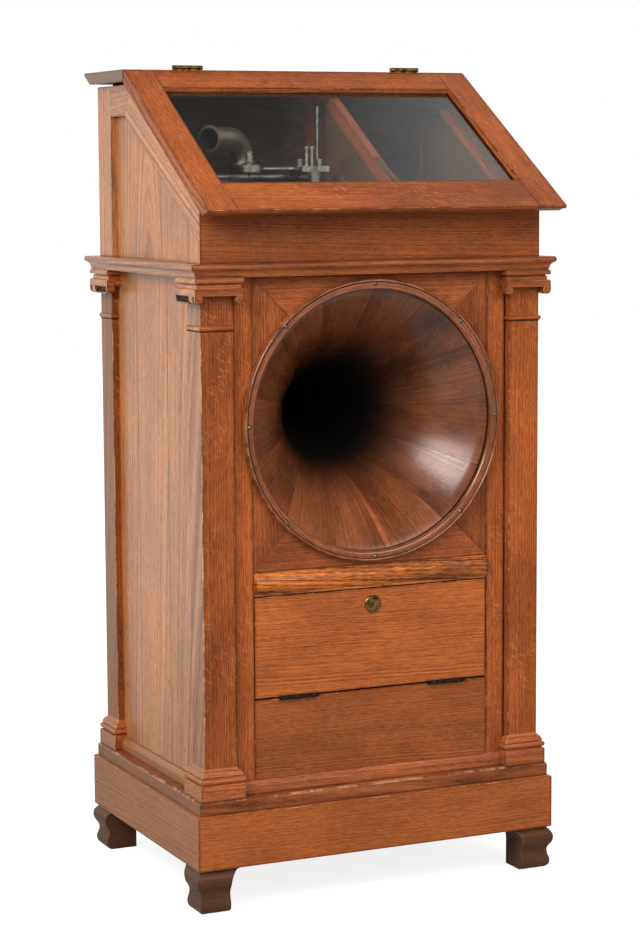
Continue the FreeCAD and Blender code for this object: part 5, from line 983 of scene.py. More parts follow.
# Near-black of the painted shade deep in the horn's throat.
THROAT_SHADE = srgb(20, 17, 15)
FRONT_OAK = WoodFinish(
    "oak_front", dark=srgb(122, 52, 20), light=srgb(194, 104, 46), ray=srgb(214, 134, 72),
    pore=srgb(82, 34, 12), worn=srgb(222, 156, 98), lines=420.0, rays=0.5, contrast=1.2,
    cloud=0.5, wear=0.35)
BOARD_OAK = WoodFinish(
    "oak_horn_boards", dark=srgb(104, 46, 20), light=srgb(178, 96, 46), ray=srgb(196, 120, 66),
    pore=srgb(70, 32, 12), worn=srgb(206, 140, 86), lines=340.0, rays=0.3, contrast=1.1,
    cloud=0.7)
PLAIN_OAK = WoodFinish(
    "oak_plain_sawn", dark=srgb(126, 56, 24), light=srgb(204, 114, 54), ray=srgb(214, 134, 72),
    pore=srgb(92, 42, 16), worn=srgb(222, 156, 98), lines=520.0, arches=0.25, rays=0.2,
    contrast=0.95, cloud=0.35)
# Oak of the sides, paler and yellower than the front's, partly as painted sheen of the light
# glancing off the sides.
SIDE_OAK_WITH_SHEEN = WoodFinish(
    "oak_side_with_sheen", dark=srgb(132, 74, 34), light=srgb(214, 142, 82), ray=srgb(218, 156, 104),
    pore=srgb(112, 64, 34), worn=srgb(232, 192, 160), lines=240.0, arches=0.5, rays=0.1,
    contrast=1.2, cloud=0.5, roughness=0.36, gloss=0.68, coat=0.08, bump=0.00004)
# Oak of the skirt's sides, the plinth blocks' and bottom strips' sides, the floor board's ends and
# the rear posts' sides, paler and browner than the front's, partly as painted sheen.
SKIRT_OAK_WITH_SHEEN = WoodFinish(
    "oak_skirt_side_with_sheen", dark=srgb(134, 80, 42), light=srgb(176, 114, 64), ray=srgb(184, 126, 80),
    pore=srgb(92, 54, 30), worn=srgb(214, 168, 126), lines=330.0, arches=0.3, rays=0.1,
    contrast=0.8, cloud=0.3, roughness=0.4, gloss=0.36, bump=0.00006)
END_OAK = WoodFinish(
    "oak_end", dark=srgb(92, 66, 48), light=srgb(138, 102, 76), ray=srgb(150, 114, 88),
    pore=srgb(60, 42, 30), worn=srgb(190, 160, 134), lines=420.0, rays=0.0, contrast=1.2,
    roughness=0.42, gloss=0.6)
RAIL_OAK = WoodFinish(
    "oak_head_rail", dark=srgb(74, 28, 8), light=srgb(214, 118, 48), ray=srgb(216, 136, 70),
    pore=srgb(40, 18, 8), worn=srgb(224, 150, 84), lines=170.0, arches=0.8, rays=0.2,
    contrast=1.5, cloud=0.9, dirt_and_shade=0.95, roughness=0.36, coat=0.2)
MOULDING_OAK = WoodFinish(
    "oak_moulding", dark=srgb(122, 58, 26), light=srgb(180, 100, 52), ray=srgb(196, 122, 74),
    pore=srgb(58, 28, 12), worn=srgb(220, 164, 116), lines=330.0, arches=0.3, rays=0.2,
    contrast=1.2, cloud=0.6, wear=0.45, roughness=0.38, coat=0.12)
FOOT_OAK = WoodFinish(
    "oak_dark", dark=srgb(70, 42, 26), light=srgb(102, 66, 44), ray=srgb(108, 74, 54),
    pore=srgb(58, 36, 24), worn=srgb(140, 102, 76), lines=260.0, rays=0.1, contrast=0.5,
    cloud=0.25, wear=0.4, dirt_and_shade=0.4, roughness=0.4, gloss=0.16, coat=0.06, bump=0.00005)
# Very dark oak: the dark joints under the collars and in the open mitres, and painted shade in the
# capitals' recesses, behind the gaps beside the posts and in the ring's groove and inner edge.
DARK_JOINT_AND_SHADE_OAK = WoodFinish(
    "oak_dark_joint_and_shade", dark=srgb(38, 19, 10), light=srgb(64, 34, 18), ray=srgb(64, 34, 18),
    pore=srgb(24, 13, 8), worn=srgb(100, 58, 32), rays=0.0, roughness=0.6, coat=0.0)
# Horn wood: towards the throat it fades into painted shade.
HORN_WOOD = WoodFinish(
    "horn_wood", dark=srgb(98, 48, 22), light=srgb(142, 78, 42), ray=srgb(178, 106, 62),
    pore=srgb(58, 28, 14), worn=srgb(130, 72, 40), lines=230.0, rays=0.4, contrast=0.9,
    cloud=0.9, wear=0.1, dirt_and_shade=0.45, roughness=0.28, gloss=0.45, coat=0.4, bump=0.00006,
    reach=0.0014, throat_shade=(0.10, 0.36))
RING_WOOD = WoodFinish(
    "ring_wood", dark=srgb(84, 38, 14), light=srgb(172, 92, 40), ray=srgb(176, 104, 60),
    pore=srgb(36, 16, 8), worn=srgb(214, 150, 96), lines=260.0, rays=0.1, contrast=1.5,
    cloud=0.8, wear=0.2, dirt_and_shade=0.9, roughness=0.24, gloss=0.5, coat=0.75)
# Dark stain for the inside of the case, partly painted shade of its closed interior: the inner
# faces of the music case, the partition's sunk boards, the strips under the glass, the deck board
# and the cash shelf.
INNER_STAIN_AND_SHADE = WoodFinish(
    "inner_wood", dark=srgb(66, 42, 28), light=srgb(98, 66, 44), ray=srgb(104, 72, 50),
    pore=srgb(38, 24, 16), worn=srgb(120, 86, 60), lines=230.0, arches=0.8, rays=0.1,
    wear=0.2, dirt_and_shade=0.4, roughness=0.65, coat=0.0)
PARTITION_OAK = WoodFinish(
    "oak_partition", dark=srgb(112, 50, 26), light=srgb(150, 76, 44), ray=srgb(160, 88, 56),
    pore=srgb(56, 26, 16), worn=srgb(180, 110, 70), lines=260.0, arches=0.6, rays=0.2)
BRASS = MetalFinish("brass", base=srgb(196, 156, 86), aged=srgb(98, 72, 40), roughness=0.28,
                    tarnish=0.75)
LOCK_BRASS = MetalFinish("lock_brass", base=srgb(158, 124, 70), aged=srgb(74, 56, 34),
                         roughness=0.32, tarnish=0.95, scale=110.0)
IRON = MetalFinish("iron", base=srgb(58, 52, 48), aged=srgb(30, 24, 20), metallic=0.85,
                   roughness=0.45, aged_roughness=0.75, tarnish=0.9, scale=120.0)
STEEL = MetalFinish("steel", base=srgb(150, 150, 148), aged=srgb(92, 88, 82), roughness=0.28,
                    tarnish=0.6)
NICKEL = MetalFinish("nickel", base=srgb(170, 162, 150), aged=srgb(92, 84, 74), roughness=0.22,
                     aged_roughness=0.45, tarnish=0.75, scale=60.0)
AGED_NICKEL = MetalFinish("nickel_aged", base=srgb(186, 176, 158), aged=srgb(122, 110, 92),
                          roughness=0.34, aged_roughness=0.5, tarnish=0.5, scale=30.0)
# Flat black paint on the horn's neck, partly painted shade of the dark throat.
NECK_PAINT_AND_SHADE = MetalFinish("neck_paint_and_shade", base=srgb(10, 9, 8), aged=srgb(15, 13, 11), metallic=0.0,
                         roughness=0.9, aged_roughness=1.0, gloss=0.0)
BLACK_PAINT = MetalFinish("black_paint", base=srgb(26, 25, 25), aged=srgb(52, 48, 44),
                          metallic=0.0, roughness=0.28, aged_roughness=0.6, tarnish=0.5, coat=0.5)
TIN = MetalFinish("tin", base=srgb(168, 166, 160), aged=srgb(110, 104, 94), roughness=0.38,
                  tarnish=0.7, scale=45.0)
WAX = MetalFinish("record_wax", base=srgb(34, 26, 24), aged=srgb(54, 42, 38), metallic=0.0,
                  roughness=0.3, aged_roughness=0.5, tarnish=0.6, coat=0.4)
BELT = MetalFinish("belt_leather", base=srgb(96, 60, 36), aged=srgb(52, 32, 20), metallic=0.0,
                   roughness=0.65, aged_roughness=0.8, tarnish=0.8, scale=90.0)
SCREW_IRON = MetalFinish("screw_iron", base=srgb(150, 136, 120), aged=srgb(66, 52, 42),
                         roughness=0.34, tarnish=0.7, scale=220.0)
GLASS = GlassFinish("lid_glass", tint=srgb(244, 248, 246))


class Palette:
    """Every finish of the object, made once."""

    def __init__(self, groups: Groups) -> None:
        """Start an empty palette on the shared node groups."""
        self.groups = groups
        self.made: dict[str, bpy.types.Material] = {}

    def of(self, *finishes: WoodFinish | MetalFinish | GlassFinish) -> list[bpy.types.Material]:
        """Materials of some finishes, each made once.

        Args:
            finishes: The finishes, in the order of the numbers of a piece's parts.

        Returns:
            Their materials.
        """
        for finish in finishes:
            if finish.name not in self.made:
                self.made[finish.name] = finish.make(self.groups)
        return [self.made[finish.name] for finish in finishes]

    def plain(self, finish: WoodFinish) -> bpy.types.Material:
        """Material of a wood finish, for a solid that doesn't carry its grain.

        Args:
            finish: The finish.

        Returns:
            The material.
        """
        key = finish.name + "_plain"
        if key not in self.made:
            self.made[key] = finish.make(self.groups, carried=False)
        return self.made[key]


@dataclass
class Assembly:
    """Sub-assembly of the phonograph, which takes its finishes from the shared palette."""

    palette: Palette


@dataclass
class Base(Assembly):
    """Bracket feet, skirt, floor board, mouldings and plinth blocks."""

    foot_height: float = 80.0
    foot_reach: Point = (363.0, 272.0)  # How far the feet reach from the middle, across and deep
    # Height and how far the outside of a foot draws back there
    foot_back: tuple[Point, ...] = (
        (0, 14.0), (2, 9.5), (5, 6.6), (10, 5.0), (15, 4.6), (20, 5.6), (26, 7.8), (32, 8.9),
        (37, 8.6), (42, 6.6), (47, 3.2), (52, 0.9), (57, 0.0), (62, 0.0), (66, 0.8), (70, 3.0),
        (73, 5.6), (76, 8.4), (80, 10.0))
    leg: float = 66.0  # Width of a foot at the floor
    flare: float = 28.0  # How far its inner side flares at the top
    skirt: Point = (360.0, 270.0)  # Half width and half depth of the skirt
    skirt_wall: float = 22.0
    floor: Point = (353.5, 262.5)  # Half width and half depth of the floor board
    floor_round: float = 5.0
    block_low: Point = (264.0, 177.0)  # Inner faces of the plinth blocks, across and deep
    block_high: Point = (350.0, 261.0)  # Their outer faces
    # Height in a block and how far its profile draws back there
    block_back: tuple[Point, ...] = (
        (ON_FLOOR, 0.0), (228.6, 0.0), (230.2, 0.6), (230.8, 2.2), (231.0, 4.4),
        (233.0, 4.4), (233.6, 2.2), (235.4, 0.5), (238.0, 0.0), (240.6, 0.5), (242.4, 2.0),
        (242.8, 4.6), (244.4, 4.8), (245.0, 3.4), (248.0, 4.0), (252.0, 6.4), (254.5, 9.2),
        (257.0, 11.2), (260.0, 12.0))
    strip_top: float = 228.0
    strip_side: float = 325.0  # Distance of the side strips' rear from the middle
    # How far a strip stands out, and how far below its top
    strip_back: tuple[Point, ...] = ((-10.0, 9.0), (-8.2, 7.5), (-6.6, 6.4), (-5.4, 4.4),
                                     (-4.6, 1.6), (-3.2, 0.2), (0.0, 0.0))

    def foot(self, corner: Corner) -> Stick:
        """One ogee bracket foot.

        Args:
            corner: Corner that it stands at.

        Returns:
            The foot.
        """
        rings = []
        for z, back in self.foot_back:
            above = max(0.0, z - (self.foot_height - self.flare))
            inner = self.leg + (self.flare - math.sqrt(self.flare ** 2 - above ** 2))
            rings.append((*corner.across(self.foot_reach[0] - back, self.foot_reach[0] - inner),
                          *corner.deep(self.foot_reach[1] - back, self.foot_reach[1] - inner), z))
        return stack(rings, 1.6)

    def strip(self) -> list[Stick]:
        """Moulding strips over the joint of the floor board.

        Returns:
            The strip at the front, on the left and on the right.
        """
        shape = ((0.0, ON_FLOOR), (self.strip_back[0][0], ON_FLOOR),
                 *((out, self.strip_top - below) for out, below in self.strip_back))
        front = [(FRONT_FACE + out, z) for out, z in shape]
        made = [prism(front, "x", -self.block_low[0] - 2, self.block_low[0] + 2, 0.3)]
        for side in MIRROR:
            section = [(side * (self.strip_side - out), z) for out, z in shape]
            made.append(prism(section, "y", -self.block_low[1] - 2, self.block_low[1] + 2, 0.3))
        return made

    def plinth(self, corner: Corner) -> Stick:
        """Plinth block and its moulded cap."""
        return stack([(*corner.across(self.block_low[0] + back, self.block_high[0] - back),
                       *corner.deep(self.block_low[1] + back, self.block_high[1] - back), z)
                      for z, back in self.block_back], 1.4)

    def skirt_section(self) -> list[Point]:
        """Section of a skirt board, as distance outwards from its rear and height."""
        low, high, wall = self.foot_height, FLOOR_BOTTOM, self.skirt_wall
        return [(0.0, low), (wall, low), (wall, high - 3.0), (wall - 0.9, high - 0.9),
                (wall - 3.0, high), (0.0, high)]

    def floor_plank(self) -> Stick:
        """Floor board with its upper edge rounded.

        Returns:
            The board.
        """
        x, y = self.floor
        plank = block((-x, -y, FLOOR_BOTTOM + 0.1), (x, y, FLOOR_TOP), 0.0)
        rim = [edge for edge in plank.mesh.edges
               if all(abs(vert.co.z - FLOOR_TOP) < 0.01 for vert in edge.verts)]
        made = rounded(plank.mesh, rim, self.floor_round, 5)
        plank.eased |= {face for face in made if face.normal.z > 0.35}
        return plank

    def build(self) -> None:
        """Make the pieces of the base."""
        oak = self.palette.of(MOULDING_OAK, SKIRT_OAK_WITH_SHEEN)
        feet = Piece("case_feet")
        for corner in CORNERS:
            feet.add(self.foot(corner))
        feet.finish("case", self.palette.of(FOOT_OAK), ["bracket_feet"], "oak_dark")

        skirt = Piece("case_skirt")
        half = tuple(reach - self.skirt_wall for reach in self.skirt)
        for side in Side:
            board = mitred(self.skirt_section(), *half, side).ease(0.7)
            skirt.add(board, side.run(), -0.25 if side.ends() else 0.0, 0 if side.ends() else 1)
        skirt.finish("case", self.palette.of(PLAIN_OAK, SKIRT_OAK_WITH_SHEEN), ["skirt_boards"])

        floor = Piece("case_floor_board")
        floor.add(self.floor_plank().line((-1, 0, 0)).line((1, 0, 0)), Run.X_LEVEL, -0.7)
        floor.finish("case", oak, ["floor_board"])

        strips = Piece("case_bottom_mouldings")
        for part, run, slot in zip(self.strip(), (Run.X_FLAT, Run.Y_FLAT, Run.Y_FLAT), (0, 1, 1)):
            strips.add(part, run, 0.1, slot)
        strips.finish("case", oak, ["bottom_mouldings"])

        blocks = Piece("case_plinth_blocks")
        for corner in CORNERS:
            blocks.add(self.plinth(corner).line((corner.side, 0, 0)), Run.X_FLAT, 0.1)
        blocks.finish("case", oak, ["plinth_blocks"])


@dataclass
class Pilasters(Assembly):
    """Corner posts with their collars and capitals."""

    low: Point = (276.0, 189.0)  # Inner faces of the posts, across and deep
    high: Point = (338.0, 249.0)  # Their outer faces
    collar: Point = (1037.0, 1046.0)  # Bottom and top of the collar bead
    proud: float = 3.0  # How far the bead stands out
    overhang: float = 16.5  # How far a capital reaches past its post
    slab: Point = (1098.0, 1111.0)  # Bottom and top of the slab that the scrolls hang from
    # Height in a capital and how far its profile draws back there
    slab_back: tuple[Point, ...] = (
        (-13.0, 1.2), (-12.1, 0.2), (-1.6, 0.0), (-0.5, 0.6), (0.0, 2.0), (0.3, 5.2), (6.0, 5.0),
        (6.8, 5.6), (7.4, 7.2), (9.2, 7.4), (9.8, 1.4), (10.8, 0.3), (15.4, 0.0), (17.0, 1.2),
        (18.9, 1.8))
    scroll: float = 8.0
    scroll_root: float = 18.0  # How far a scroll reaches back under its slab
    drop: float = 5.0  # How far the scroll's middle lies below the radius under the slab
    pocket: float = 10.2  # Height of the recess between the scrolls of a side, filled with a block of painted shade
    pocket_bar: float = 2.8  # Height of the bar under it
    pocket_face: float = 12.5  # How far the recess stands out from the post
    # Where the front plate and each scroll of a side start and end, from the front
    legs: tuple[Point, ...] = ((0.0, 6.0), (12.0, 29.0), (87.5, 93.5))
    # Tone of the posts on the left and on the right
    tones: dict[int, float] = field(default_factory=lambda: {-1: -0.65, 1: 0.0})

    def collar_bead(self, corner: Corner) -> Stick:
        """Half-round bead round the post.

        Args:
            corner: Corner that the post stands at.

        Returns:
            The bead.
        """
        low, high = self.collar
        rings = []
        for share in (0.0, 0.12, 0.3, 0.5, 0.7, 0.88, 1.0):
            out = self.proud * math.sin(math.pi * share) ** 0.6 if 0 < share < 1 else 0.0
            rings.append((*corner.across(self.low[0] - out, self.high[0] + out),
                          *corner.deep(self.low[1] - out, self.high[1] + out),
                          low + (high - low) * share))
        return stack(rings)

    def collar_line(self, corner: Corner) -> Stick:
        """Dark joint under the collar."""
        x = corner.across(self.low[0] - 0.3, self.high[0] + 0.3)
        y = corner.deep(self.low[1] - 0.3, self.high[1] + 0.3)
        return block((x[0], y[0], self.collar[0] - 1.6), (x[1], y[1], self.collar[0] + 1.0), 0.2, 1)

    def shaft(self, corner: Corner) -> Stick:
        """Post without its collar."""
        x, y = corner.across(self.low[0], self.high[0]), corner.deep(self.low[1], self.high[1])
        return block((x[0], y[0], POST_BOTTOM - 8), (x[1], y[1], CAPITAL_BOTTOM + 2), 1.8, 3)

    def roll(self, edge: float, hand: int) -> list[Point]:
        """Outline of a scroll that hangs under its slab.

        Args:
            edge: Outermost place of the scroll.
            hand: 1 where the scroll is on the right of its capital, and -1 on the left.

        Returns:
            Its corners from the top of the slab round the scroll.
        """
        r, level = self.scroll, self.slab[0] - self.drop
        shape = [(-1.6, self.slab[1] - 0.6), (-0.4, self.slab[1] - 2.4), (0.0, level + r)]
        for step in range(17):
            turn = math.radians(-14.0 * step)
            shape.append((r * (math.cos(turn) - 1.0), level + r * math.sin(turn)))
        return [(edge + hand * out, z) for out, z in shape]

    def scroll_end(self, edge: float, hand: int, low: float, high: float) -> Stick:
        """Scrolled end of a capital.

        Args:
            edge: Outermost place of the scroll.
            hand: 1 where the scroll is on the right of its capital, and -1 on the left.
            low: Front of the scroll.
            high: Back of the scroll.

        Returns:
            The scroll.
        """
        back = edge - hand * self.scroll_root
        outline = [(back, self.slab[0] + 0.8), (back, self.slab[1] - 3.0), *self.roll(edge, hand)]
        return prism(outline, "y", low, high, 0.5, 1, 50.0)

    def front_plate(self, corner: Corner) -> Stick:
        """Rounded front of a capital with a scroll at both ends.

        Args:
            corner: Corner that the capital stands at.

        Returns:
            The plate.
        """
        over = self.overhang
        front = self.high[1] + over
        y = corner.deep(front, front - self.legs[0][1])
        outer = self.roll(corner.side * (self.high[0] + over), corner.side)
        inner = self.roll(corner.side * (self.low[0] - over), -corner.side)
        return prism([*outer, *reversed(inner)], "y", y[0], y[1], 1.7, 3, 50.0)

    def capital(self, corner: Corner) -> list[tuple[Stick, int]]:
        """Capital of one post: moulded slab with scrolled ends.

        Args:
            corner: Corner that it stands at.

        Returns:
            The parts, each with the number of its finish.
        """
        side, over = corner.side, self.overhang
        low, high = self.slab
        rings = []
        for above, back in self.slab_back:
            set_back = back + 0.4 if above < 0 else back
            rings.append((*corner.across(self.low[0] - over + back, self.high[0] + over - back),
                          *corner.deep(self.low[1] - over + back, self.high[1] + over - set_back),
                          high + above))
        parts = [(stack(rings, 0.9), 0), (self.front_plate(corner), 0)]
        front = self.high[1] + over
        plate, near_leg, far_leg = self.legs
        for near, far in (near_leg, far_leg):
            y = corner.deep(front - near, front - far)
            parts.append((self.scroll_end(side * (self.high[0] + over), side, *y), 0))
        y = corner.deep(front - plate[1], self.high[1] + 0.4)
        parts.append((self.scroll_end(side * (self.low[0] - over), -side, *y), 0))
        y = corner.deep(front - near_leg[1], front - far_leg[0])
        # Painted shade: a block in the very dark finish fills the recess under the slab between the
        # scrolls, and a bar in the moulding finish runs under it.
        sill = low - self.pocket
        for inner, outer, bottom, top, slot in (
                (0.2, self.pocket_face, sill, low + 0.5, 2),
                (self.scroll, over - 0.3, sill - self.pocket_bar, sill, 0)):
            x = corner.across(self.high[0] + inner, self.high[0] + outer)
            parts.append((block((x[0], y[0], bottom), (x[1], y[1], top), 0.4, 1), slot))
        return parts

    def build(self) -> None:
        """Make the posts and capitals."""
        for corner in CORNERS:
            piece = Piece("case_post_" + corner.word())
            outwards = (corner.side, 0, 0)
            piece.add(self.shaft(corner).line(outwards), Run.Z_FRONT, self.tones[corner.side])
            piece.add(self.collar_bead(corner).line(outwards), Run.X_FLAT, 0.1)
            piece.add(self.collar_line(corner), slot=2)
            aside = SKIRT_OAK_WITH_SHEEN if corner.end > 0 else SIDE_OAK_WITH_SHEEN
            piece.finish("case", self.palette.of(FRONT_OAK, aside, DARK_JOINT_AND_SHADE_OAK),
                         ["post_" + corner.word()])
        capitals = Piece("case_capitals")
        for corner in CORNERS:
            for part, slot in self.capital(corner):
                if not slot:
                    part.line((corner.side, 0, 0))
                capitals.add(part, slot=slot)
        capitals.finish("case", self.palette.of(MOULDING_OAK, SIDE_OAK_WITH_SHEEN, DARK_JOINT_AND_SHADE_OAK),
                        ["capitals"])


@dataclass
class Cornice(Assembly):
    """Moulded cornice between the lower and the upper case."""

    inner: Point = (302.8, 212.0)  # Half width and half depth of its inner side
    wall: float = 60.0  # Depth of the moulding from its inner side to its nose
    # How far its lower side draws back from the nose, and the height there
    profile: tuple[Point, ...] = (
        (11.0, 0.0), (11.0, 1.6), (9.8, 2.4), (9.6, 4.6), (8.8, 7.6), (7.2, 10.4), (5.0, 12.4),
        (3.4, 13.0), (3.2, 14.0), (1.2, 14.8), (0.2, 16.6), (0.0, 19.0), (0.5, 21.6), (2.2, 24.0))
    worn_above: float = 19.0  # Height in the moulding above which its edges are rubbed

    def section(self) -> list[Point]:
        """Section of the moulding, as distance from its inner side and height."""
        shape = [(self.wall - back, CORNICE_BOTTOM + above) for back, above in self.profile]
        return [(0.0, CORNICE_BOTTOM), *shape, (0.0, WAIST)]

    def build(self) -> None:
        """Make the cornice."""
        piece = Piece("case_cornice")
        for side in Side:
            part = mitred(self.section(), *self.inner, side)
            part.eased |= {face for face in part.mesh.faces
                           if abs(face.normal.z) < 0.9
                           and face.calc_center_median().z > CORNICE_BOTTOM + self.worn_above}
            piece.add(part.ease(0.35, 1, 60.0), side.run(), -0.1, 0 if side.ends() else 1)
        piece.finish("case", self.palette.of(MOULDING_OAK, SIDE_OAK_WITH_SHEEN), ["cornice"])


@dataclass
class LowerCase(Assembly):
    """Panels, stiles, horn boards, head rail, door and lower panel between the posts."""

    panel_face: float = 325.0  # Distance of the side panels' outer face from the middle
    panel_wall: float = 18.0
    half_run: float = 189.0  # Half their depth between the posts
    # Joints of the left and of the right panel
    side_joints: tuple[Point, Point] = ((-58.0, 92.0), (-70.0, 64.0))
    side_tones: Spot = (0.0, 0.18, -0.06)
    inner: float = 236.0  # Half width between the stiles
    stile: Point = (236.0, 272.0)  # Inner and outer edge of a stile
    post: float = 276.0  # Distance of the posts from the middle
    groove: float = 20.0  # Width of the board behind the gap beside a post, painted dark as the shade in the gap
    hole: float = 247.0  # Radius of the hole for the horn
    gap: Point = (0.2, 0.8)  # Half width of an open mitre at its outer and at its inner end
    rail: Point = (560.0, 603.0)  # Bottom and top of the head rail
    swell: float = 8.0  # How far the head rail swells out
    door: Spot = (234.0, 375.0, 558.0)  # Half width, bottom and top of the door
    panel_top: float = 371.6
    back: Point = (225.0, 237.0)  # Front and rear face of the back panel
    back_joints: Point = (-112.0, 70.0)
    back_tones: Spot = (0.1, -0.1, 0.05)
    # Place of the winding hole, as distance behind the middle and height
    winding_hole: Point = (45.0, 1090.0)
    winding_radius: float = 14.0
    lock_level: float = 530.0
    lock_radius: float = 13.0

    def boards(self, low: Spot, high: Spot, joints: Sequence[float], axis: int,
               ease: float) -> list[Stick]:
        """Panel glued up from several boards.

        Args:
            low: Lowest corner.
            high: Highest corner.
            joints: Places of the joints on the axis.
            axis: Axis that the joints divide.
            ease: Rounding of the edges.

        Returns:
            The boards.
        """
        places = [low[axis], *joints, high[axis]]
        parts = []
        for start, end in zip(places, places[1:]):
            one, two = list(low), list(high)
            one[axis], two[axis] = start, end
            parts.append(block(tuple(one), tuple(two), ease, 1))
        return parts

    def arc(self, start: float, end: float, steps: int) -> list[Point]:
        """Points round the horn's hole between two angles."""
        turns = [start + (end - start) * index / steps for index in range(steps + 1)]
        return [(self.hole * math.cos(turn), HORN_LEVEL + self.hole * math.sin(turn))
                for turn in turns]

    def mitre_level(self, up: int) -> float:
        """Height of the outer end of the upper (1) or the lower (-1) mitres."""
        return CORNICE_BOTTOM if up > 0 else self.rail[1]

    def mitre_turn(self, up: int) -> float:
        """Angle at which a mitre meets the horn's hole.

        Args:
            up: 1 for the upper mitres and -1 for the lower ones.

        Returns:
            The angle above or below the level through the horn's middle, in radians.
        """
        gap = abs(self.mitre_level(up) - HORN_LEVEL)
        return next(angle / 2000 for angle in range(3200)
                    if gap - self.hole * math.sin(angle / 2000)
                    <= self.inner - self.hole * math.cos(angle / 2000))

    def open_mitre(self, up: int) -> Stick:
        """Dark gap of a mitre that has opened.

        Args:
            up: 1 for the mitre at the upper left and -1 for the one at the lower right.

        Returns:
            The gap, as a thin dark wedge.
        """
        turn = self.mitre_turn(up)
        start = Vector((-up * self.inner, self.mitre_level(up)))
        end = Vector((-up * self.hole * math.cos(turn),
                      HORN_LEVEL + up * self.hole * math.sin(turn)))
        across = (end - start).orthogonal().normalized()
        outer, inner = (across * width for width in self.gap)
        corners = [start - outer, end - inner, end + inner, start + outer]
        return prism([tuple(corner) for corner in corners], "y", FRONT_FACE - 0.12,
                     FRONT_FACE + 1.0, 0.0)

    def horn_boards(self) -> list[tuple[Stick, Run, float]]:
        """Four mitred boards round the horn's mouth.

        Returns:
            Each part with the run and the tone of its grain. The side boards come in two parts.
        """
        made = []
        rim = math.acos(self.inner / self.hole)
        for up in (1, -1):
            level, turn = self.mitre_level(up), self.mitre_turn(up)
            wide = [(x, HORN_LEVEL + up * abs(z - HORN_LEVEL))
                    for x, z in self.arc(turn, math.pi - turn, 48)]
            outline = [(self.inner, level), *wide, (-self.inner, level)]
            made.append((prism(outline, "y", FRONT_FACE, FRONT_REAR, 0.5, 1, 60.0),
                         Run.X_FLAT, 0.0))
            for side in MIRROR:
                curve = [(side * x, HORN_LEVEL + up * (z - HORN_LEVEL))
                         for x, z in self.arc(rim, turn, 20)]
                outline = [*curve, (side * self.inner, level)]
                made.append((prism(outline, "y", FRONT_FACE, FRONT_REAR, 0.5, 1, 60.0),
                             Run.Z_FRONT, -0.1 if side < 0 else -0.25))
        return made

    def head_rail(self) -> Stick:
        """Rounded rail over the door.

        Returns:
            The rail.
        """
        low, high = self.rail
        middle = (low + high) / 2
        rise = (high - low) / 2 - 4
        radius = (rise ** 2 + self.swell ** 2) / (2 * self.swell)
        half_turn = math.asin(rise / radius)
        face = []
        for index in range(13):
            turn = -half_turn + 2 * half_turn * index / 12
            face.append((FRONT_FACE - self.swell + radius * (1 - math.cos(turn)),
                         middle + radius * math.sin(turn)))
        outline = [(FRONT_REAR, low + 0.3), (FRONT_FACE, low + 0.3), *face,
                   (FRONT_FACE, high - 0.3), (FRONT_REAR, high - 0.3)]
        return prism(outline, "x", -self.inner + 0.4, self.inner - 0.4, 0.6, 2, 35.0)

    def build_sides(self) -> None:
        """Make the side panels and the back."""
        bottom, top = ON_FLOOR, CORNICE_BOTTOM + 2
        for side, where, joints in zip(MIRROR, ("left", "right"), self.side_joints):
            x = spread(side, self.panel_face, self.panel_face - self.panel_wall)
            piece = Piece("case_side_panel_" + where)
            boards = self.boards((x[0], -self.half_run - 3, bottom),
                                 (x[1], self.half_run + 3, top), joints, 1, 0.25)
            if side > 0:
                boards[1].mesh.free()
                low, high = joints
                board = [(low, bottom), (high, bottom), (high, top), (low, top)]
                boards[1] = prism(board, "x", x[0], x[1], 0.25, 1, 60.0,
                                  [round_hole(self.winding_hole, self.winding_radius)])
            for board, tone in zip(boards, self.side_tones):
                piece.add(board, Run.Z_SIDE, tone)
            piece.finish("case", self.palette.of(SIDE_OAK_WITH_SHEEN), ["side_panel_" + where])

        back = Piece("case_back")
        boards = self.boards((-self.post, self.back[0], bottom),
                             (self.post, self.back[1], CORNICE_BOTTOM), self.back_joints, 0, 1.2)
        for board, tone in zip(boards, self.back_tones):
            back.add(board, Run.Z_FRONT, tone)
        back.finish("case", self.palette.of(PLAIN_OAK), ["back_panel"])

    def build_front(self) -> None:
        """Make the stiles, horn boards, head rail and lower panel."""
        stiles = Piece("case_front_stiles")
        for side in MIRROR:
            x = spread(side, self.stile[0], self.stile[1])
            stiles.add(block((x[0], FRONT_FACE, ON_FLOOR), (x[1], FRONT_REAR,
                             CORNICE_BOTTOM + 1), 0.9), Run.Z_FRONT, -0.05 - 0.1 * side)
            # Painted shade: a board in the very dark finish fills the back of the gap beside each
            # post.
            groove = spread(side, self.stile[1] - self.groove, self.post)
            stiles.add(block((groove[0], FRONT_REAR + 0.2, ON_FLOOR),
                             (groove[1], FRONT_REAR + 12, CORNICE_BOTTOM)), Run.Z_FRONT, 0.0, 1)
        stiles.finish("case", self.palette.of(FRONT_OAK, DARK_JOINT_AND_SHADE_OAK), ["front_stiles"])

        boards = Piece("case_horn_boards")
        for part, run, tone in self.horn_boards():
            boards.add(part, run, tone)
        for up in MIRROR:
            boards.add(self.open_mitre(up), slot=1)
        boards.finish("case", self.palette.of(BOARD_OAK, DARK_JOINT_AND_SHADE_OAK), ["horn_boards"])

        rail = Piece("case_head_rail")
        rail.add(self.head_rail())
        rail.finish("case", self.palette.of(RAIL_OAK), ["head_rail"])

        panel = Piece("case_lower_panel")
        panel.add(block((-self.inner + 0.6, FRONT_FACE, ON_FLOOR),
                        (self.inner - 0.6, FRONT_REAR, self.panel_top), 1.3), Run.X_FLAT, -0.6)
        panel.finish("case", self.palette.of(PLAIN_OAK), ["lower_front_panel"])

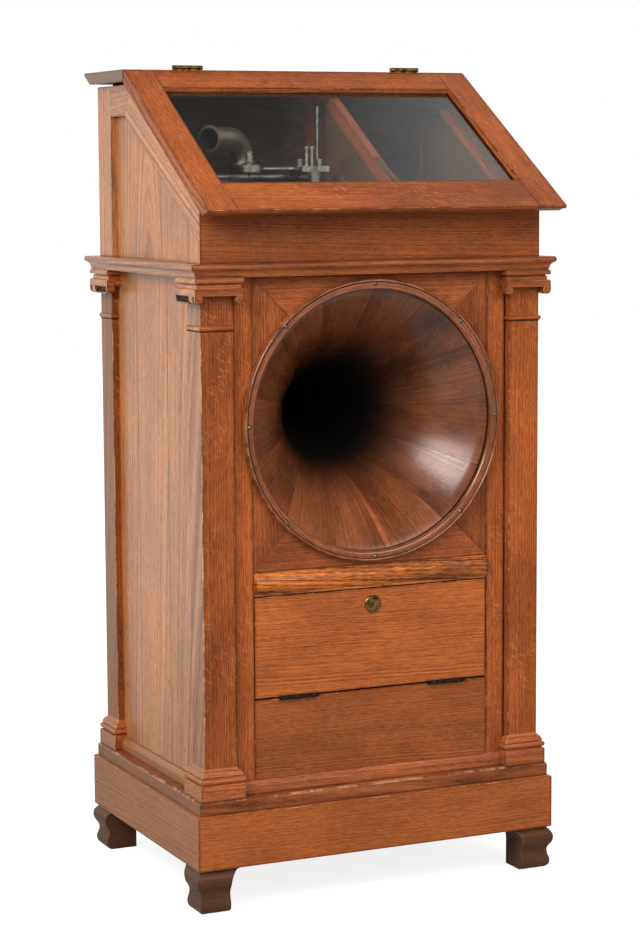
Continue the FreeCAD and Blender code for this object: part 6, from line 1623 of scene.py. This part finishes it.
    def build_door(self) -> None:
        """Make the door."""
        half, low, high = self.door
        door = Piece("cash_door")
        outline = [(-half, low), (half, low), (half, high), (-half, high)]
        door.add(prism(outline, "y", FRONT_FACE, FRONT_REAR, 1.1, 2, 60.0,
                       [round_hole((0.0, self.lock_level), self.lock_radius)]), Run.X_FLAT, 0.1)
        door.finish("door", self.palette.of(PLAIN_OAK), ["door"])

    def build(self) -> None:
        """Make every piece of the lower case."""
        self.build_sides()
        self.build_front()
        self.build_door()


@dataclass
class Horn(Assembly):
    """Staved wooden horn with the ring round its mouth."""

    mouth: float = 236.0
    throat: float = 45.0  # Inside radius at the rear end
    length: float = 337.0
    wall: float = 9.0
    seam: float = 0.15  # Gap between two staves, in degrees
    # Angle of each seam, from the right side upwards. The eleventh stave is a filler
    seams: tuple[float, ...] = (5.3, 33.9, 62.5, 88.2, 113.9, 139.7, 167.7, 195.7, 223.8, 251.8,
                                276.6, 279.8, 307.7, 336.7)
    # Tone of the stave after each seam: the upper staves are darker and the lower ones lighter,
    # partly as painted shade and light inside the horn
    tones: tuple[float, ...] = (-0.55, -0.85, -0.9, -0.75, -0.8, -0.5, -0.3, 0.05, 0.35, 0.3,
                                1.5, 0.15, -0.4, -0.3)
    grain_width: float = 150.0  # Width of a stave's board, which its grain keeps to in part
    ring_outer: float = 255.5
    ring_depth: float = 14.0
    # Profile of the ring, as distance from its inner edge and from its face
    ring_inside: tuple[Point, ...] = ((0.0, 7.8), (0.8, 5.0), (2.6, 2.8), (5.0, 1.6), (7.6, 1.0))
    # Profile of its bead, as distance from its outer edge and from its face
    ring_outside: tuple[Point, ...] = (
        (6.6, 0.8), (5.9, 1.9), (5.1, 1.9), (4.6, 0.8), (3.5, 0.0), (2.1, 0.2), (0.9, 1.5),
        (0.2, 3.5), (0.0, 6.0))
    screw_circle: float = 247.0  # Radius of the circle of screws
    screw_head: float = 4.5
    slot: float = 0.45  # Half width of a screw's slot
    screws: int = 8

    def radius(self, distance: float) -> float:
        """Inside radius at a distance from the mouth."""
        return self.mouth * (self.throat / self.mouth) ** (distance / self.length)

    def stave(self, start: float, end: float) -> tuple[Stick, Along]:
        """One stave and the way its grain runs.

        Args:
            start: Angle of its first edge, from the right side upwards.
            end: Angle of its other edge.

        Returns:
            The stave, and the place on the board of a point of it.
        """
        steps = [self.length * index / 28 for index in range(29)]
        inside = [(self.radius(step), step) for step in steps]
        outside = [(radius + self.wall, step) for radius, step in reversed(inside)]
        profile = inside + outside + inside[:1]
        centre = (0.0, FRONT_FACE, HORN_LEVEL)
        sweep = end - start - self.seam
        first = -(start + self.seam / 2 + sweep)
        part = lathe(profile, centre, "y", max(2, round(sweep / 3.2)), first, sweep)
        middle = math.radians((start + end) / 2)

        def along(spot: Vector) -> Vector:
            """Place on the stave's board of a point.

            Args:
                spot: The point.

            Returns:
                Its place along, across and through the board.
            """
            distance = spot.y - FRONT_FACE
            x, z = spot.x, spot.z - HORN_LEVEL
            turn = math.atan2(z, x) - middle
            turn = (turn + math.pi) % (2 * math.pi) - math.pi
            reach = self.radius(distance)
            path = distance + self.mouth - reach
            width = 0.35 * reach + 0.65 * self.grain_width
            return Vector((path, turn * width, math.hypot(x, z) - reach))

        return part, along

    def ring(self) -> tuple[Stick, Along]:
        """Beaded ring round the mouth, and the way its grain runs.

        Returns:
            The ring, and the place on the board of a point of it.
        """
        depth, inner, outer = self.ring_depth, self.mouth, self.ring_outer
        profile = [(inner, 0.0), *((inner + out, depth - down) for out, down in self.ring_inside),
                   *((outer - back, depth - down) for back, down in self.ring_outside),
                   (outer, 0.0), (inner, 0.0)]
        part = lathe(profile, (0.0, FRONT_FACE, HORN_LEVEL), "-y", 144)
        # Faces near the outer edge are worn; the inner edge and the groove in the bead take the
        # very dark finish, painted shade in these crevices.
        for face in part.mesh.faces:
            centre = face.calc_center_median()
            reach = math.hypot(centre.x, centre.z - HORN_LEVEL)
            if reach > outer - 4.4:
                part.eased.add(face)
            elif reach < inner + 0.3 or outer - 6.4 < reach < outer - 5.0:
                part.lined.add(face)

        def along(spot: Vector) -> Vector:
            """Place on the bent strip of a point."""
            x, z = spot.x, spot.z - HORN_LEVEL
            return Vector((math.atan2(z, x) * self.ring_outer, math.hypot(x, z), spot.y))

        return part, along

    def screw(self, index: int) -> list[Stick]:
        """Round-head screw of the ring, with its slot.

        Args:
            index: Number of the screw, from the top.

        Returns:
            The two halves of the head and the bottom of the slot.
        """
        turn = 2 * math.pi * index / self.screws
        x = self.screw_circle * math.sin(turn)
        z = HORN_LEVEL + self.screw_circle * math.cos(turn)
        front = FRONT_FACE - self.ring_depth + 1.0
        r = self.screw_head
        dome = [(0.0, 3.0), (r * 0.3, 2.9), (r * 0.6, 2.45), (r * 0.85, 1.5), (r, 0.2), (r, 0.0),
                (0.0, 0.0)]
        halves = []
        slope = 0.7 + 1.9 * index
        across = Vector((math.cos(slope), 0.0, math.sin(slope)))
        for sign in MIRROR:
            half = lathe(dome, (x, front, z), "-y", 20)
            through = Vector((x, front, z)) + across * self.slot * sign
            halves.append(half.mitre(tuple(through), tuple(across * -sign)))
        floor = lathe([(0.0, 1.7), (r * 0.78, 1.7), (r * 0.78, 0.0), (0.0, 0.0)],
                      (x, front, z), "-y", 16)
        return [*halves, floor]

    def build(self) -> None:
        """Make the staves, the ring and its screws."""
        staves = Piece("horn_staves_dressed")
        ends = self.seams[1:] + (self.seams[0] + 360,)
        for start, end, tone in zip(self.seams, ends, self.tones):
            part, along = self.stave(start, end)
            staves.add(part, tone=tone, along=along)
        staves.finish("case", self.palette.of(HORN_WOOD), ["horn_staves"], "horn_wood", 50.0)

        ring = Piece("horn_ring_dressed")
        part, along = self.ring()
        ring.add(part, along=along)
        ring.finish("case", self.palette.of(RING_WOOD, DARK_JOINT_AND_SHADE_OAK), ["mouth_ring"], "horn_wood",
                    50.0)

        screws = Piece("horn_ring_screws")
        for index in range(self.screws):
            for part in self.screw(index):
                screws.add(part)
        screws.finish("case", self.palette.of(SCREW_IRON), ["ring_screws"], "iron", 50.0)


@dataclass
class MusicCase(Assembly):
    """Framed upper case with its frieze, back, partition and top board."""

    outer: float = 338.0
    wall: float = 22.0
    half_depth: float = 250.0
    top: float = 1473.0  # Top of its sides and back
    seat: float = 22.3  # Depth of the sides' sloping edge below the lid's face
    slope_rail: float = 67.0
    front_stile: float = 54.0
    rear_stile: float = 68.0
    top_rail: float = 57.0
    sunk: float = 10.0  # How far the panels lie behind the frame's face
    panel: float = 8.0
    panel_joint: float = -46.0  # Joint of a side's two panel boards
    back_joint: float = 1316.0
    board_half: float = 353.0
    board_bottom: float = 1478.0
    board_front: float = 75.7  # Its front edge
    undercut: float = 30.0  # How far its rear edge slopes in below
    # Low and high corner of a cleat under the top board, as distance behind the middle and height
    cleat: tuple[Point, Point] = ((86.0, 1438.0), (228.0, 1478.0))
    cleat_wall: float = 20.0
    partition: Point = (50.0, 68.0)  # Left and right face of the partition
    partition_end: float = 159.0  # Its rear edge
    partition_seat: float = 24.5  # Depth of its sloping rail below the lid's face
    partition_rail: float = 27.0
    partition_stile: float = 50.0
    partition_sunk: float = 4.0  # How far its boards lie behind its frame
    partition_joint: float = 1290.0
    ledge: Point = (57.0, 74.0)  # Depths of the ledge inside each side, below the lid's face
    ledge_run: Point = (-228.0, 150.0)  # Where the ledge starts and ends
    ledge_reach: float = 8.0  # How far it stands out from the side
    coin_slot: tuple[Point, ...] = ((-163.0, 1203.5), (-137.0, 1203.5), (-137.0, 1206.5),
                                    (-163.0, 1206.5))

    def slope_y(self, level: float, depth: float) -> float:
        """Distance behind the middle at which a plane below the lid reaches a level."""
        return LID_JOINT - (OVERALL_HEIGHT - level - depth / math.cos(SLOPE)) / math.tan(SLOPE)

    def side_members(self) -> dict[str, tuple[list[Point], Run]]:
        """Outlines of the members of a framed side.

        Returns:
            Each member's outline, as distance behind the middle and height, and its run.
        """
        low = self.seat + self.slope_rail
        front, stile = -self.half_depth, -self.half_depth + self.front_stile
        rear = self.half_depth - self.rear_stile
        rail = self.top - self.top_rail
        crest, notch = self.slope_y(self.top, self.seat), self.slope_y(rail, low)
        return {
            "front_stile": ([(front, WAIST), (stile, WAIST), (stile, lid_level(stile, low)),
                             (front, lid_level(front, low))], Run.Z_SIDE),
            "slope_rail": ([(front, lid_level(front, low)), (notch, rail), (crest, self.top),
                            (front, lid_level(front, self.seat))], Run.Y_FLAT),
            "top_rail": ([(notch, rail), (rear, rail), (rear, self.top), (crest, self.top)],
                         Run.Y_FLAT),
            "rear_stile": ([(rear, WAIST), (self.half_depth, WAIST), (self.half_depth, self.top),
                            (rear, self.top)], Run.Z_SIDE)}

    def slope_grain(self) -> Along:
        """Place on a board that lies along the lid's slope, for the side rails.

        Returns:
            The place on the board of a point.
        """
        turn = Matrix.Rotation(-SLOPE, 3, "X")

        def along(spot: Vector) -> Vector:
            """Place on the sloping board of a point."""
            flat = turn @ spot
            return Vector((flat.y, flat.z, flat.x))

        return along

    def panels(self) -> list[tuple[list[Point], float]]:
        """Outlines of the two panel boards of a side.

        Returns:
            Each board's outline, as distance behind the middle and height, and its tone.
        """
        stile, rear = -self.half_depth + self.front_stile, self.half_depth - self.rear_stile
        low, rail = self.seat + self.slope_rail, self.top - self.top_rail
        joint, peak = self.panel_joint, lid_level(self.panel_joint, low)
        front_half = [(stile, WAIST), (joint, WAIST), (joint, peak), (stile, lid_level(stile, low))]
        rear_half = [(joint, WAIST), (rear, WAIST), (rear, rail), (self.slope_y(rail, low), rail),
                     (joint, peak)]
        return [(front_half, 0.12), (rear_half, 0.0)]

    def fittings(self, side: int) -> list[tuple[Stick, Along | None, float, int]]:
        """Ledge along the slope and cleat under the top board.

        Args:
            side: -1 for the left and 1 for the right.

        Returns:
            Each part, the way its grain runs, its tone and the number of its finish.
        """
        inside = self.outer - self.wall
        x = spread(side, inside + 0.5, inside - self.ledge_reach)
        (front, rear), (high, low) = self.ledge_run, self.ledge
        outline = [(front, lid_level(front, low)), (rear, lid_level(rear, low)),
                   (rear, lid_level(rear, high)), (front, lid_level(front, high))]
        ledge = prism(outline, "x", x[0], x[1], 1.0)
        x = spread(side, inside, inside - self.cleat_wall)
        cleat = block((x[0], *self.cleat[0]), (x[1], *self.cleat[1]))
        return [(ledge, self.slope_grain(), 0.6, 2), (cleat, None, 0.0, 1)]

    def build_sides(self) -> None:
        """Make the framed sides."""
        members = self.side_members()
        for side, where in zip(MIRROR, ("left", "right")):
            piece = Piece("music_side_" + where)
            inwards = (-side, 0, 0)
            x = spread(side, self.outer - self.wall, self.outer)
            for name, (outline, run) in members.items():
                bar = prism(outline, "x", x[0], x[1], 0.5, 1)
                if name in ("front_stile", "slope_rail"):
                    corner = (side * (self.outer - self.wall), -self.half_depth + self.wall, 0.0)
                    bar.mitre(corner, (side * -1.0, -1.0, 0.0))
                sloping = name == "slope_rail"
                piece.add(bar.line(inwards), run, 0.1 if sloping else 0.0,
                          along=self.slope_grain() if sloping else None)
            x = spread(side, self.outer - self.sunk, self.outer - self.sunk - self.panel)
            for index, (outline, tone) in enumerate(self.panels()):
                holes = [self.coin_slot] if side > 0 and not index else []
                panel = prism(outline, "x", x[0], x[1], 0.0, holes=holes)
                piece.add(panel.line(inwards), Run.Z_SIDE, tone)
            for part, along, tone, slot in self.fittings(side):
                piece.add(part, Run.Y_FLAT, tone, slot, along)
            piece.finish("case", self.palette.of(SIDE_OAK_WITH_SHEEN, INNER_STAIN_AND_SHADE, PARTITION_OAK),
                         ["upper_side_" + where])

    def build_boards(self) -> None:
        """Make the frieze, the back and the top board."""
        frieze = Piece("music_frieze")
        front, rear = -self.half_depth, -self.half_depth + self.wall
        outline = [(front, WAIST), (rear, WAIST), (rear, lid_level(rear, self.seat)),
                   (front, lid_level(front, self.seat))]
        bar = prism(outline, "x", -self.outer, self.outer, 0.6, 1)
        for side in MIRROR:
            bar.mitre((side * (self.outer - self.wall), rear, 0.0), (side * 1.0, 1.0, 0.0))
        # The tone of -0.6 darkens the whole frieze, partly as painted shade under the lid's
        # overhang.
        frieze.add(bar.line((0, 1, 0)), Run.X_FLAT, -0.6)
        frieze.finish("case", self.palette.of(PLAIN_OAK, INNER_STAIN_AND_SHADE), ["frieze_board"])

        back = Piece("music_back")
        edge = self.outer - self.wall
        for low, high, tone in ((WAIST, self.back_joint, 0.1), (self.back_joint, self.top, -0.08)):
            plank = block((-edge, self.half_depth - self.wall, low),
                          (edge, self.half_depth, high), 0.9, 1)
            back.add(plank.line((0, -1, 0)), Run.X_FLAT, tone)
        back.finish("case", self.palette.of(PLAIN_OAK, INNER_STAIN_AND_SHADE), ["upper_back"])

        board = Piece("music_top_board")
        outline = [(self.board_front, self.board_bottom),
                   (BOARD_REACH - self.undercut, self.board_bottom),
                   (BOARD_REACH, OVERALL_HEIGHT - 4), (BOARD_REACH, OVERALL_HEIGHT - 1.2),
                   (BOARD_REACH - 1.2, OVERALL_HEIGHT), (self.board_front, OVERALL_HEIGHT)]
        plank = prism(outline, "x", -self.board_half, self.board_half, 0.8)
        board.add(plank.line((-1, 0, 0)).line((1, 0, 0)), Run.X_LEVEL)
        board.finish("case", self.palette.of(FRONT_OAK, END_OAK), ["top_board"])

    def build_partition(self) -> None:
        """Make the partition beside the works."""
        left, right = self.partition
        front, stile = -self.half_depth + self.wall, self.partition_end - self.partition_stile
        top, low = self.partition_seat, self.partition_seat + self.partition_rail
        peak = lid_level(LID_JOINT, top)
        piece = Piece("music_partition")
        rail = prism([(front, lid_level(front, low)), (stile, lid_level(stile, low)),
                      (stile, peak), (LID_JOINT, peak), (front, lid_level(front, top))],
                     "x", left, right, 1.0)
        piece.add(rail, Run.Y_FLAT, 0.25, along=self.slope_grain())
        piece.add(block((left, stile, DECK_TOP),
                        (right, self.partition_end, self.board_bottom - 2.5)), Run.Z_SIDE, -0.05)
        left, right = left + self.partition_sunk, right - self.partition_sunk
        level = self.partition_joint
        lower = [(front, DECK_TOP), (stile, DECK_TOP), (stile, level), (front, level)]
        upper = [(front, level), (stile, level), (stile, lid_level(stile, low)),
                 (front, max(level + 1, lid_level(front, low)))]
        for outline, tone in ((lower, -0.1), (upper, 0.1)):
            piece.add(prism(outline, "x", left, right, 0.4), Run.Y_FLAT, tone, 1)
        piece.finish("case", self.palette.of(PARTITION_OAK, INNER_STAIN_AND_SHADE), ["partition"])

    def build(self) -> None:
        """Make every board of the music case."""
        self.build_sides()
        self.build_boards()
        self.build_partition()


@dataclass
class Lid(Assembly):
    """Framed lid with its glass and beads, laid on the slope."""

    half: float = 353.0  # Half width
    depth: float = 22.0  # Thickness
    stile: float = 57.0
    top_rail: float = 63.0
    bottom_rail: float = 87.0
    gap: float = 3.4  # Gap between the lid and the top board
    glass_top: float = 9.0  # Depth of the glass below the lid's face
    glass: float = 3.0
    rebate: float = 8.0  # How far the frame reaches over the glass
    # Profile of the lower edge, as distance from its tip and height over the face
    nose: tuple[Point, ...] = ((17.0, -22.0), (7.0, -10.0), (1.6, -7.6), (0.3, -6.4), (0.0, -4.8),
                               (0.0, -1.6), (0.5, -0.5), (1.6, 0.0))
    # Section of a glass bead, as distance from the opening and height over the face
    cove: tuple[Point, ...] = ((0.0, -8.6), (0.0, -2.2), (-0.9, -2.2), (-2.2, -4.0), (-2.8, -8.6))

    def flat(self, spot: Vector) -> Vector:
        """Place of a point in the lid's own frame, which is also a rail's board."""
        return Matrix.Rotation(-SLOPE, 3, "X") @ (spot - Vector((0, LID_JOINT, OVERALL_HEIGHT)))

    def upright(self, spot: Vector) -> Vector:
        """Place of a point on a stile's board."""
        place = self.flat(spot)
        return Vector((place.y, place.x, place.z))

    def laid(self, part: Stick) -> Stick:
        """Part drawn in the lid's own frame, laid on the slope."""
        lift = Matrix.Translation((0, LID_JOINT, OVERALL_HEIGHT))
        return part.turn(lift @ Matrix.Rotation(SLOPE, 4, "X"))

    def span(self) -> Spot:
        """Half width of the opening, and its lower and upper edge."""
        return self.half - self.stile, -LID_LENGTH + self.bottom_rail, -self.top_rail

    def add_frame(self, piece: Piece) -> None:
        """Add the stiles and the rails.

        Args:
            piece: The frame.
        """
        inner, low, high = self.span()
        head = -(self.gap / 2) / math.cos(SLOPE)
        plumb = head - self.depth * math.tan(SLOPE)
        nose = [(-LID_LENGTH + out, z) for out, z in self.nose]
        stile = [(head, 0.0), (plumb, -self.depth), *nose]
        for side in MIRROR:
            x = spread(side, inner, self.half)
            piece.add(self.laid(prism(stile, "x", x[0], x[1])), tone=-0.35, along=self.upright)
        lower = [(low, 0.0), (low, -self.glass_top), (low - self.rebate, -self.glass_top),
                 (low - self.rebate, -self.depth), *nose]
        upper = [(high, 0.0), (head, 0.0), (plumb, -self.depth),
                 (high + self.rebate, -self.depth), (high + self.rebate, -self.glass_top),
                 (high, -self.glass_top)]
        for outline in (lower, upper):
            piece.add(self.laid(prism(outline, "x", -inner, inner, 0.9)), tone=-0.5,
                      along=self.flat)

    def add_beads(self, piece: Piece) -> None:
        """Add the beads over the glass and the strips that hold it from below.

        Args:
            piece: The frame.
        """
        inner, low, high = self.span()
        for side in MIRROR:
            shape = [(side * (inner + out), z) for out, z in self.cove]
            piece.add(self.laid(prism(shape, "y", low, high, 0.3)), tone=-0.1,
                      along=self.upright)
        for place, sign in ((low, -1), (high, 1)):
            shape = [(place + sign * out, z) for out, z in self.cove]
            piece.add(self.laid(prism(shape, "x", -inner, inner, 0.3)), tone=-0.1,
                      along=self.flat)
        out, foot, head = inner + self.rebate, low - self.rebate, high + self.rebate
        for first, second in (((-out, foot), (-inner, head)), ((inner, foot), (out, head)),
                              ((-inner, foot), (inner, low)), ((-inner, high), (inner, head))):
            part = block((*first, -self.depth + 0.2),
                         (*second, -self.glass_top - self.glass - 0.1), 0.8)
            piece.add(self.laid(part), tone=-0.2, along=self.flat, slot=1)

    def build(self) -> None:
        """Make the frame and the glass."""
        piece = Piece("lid_frame_dressed")
        self.add_frame(piece)
        self.add_beads(piece)
        piece.finish("lid", self.palette.of(FRONT_OAK, INNER_STAIN_AND_SHADE), ["lid_frame"])

        pane = Piece("lid_glass_pane")
        inner, low, high = self.span()
        reach = inner + self.rebate - 0.3
        part = block((-reach, low - self.rebate + 0.3, -self.glass_top - self.glass),
                     (reach, high + self.rebate - 0.3, -self.glass_top), 0.2, 1)
        pane.add(self.laid(part), along=self.flat)
        pane.finish("lid", self.palette.of(GLASS), ["lid_glass"], "glass")


@dataclass
class Works(Assembly):
    """Fittings whose solids are right as they are, dressed with their finish."""

    woods: tuple[tuple[str, WoodFinish], ...] = (
        ("deck_board", INNER_STAIN_AND_SHADE), ("cash_shelf", INNER_STAIN_AND_SHADE))
    metals: tuple[tuple[str, MetalFinish], ...] = (
        ("bedplate", BLACK_PAINT), ("stand_pipe", BLACK_PAINT), ("guide_rods", STEEL),
        ("main_shaft", STEEL), ("winding_arbor", STEEL), ("output_arbor", STEEL),
        ("coin_lever", STEEL), ("brake_lever", STEEL), ("lock_plug", LOCK_BRASS),
        ("mandrel", NICKEL), ("carriage", NICKEL), ("reproducer", NICKEL),
        ("horn_elbow", AGED_NICKEL), ("cylinder_record", WAX), ("spring_barrel", BRASS),
        ("middle_wheels", BRASS), ("governor", BRASS), ("lid_hinge_fixed", LOCK_BRASS),
        ("lid_hinge_leaves", LOCK_BRASS), ("wall_plates", BRASS), ("motor_frame", IRON),
        ("door_hinge_fixed", IRON), ("door_hinge_leaves", IRON), ("horn_neck", NECK_PAINT_AND_SHADE),
        ("cash_box", TIN), ("coin_chute", TIN), ("lock_body", LOCK_BRASS), ("drive_belt", BELT))

    def dress(self, name: str, material: bpy.types.Material) -> None:
        """Give a solid its material.

        Args:
            name: Name of the solid's node.
            material: The material.
        """
        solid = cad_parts[name]
        if not solid.data.materials:
            solid.data.materials.append(material)
        for place in solid.material_slots:
            place.material = material
        LOG.info("%s: dressed with %s", name, material.name)

    def build(self) -> None:
        """Dress every fitting."""
        for name, finish in self.woods:
            self.dress(name, self.palette.plain(finish))
        for name, finish in self.metals:
            self.dress(name, *self.palette.of(finish))


@dataclass
class Studio:
    """Floor, world, lamps and camera."""

    camera_place: Spot = (-1949.3, -4140.9, 1316.8)
    yaw: float = 24.25  # How far it looks to the right of straight back, in degrees
    pitch: float = -6.817  # How far it looks up, in degrees
    roll: float = -0.402  # How far it leans, in degrees
    lens: float = 92.72  # Focal length in millimetres
    shift: Point = (0.0416, -0.0137)
    floor_size: float = 24.0
    floor_glow: float = 0.84  # Strength of the floor's own light where it is seen
    floor_colour: float = 0.36  # How much light the floor gives back
    # Where behind the case a mirror starts and ends to see the floor white
    floor_behind: Point = (0.6, 3.6)
    ambient: Point = (0.36, 0.92)  # Strength of the world's light from below and from above
    ambient_rise: Point = (-0.3, 0.9)  # Direction upwards between which that light changes
    # Strength of the ceiling in a mirror, on the left and on the right
    overhead: Point = (0.10, 0.75)
    overhead_turn: Point = (0.40, 0.50)  # Direction to the side between which the ceiling changes
    # Direction upwards between which the backdrop turns into the ceiling
    overhead_rise: Point = (0.45, 0.72)
    # Direction to the rear between which the room turns into the backdrop
    backdrop_turn: Point = (-0.05, 0.5)
    room: float = 0.15  # Strength of the room before the case in a mirror
    through: float = 0.5  # Least strength of the ceiling for light that has passed the glass
    panes: float = 2.5  # Passes through glass above which light is inside the glazed case
    # Place in metres, power in watts and size in metres of the lamp on the left
    key: tuple[Spot, float, float] = ((-2.9, -1.9, 2.85), 100.0, 1.7)
    fill: tuple[Spot, float, float] = ((1.2, -4.2, 3.3), 72.0, 3.0)  # The same of the lamp in front
    aim: Spot = (0.0, 0.0, 0.8)  # Point that the lamps look at, in metres

    def make_floor(self) -> None:
        """Lay the pale floor."""
        mesh = bmesh.new()
        bmesh.ops.create_grid(mesh, x_segments=1, y_segments=1, size=self.floor_size / 2)
        data = bpy.data.meshes.new("studio_floor")
        mesh.to_mesh(data)
        mesh.free()
        floor = bpy.data.objects.new("studio_floor", data)
        bpy.context.scene.collection.objects.link(floor)
        material, graph, shader = plain_principled("studio_floor")
        dust = graph.span(graph.noise(graph.place(), 3.0, 2.0, 0.5), 0.2, 0.8,
                          self.floor_colour - 0.01, self.floor_colour + 0.01)
        graph.put(shader.inputs["Base Color"], graph.join(dust, dust, dust))
        shader.inputs["Roughness"].default_value = 0.9
        shader.inputs["Specular IOR Level"].default_value = 0.1
        path = graph.node("ShaderNodeLightPath").outputs
        behind = graph.span(graph.parts(graph.place())[1], *self.floor_behind, self.room, 1.0)
        seen = graph.math("MAXIMUM", path["Is Camera Ray"], path["Is Transmission Ray"])
        seen = graph.math("MAXIMUM", seen, graph.times(path["Is Glossy Ray"], behind))
        graph.put(shader.inputs["Emission Strength"], graph.times(seen, self.floor_glow))
        shader.inputs["Emission Color"].default_value = (1.0, 1.0, 1.0, 1.0)
        data.materials.append(material)

    def make_world(self) -> None:
        """Make the world: white where it is seen, softer where it lights.

        A mirror sees the white backdrop behind the case and the dim room before and above it.
        """
        world = bpy.data.worlds.new("studio_world")
        world.use_nodes = True
        world.node_tree.nodes.clear()
        graph = Graph(world.node_tree)
        path = graph.node("ShaderNodeLightPath").outputs
        aside, rear, high = graph.parts(graph.node("ShaderNodeTexCoord").outputs["Generated"])
        behind = graph.span(rear, *self.backdrop_turn, self.room, 1.0)
        ceiling = graph.span(aside, *self.overhead_turn, *self.overhead)
        inside = graph.math("GREATER_THAN", path["Transmission Depth"], self.panes)
        ceiling = graph.math("MAXIMUM", ceiling, graph.times(inside, self.through))
        level = graph.span(high, *self.overhead_rise, 1.0, ceiling)
        mirrored = graph.math("MAXIMUM", path["Is Glossy Ray"], path["Is Transmission Ray"])
        shown = graph.times(level, graph.math("MAXIMUM", behind, path["Is Transmission Ray"]))
        lit = graph.blend(mirrored, graph.span(high, *self.ambient_rise, *self.ambient), shown)
        strength = graph.blend(path["Is Camera Ray"], lit, 1.0)
        back = graph.node("ShaderNodeBackground", {"Color": (1.0, 1.0, 1.0, 1.0),
                                                   "Strength": strength})
        graph.node("ShaderNodeOutputWorld", {"Surface": back.outputs[0]})
        bpy.context.scene.world = world

    def make_lamp(self, name: str, place: Spot, power: float, size: float) -> None:
        """Hang one soft lamp that points at the middle of the case.

        Args:
            name: Name of the lamp.
            place: Where it hangs, in metres.
            power: Its power in watts.
            size: Side of its square, in metres.
        """
        data = bpy.data.lights.new(name, "AREA")
        data.energy = power
        data.size = size
        lamp = bpy.data.objects.new(name, data)
        turn = (Vector(self.aim) - Vector(place)).to_track_quat("-Z", "Y")
        lamp.matrix_world = Matrix.Translation(place) @ turn.to_matrix().to_4x4()
        bpy.context.scene.collection.objects.link(lamp)

    def make_camera(self) -> None:
        """Set the camera where the photograph was taken from."""
        yaw, pitch, roll = (math.radians(turn) for turn in (self.yaw, self.pitch, self.roll))
        ahead = Vector((math.sin(yaw) * math.cos(pitch), math.cos(yaw) * math.cos(pitch),
                        math.sin(pitch)))
        right = Vector((math.cos(yaw), -math.sin(yaw), 0.0))
        up = right.cross(ahead)
        across = math.cos(roll) * right + math.sin(roll) * up
        upward = -math.sin(roll) * right + math.cos(roll) * up
        data = bpy.data.cameras.new("camera")
        data.sensor_width = 36.0
        data.lens = self.lens
        data.shift_x, data.shift_y = self.shift
        camera = bpy.data.objects.new("camera", data)
        turn = Matrix((across, upward, -ahead)).transposed().to_4x4()
        camera.matrix_world = Matrix.Translation(Vector(self.camera_place) * MM) @ turn
        bpy.context.scene.collection.objects.link(camera)
        bpy.context.scene.camera = camera

    def build(self) -> None:
        """Make the whole studio."""
        self.make_camera()
        self.make_floor()
        self.make_world()
        self.make_lamp("key_lamp", *self.key)
        self.make_lamp("fill_lamp", *self.fill)
        bpy.context.scene.view_settings.view_transform = "Standard"


def main() -> None:
    """Build the studio and every piece of the phonograph."""
    logging.basicConfig(level=logging.INFO, format="%(name)s %(message)s")
    Studio().build()
    palette = Palette(Groups())
    for kind in (Base, Pilasters, Cornice, LowerCase, Horn, MusicCase, Lid, Works):
        LOG.info("building %s", kind.__name__)
        kind(palette).build()


if __name__ == "__main__":
    main()
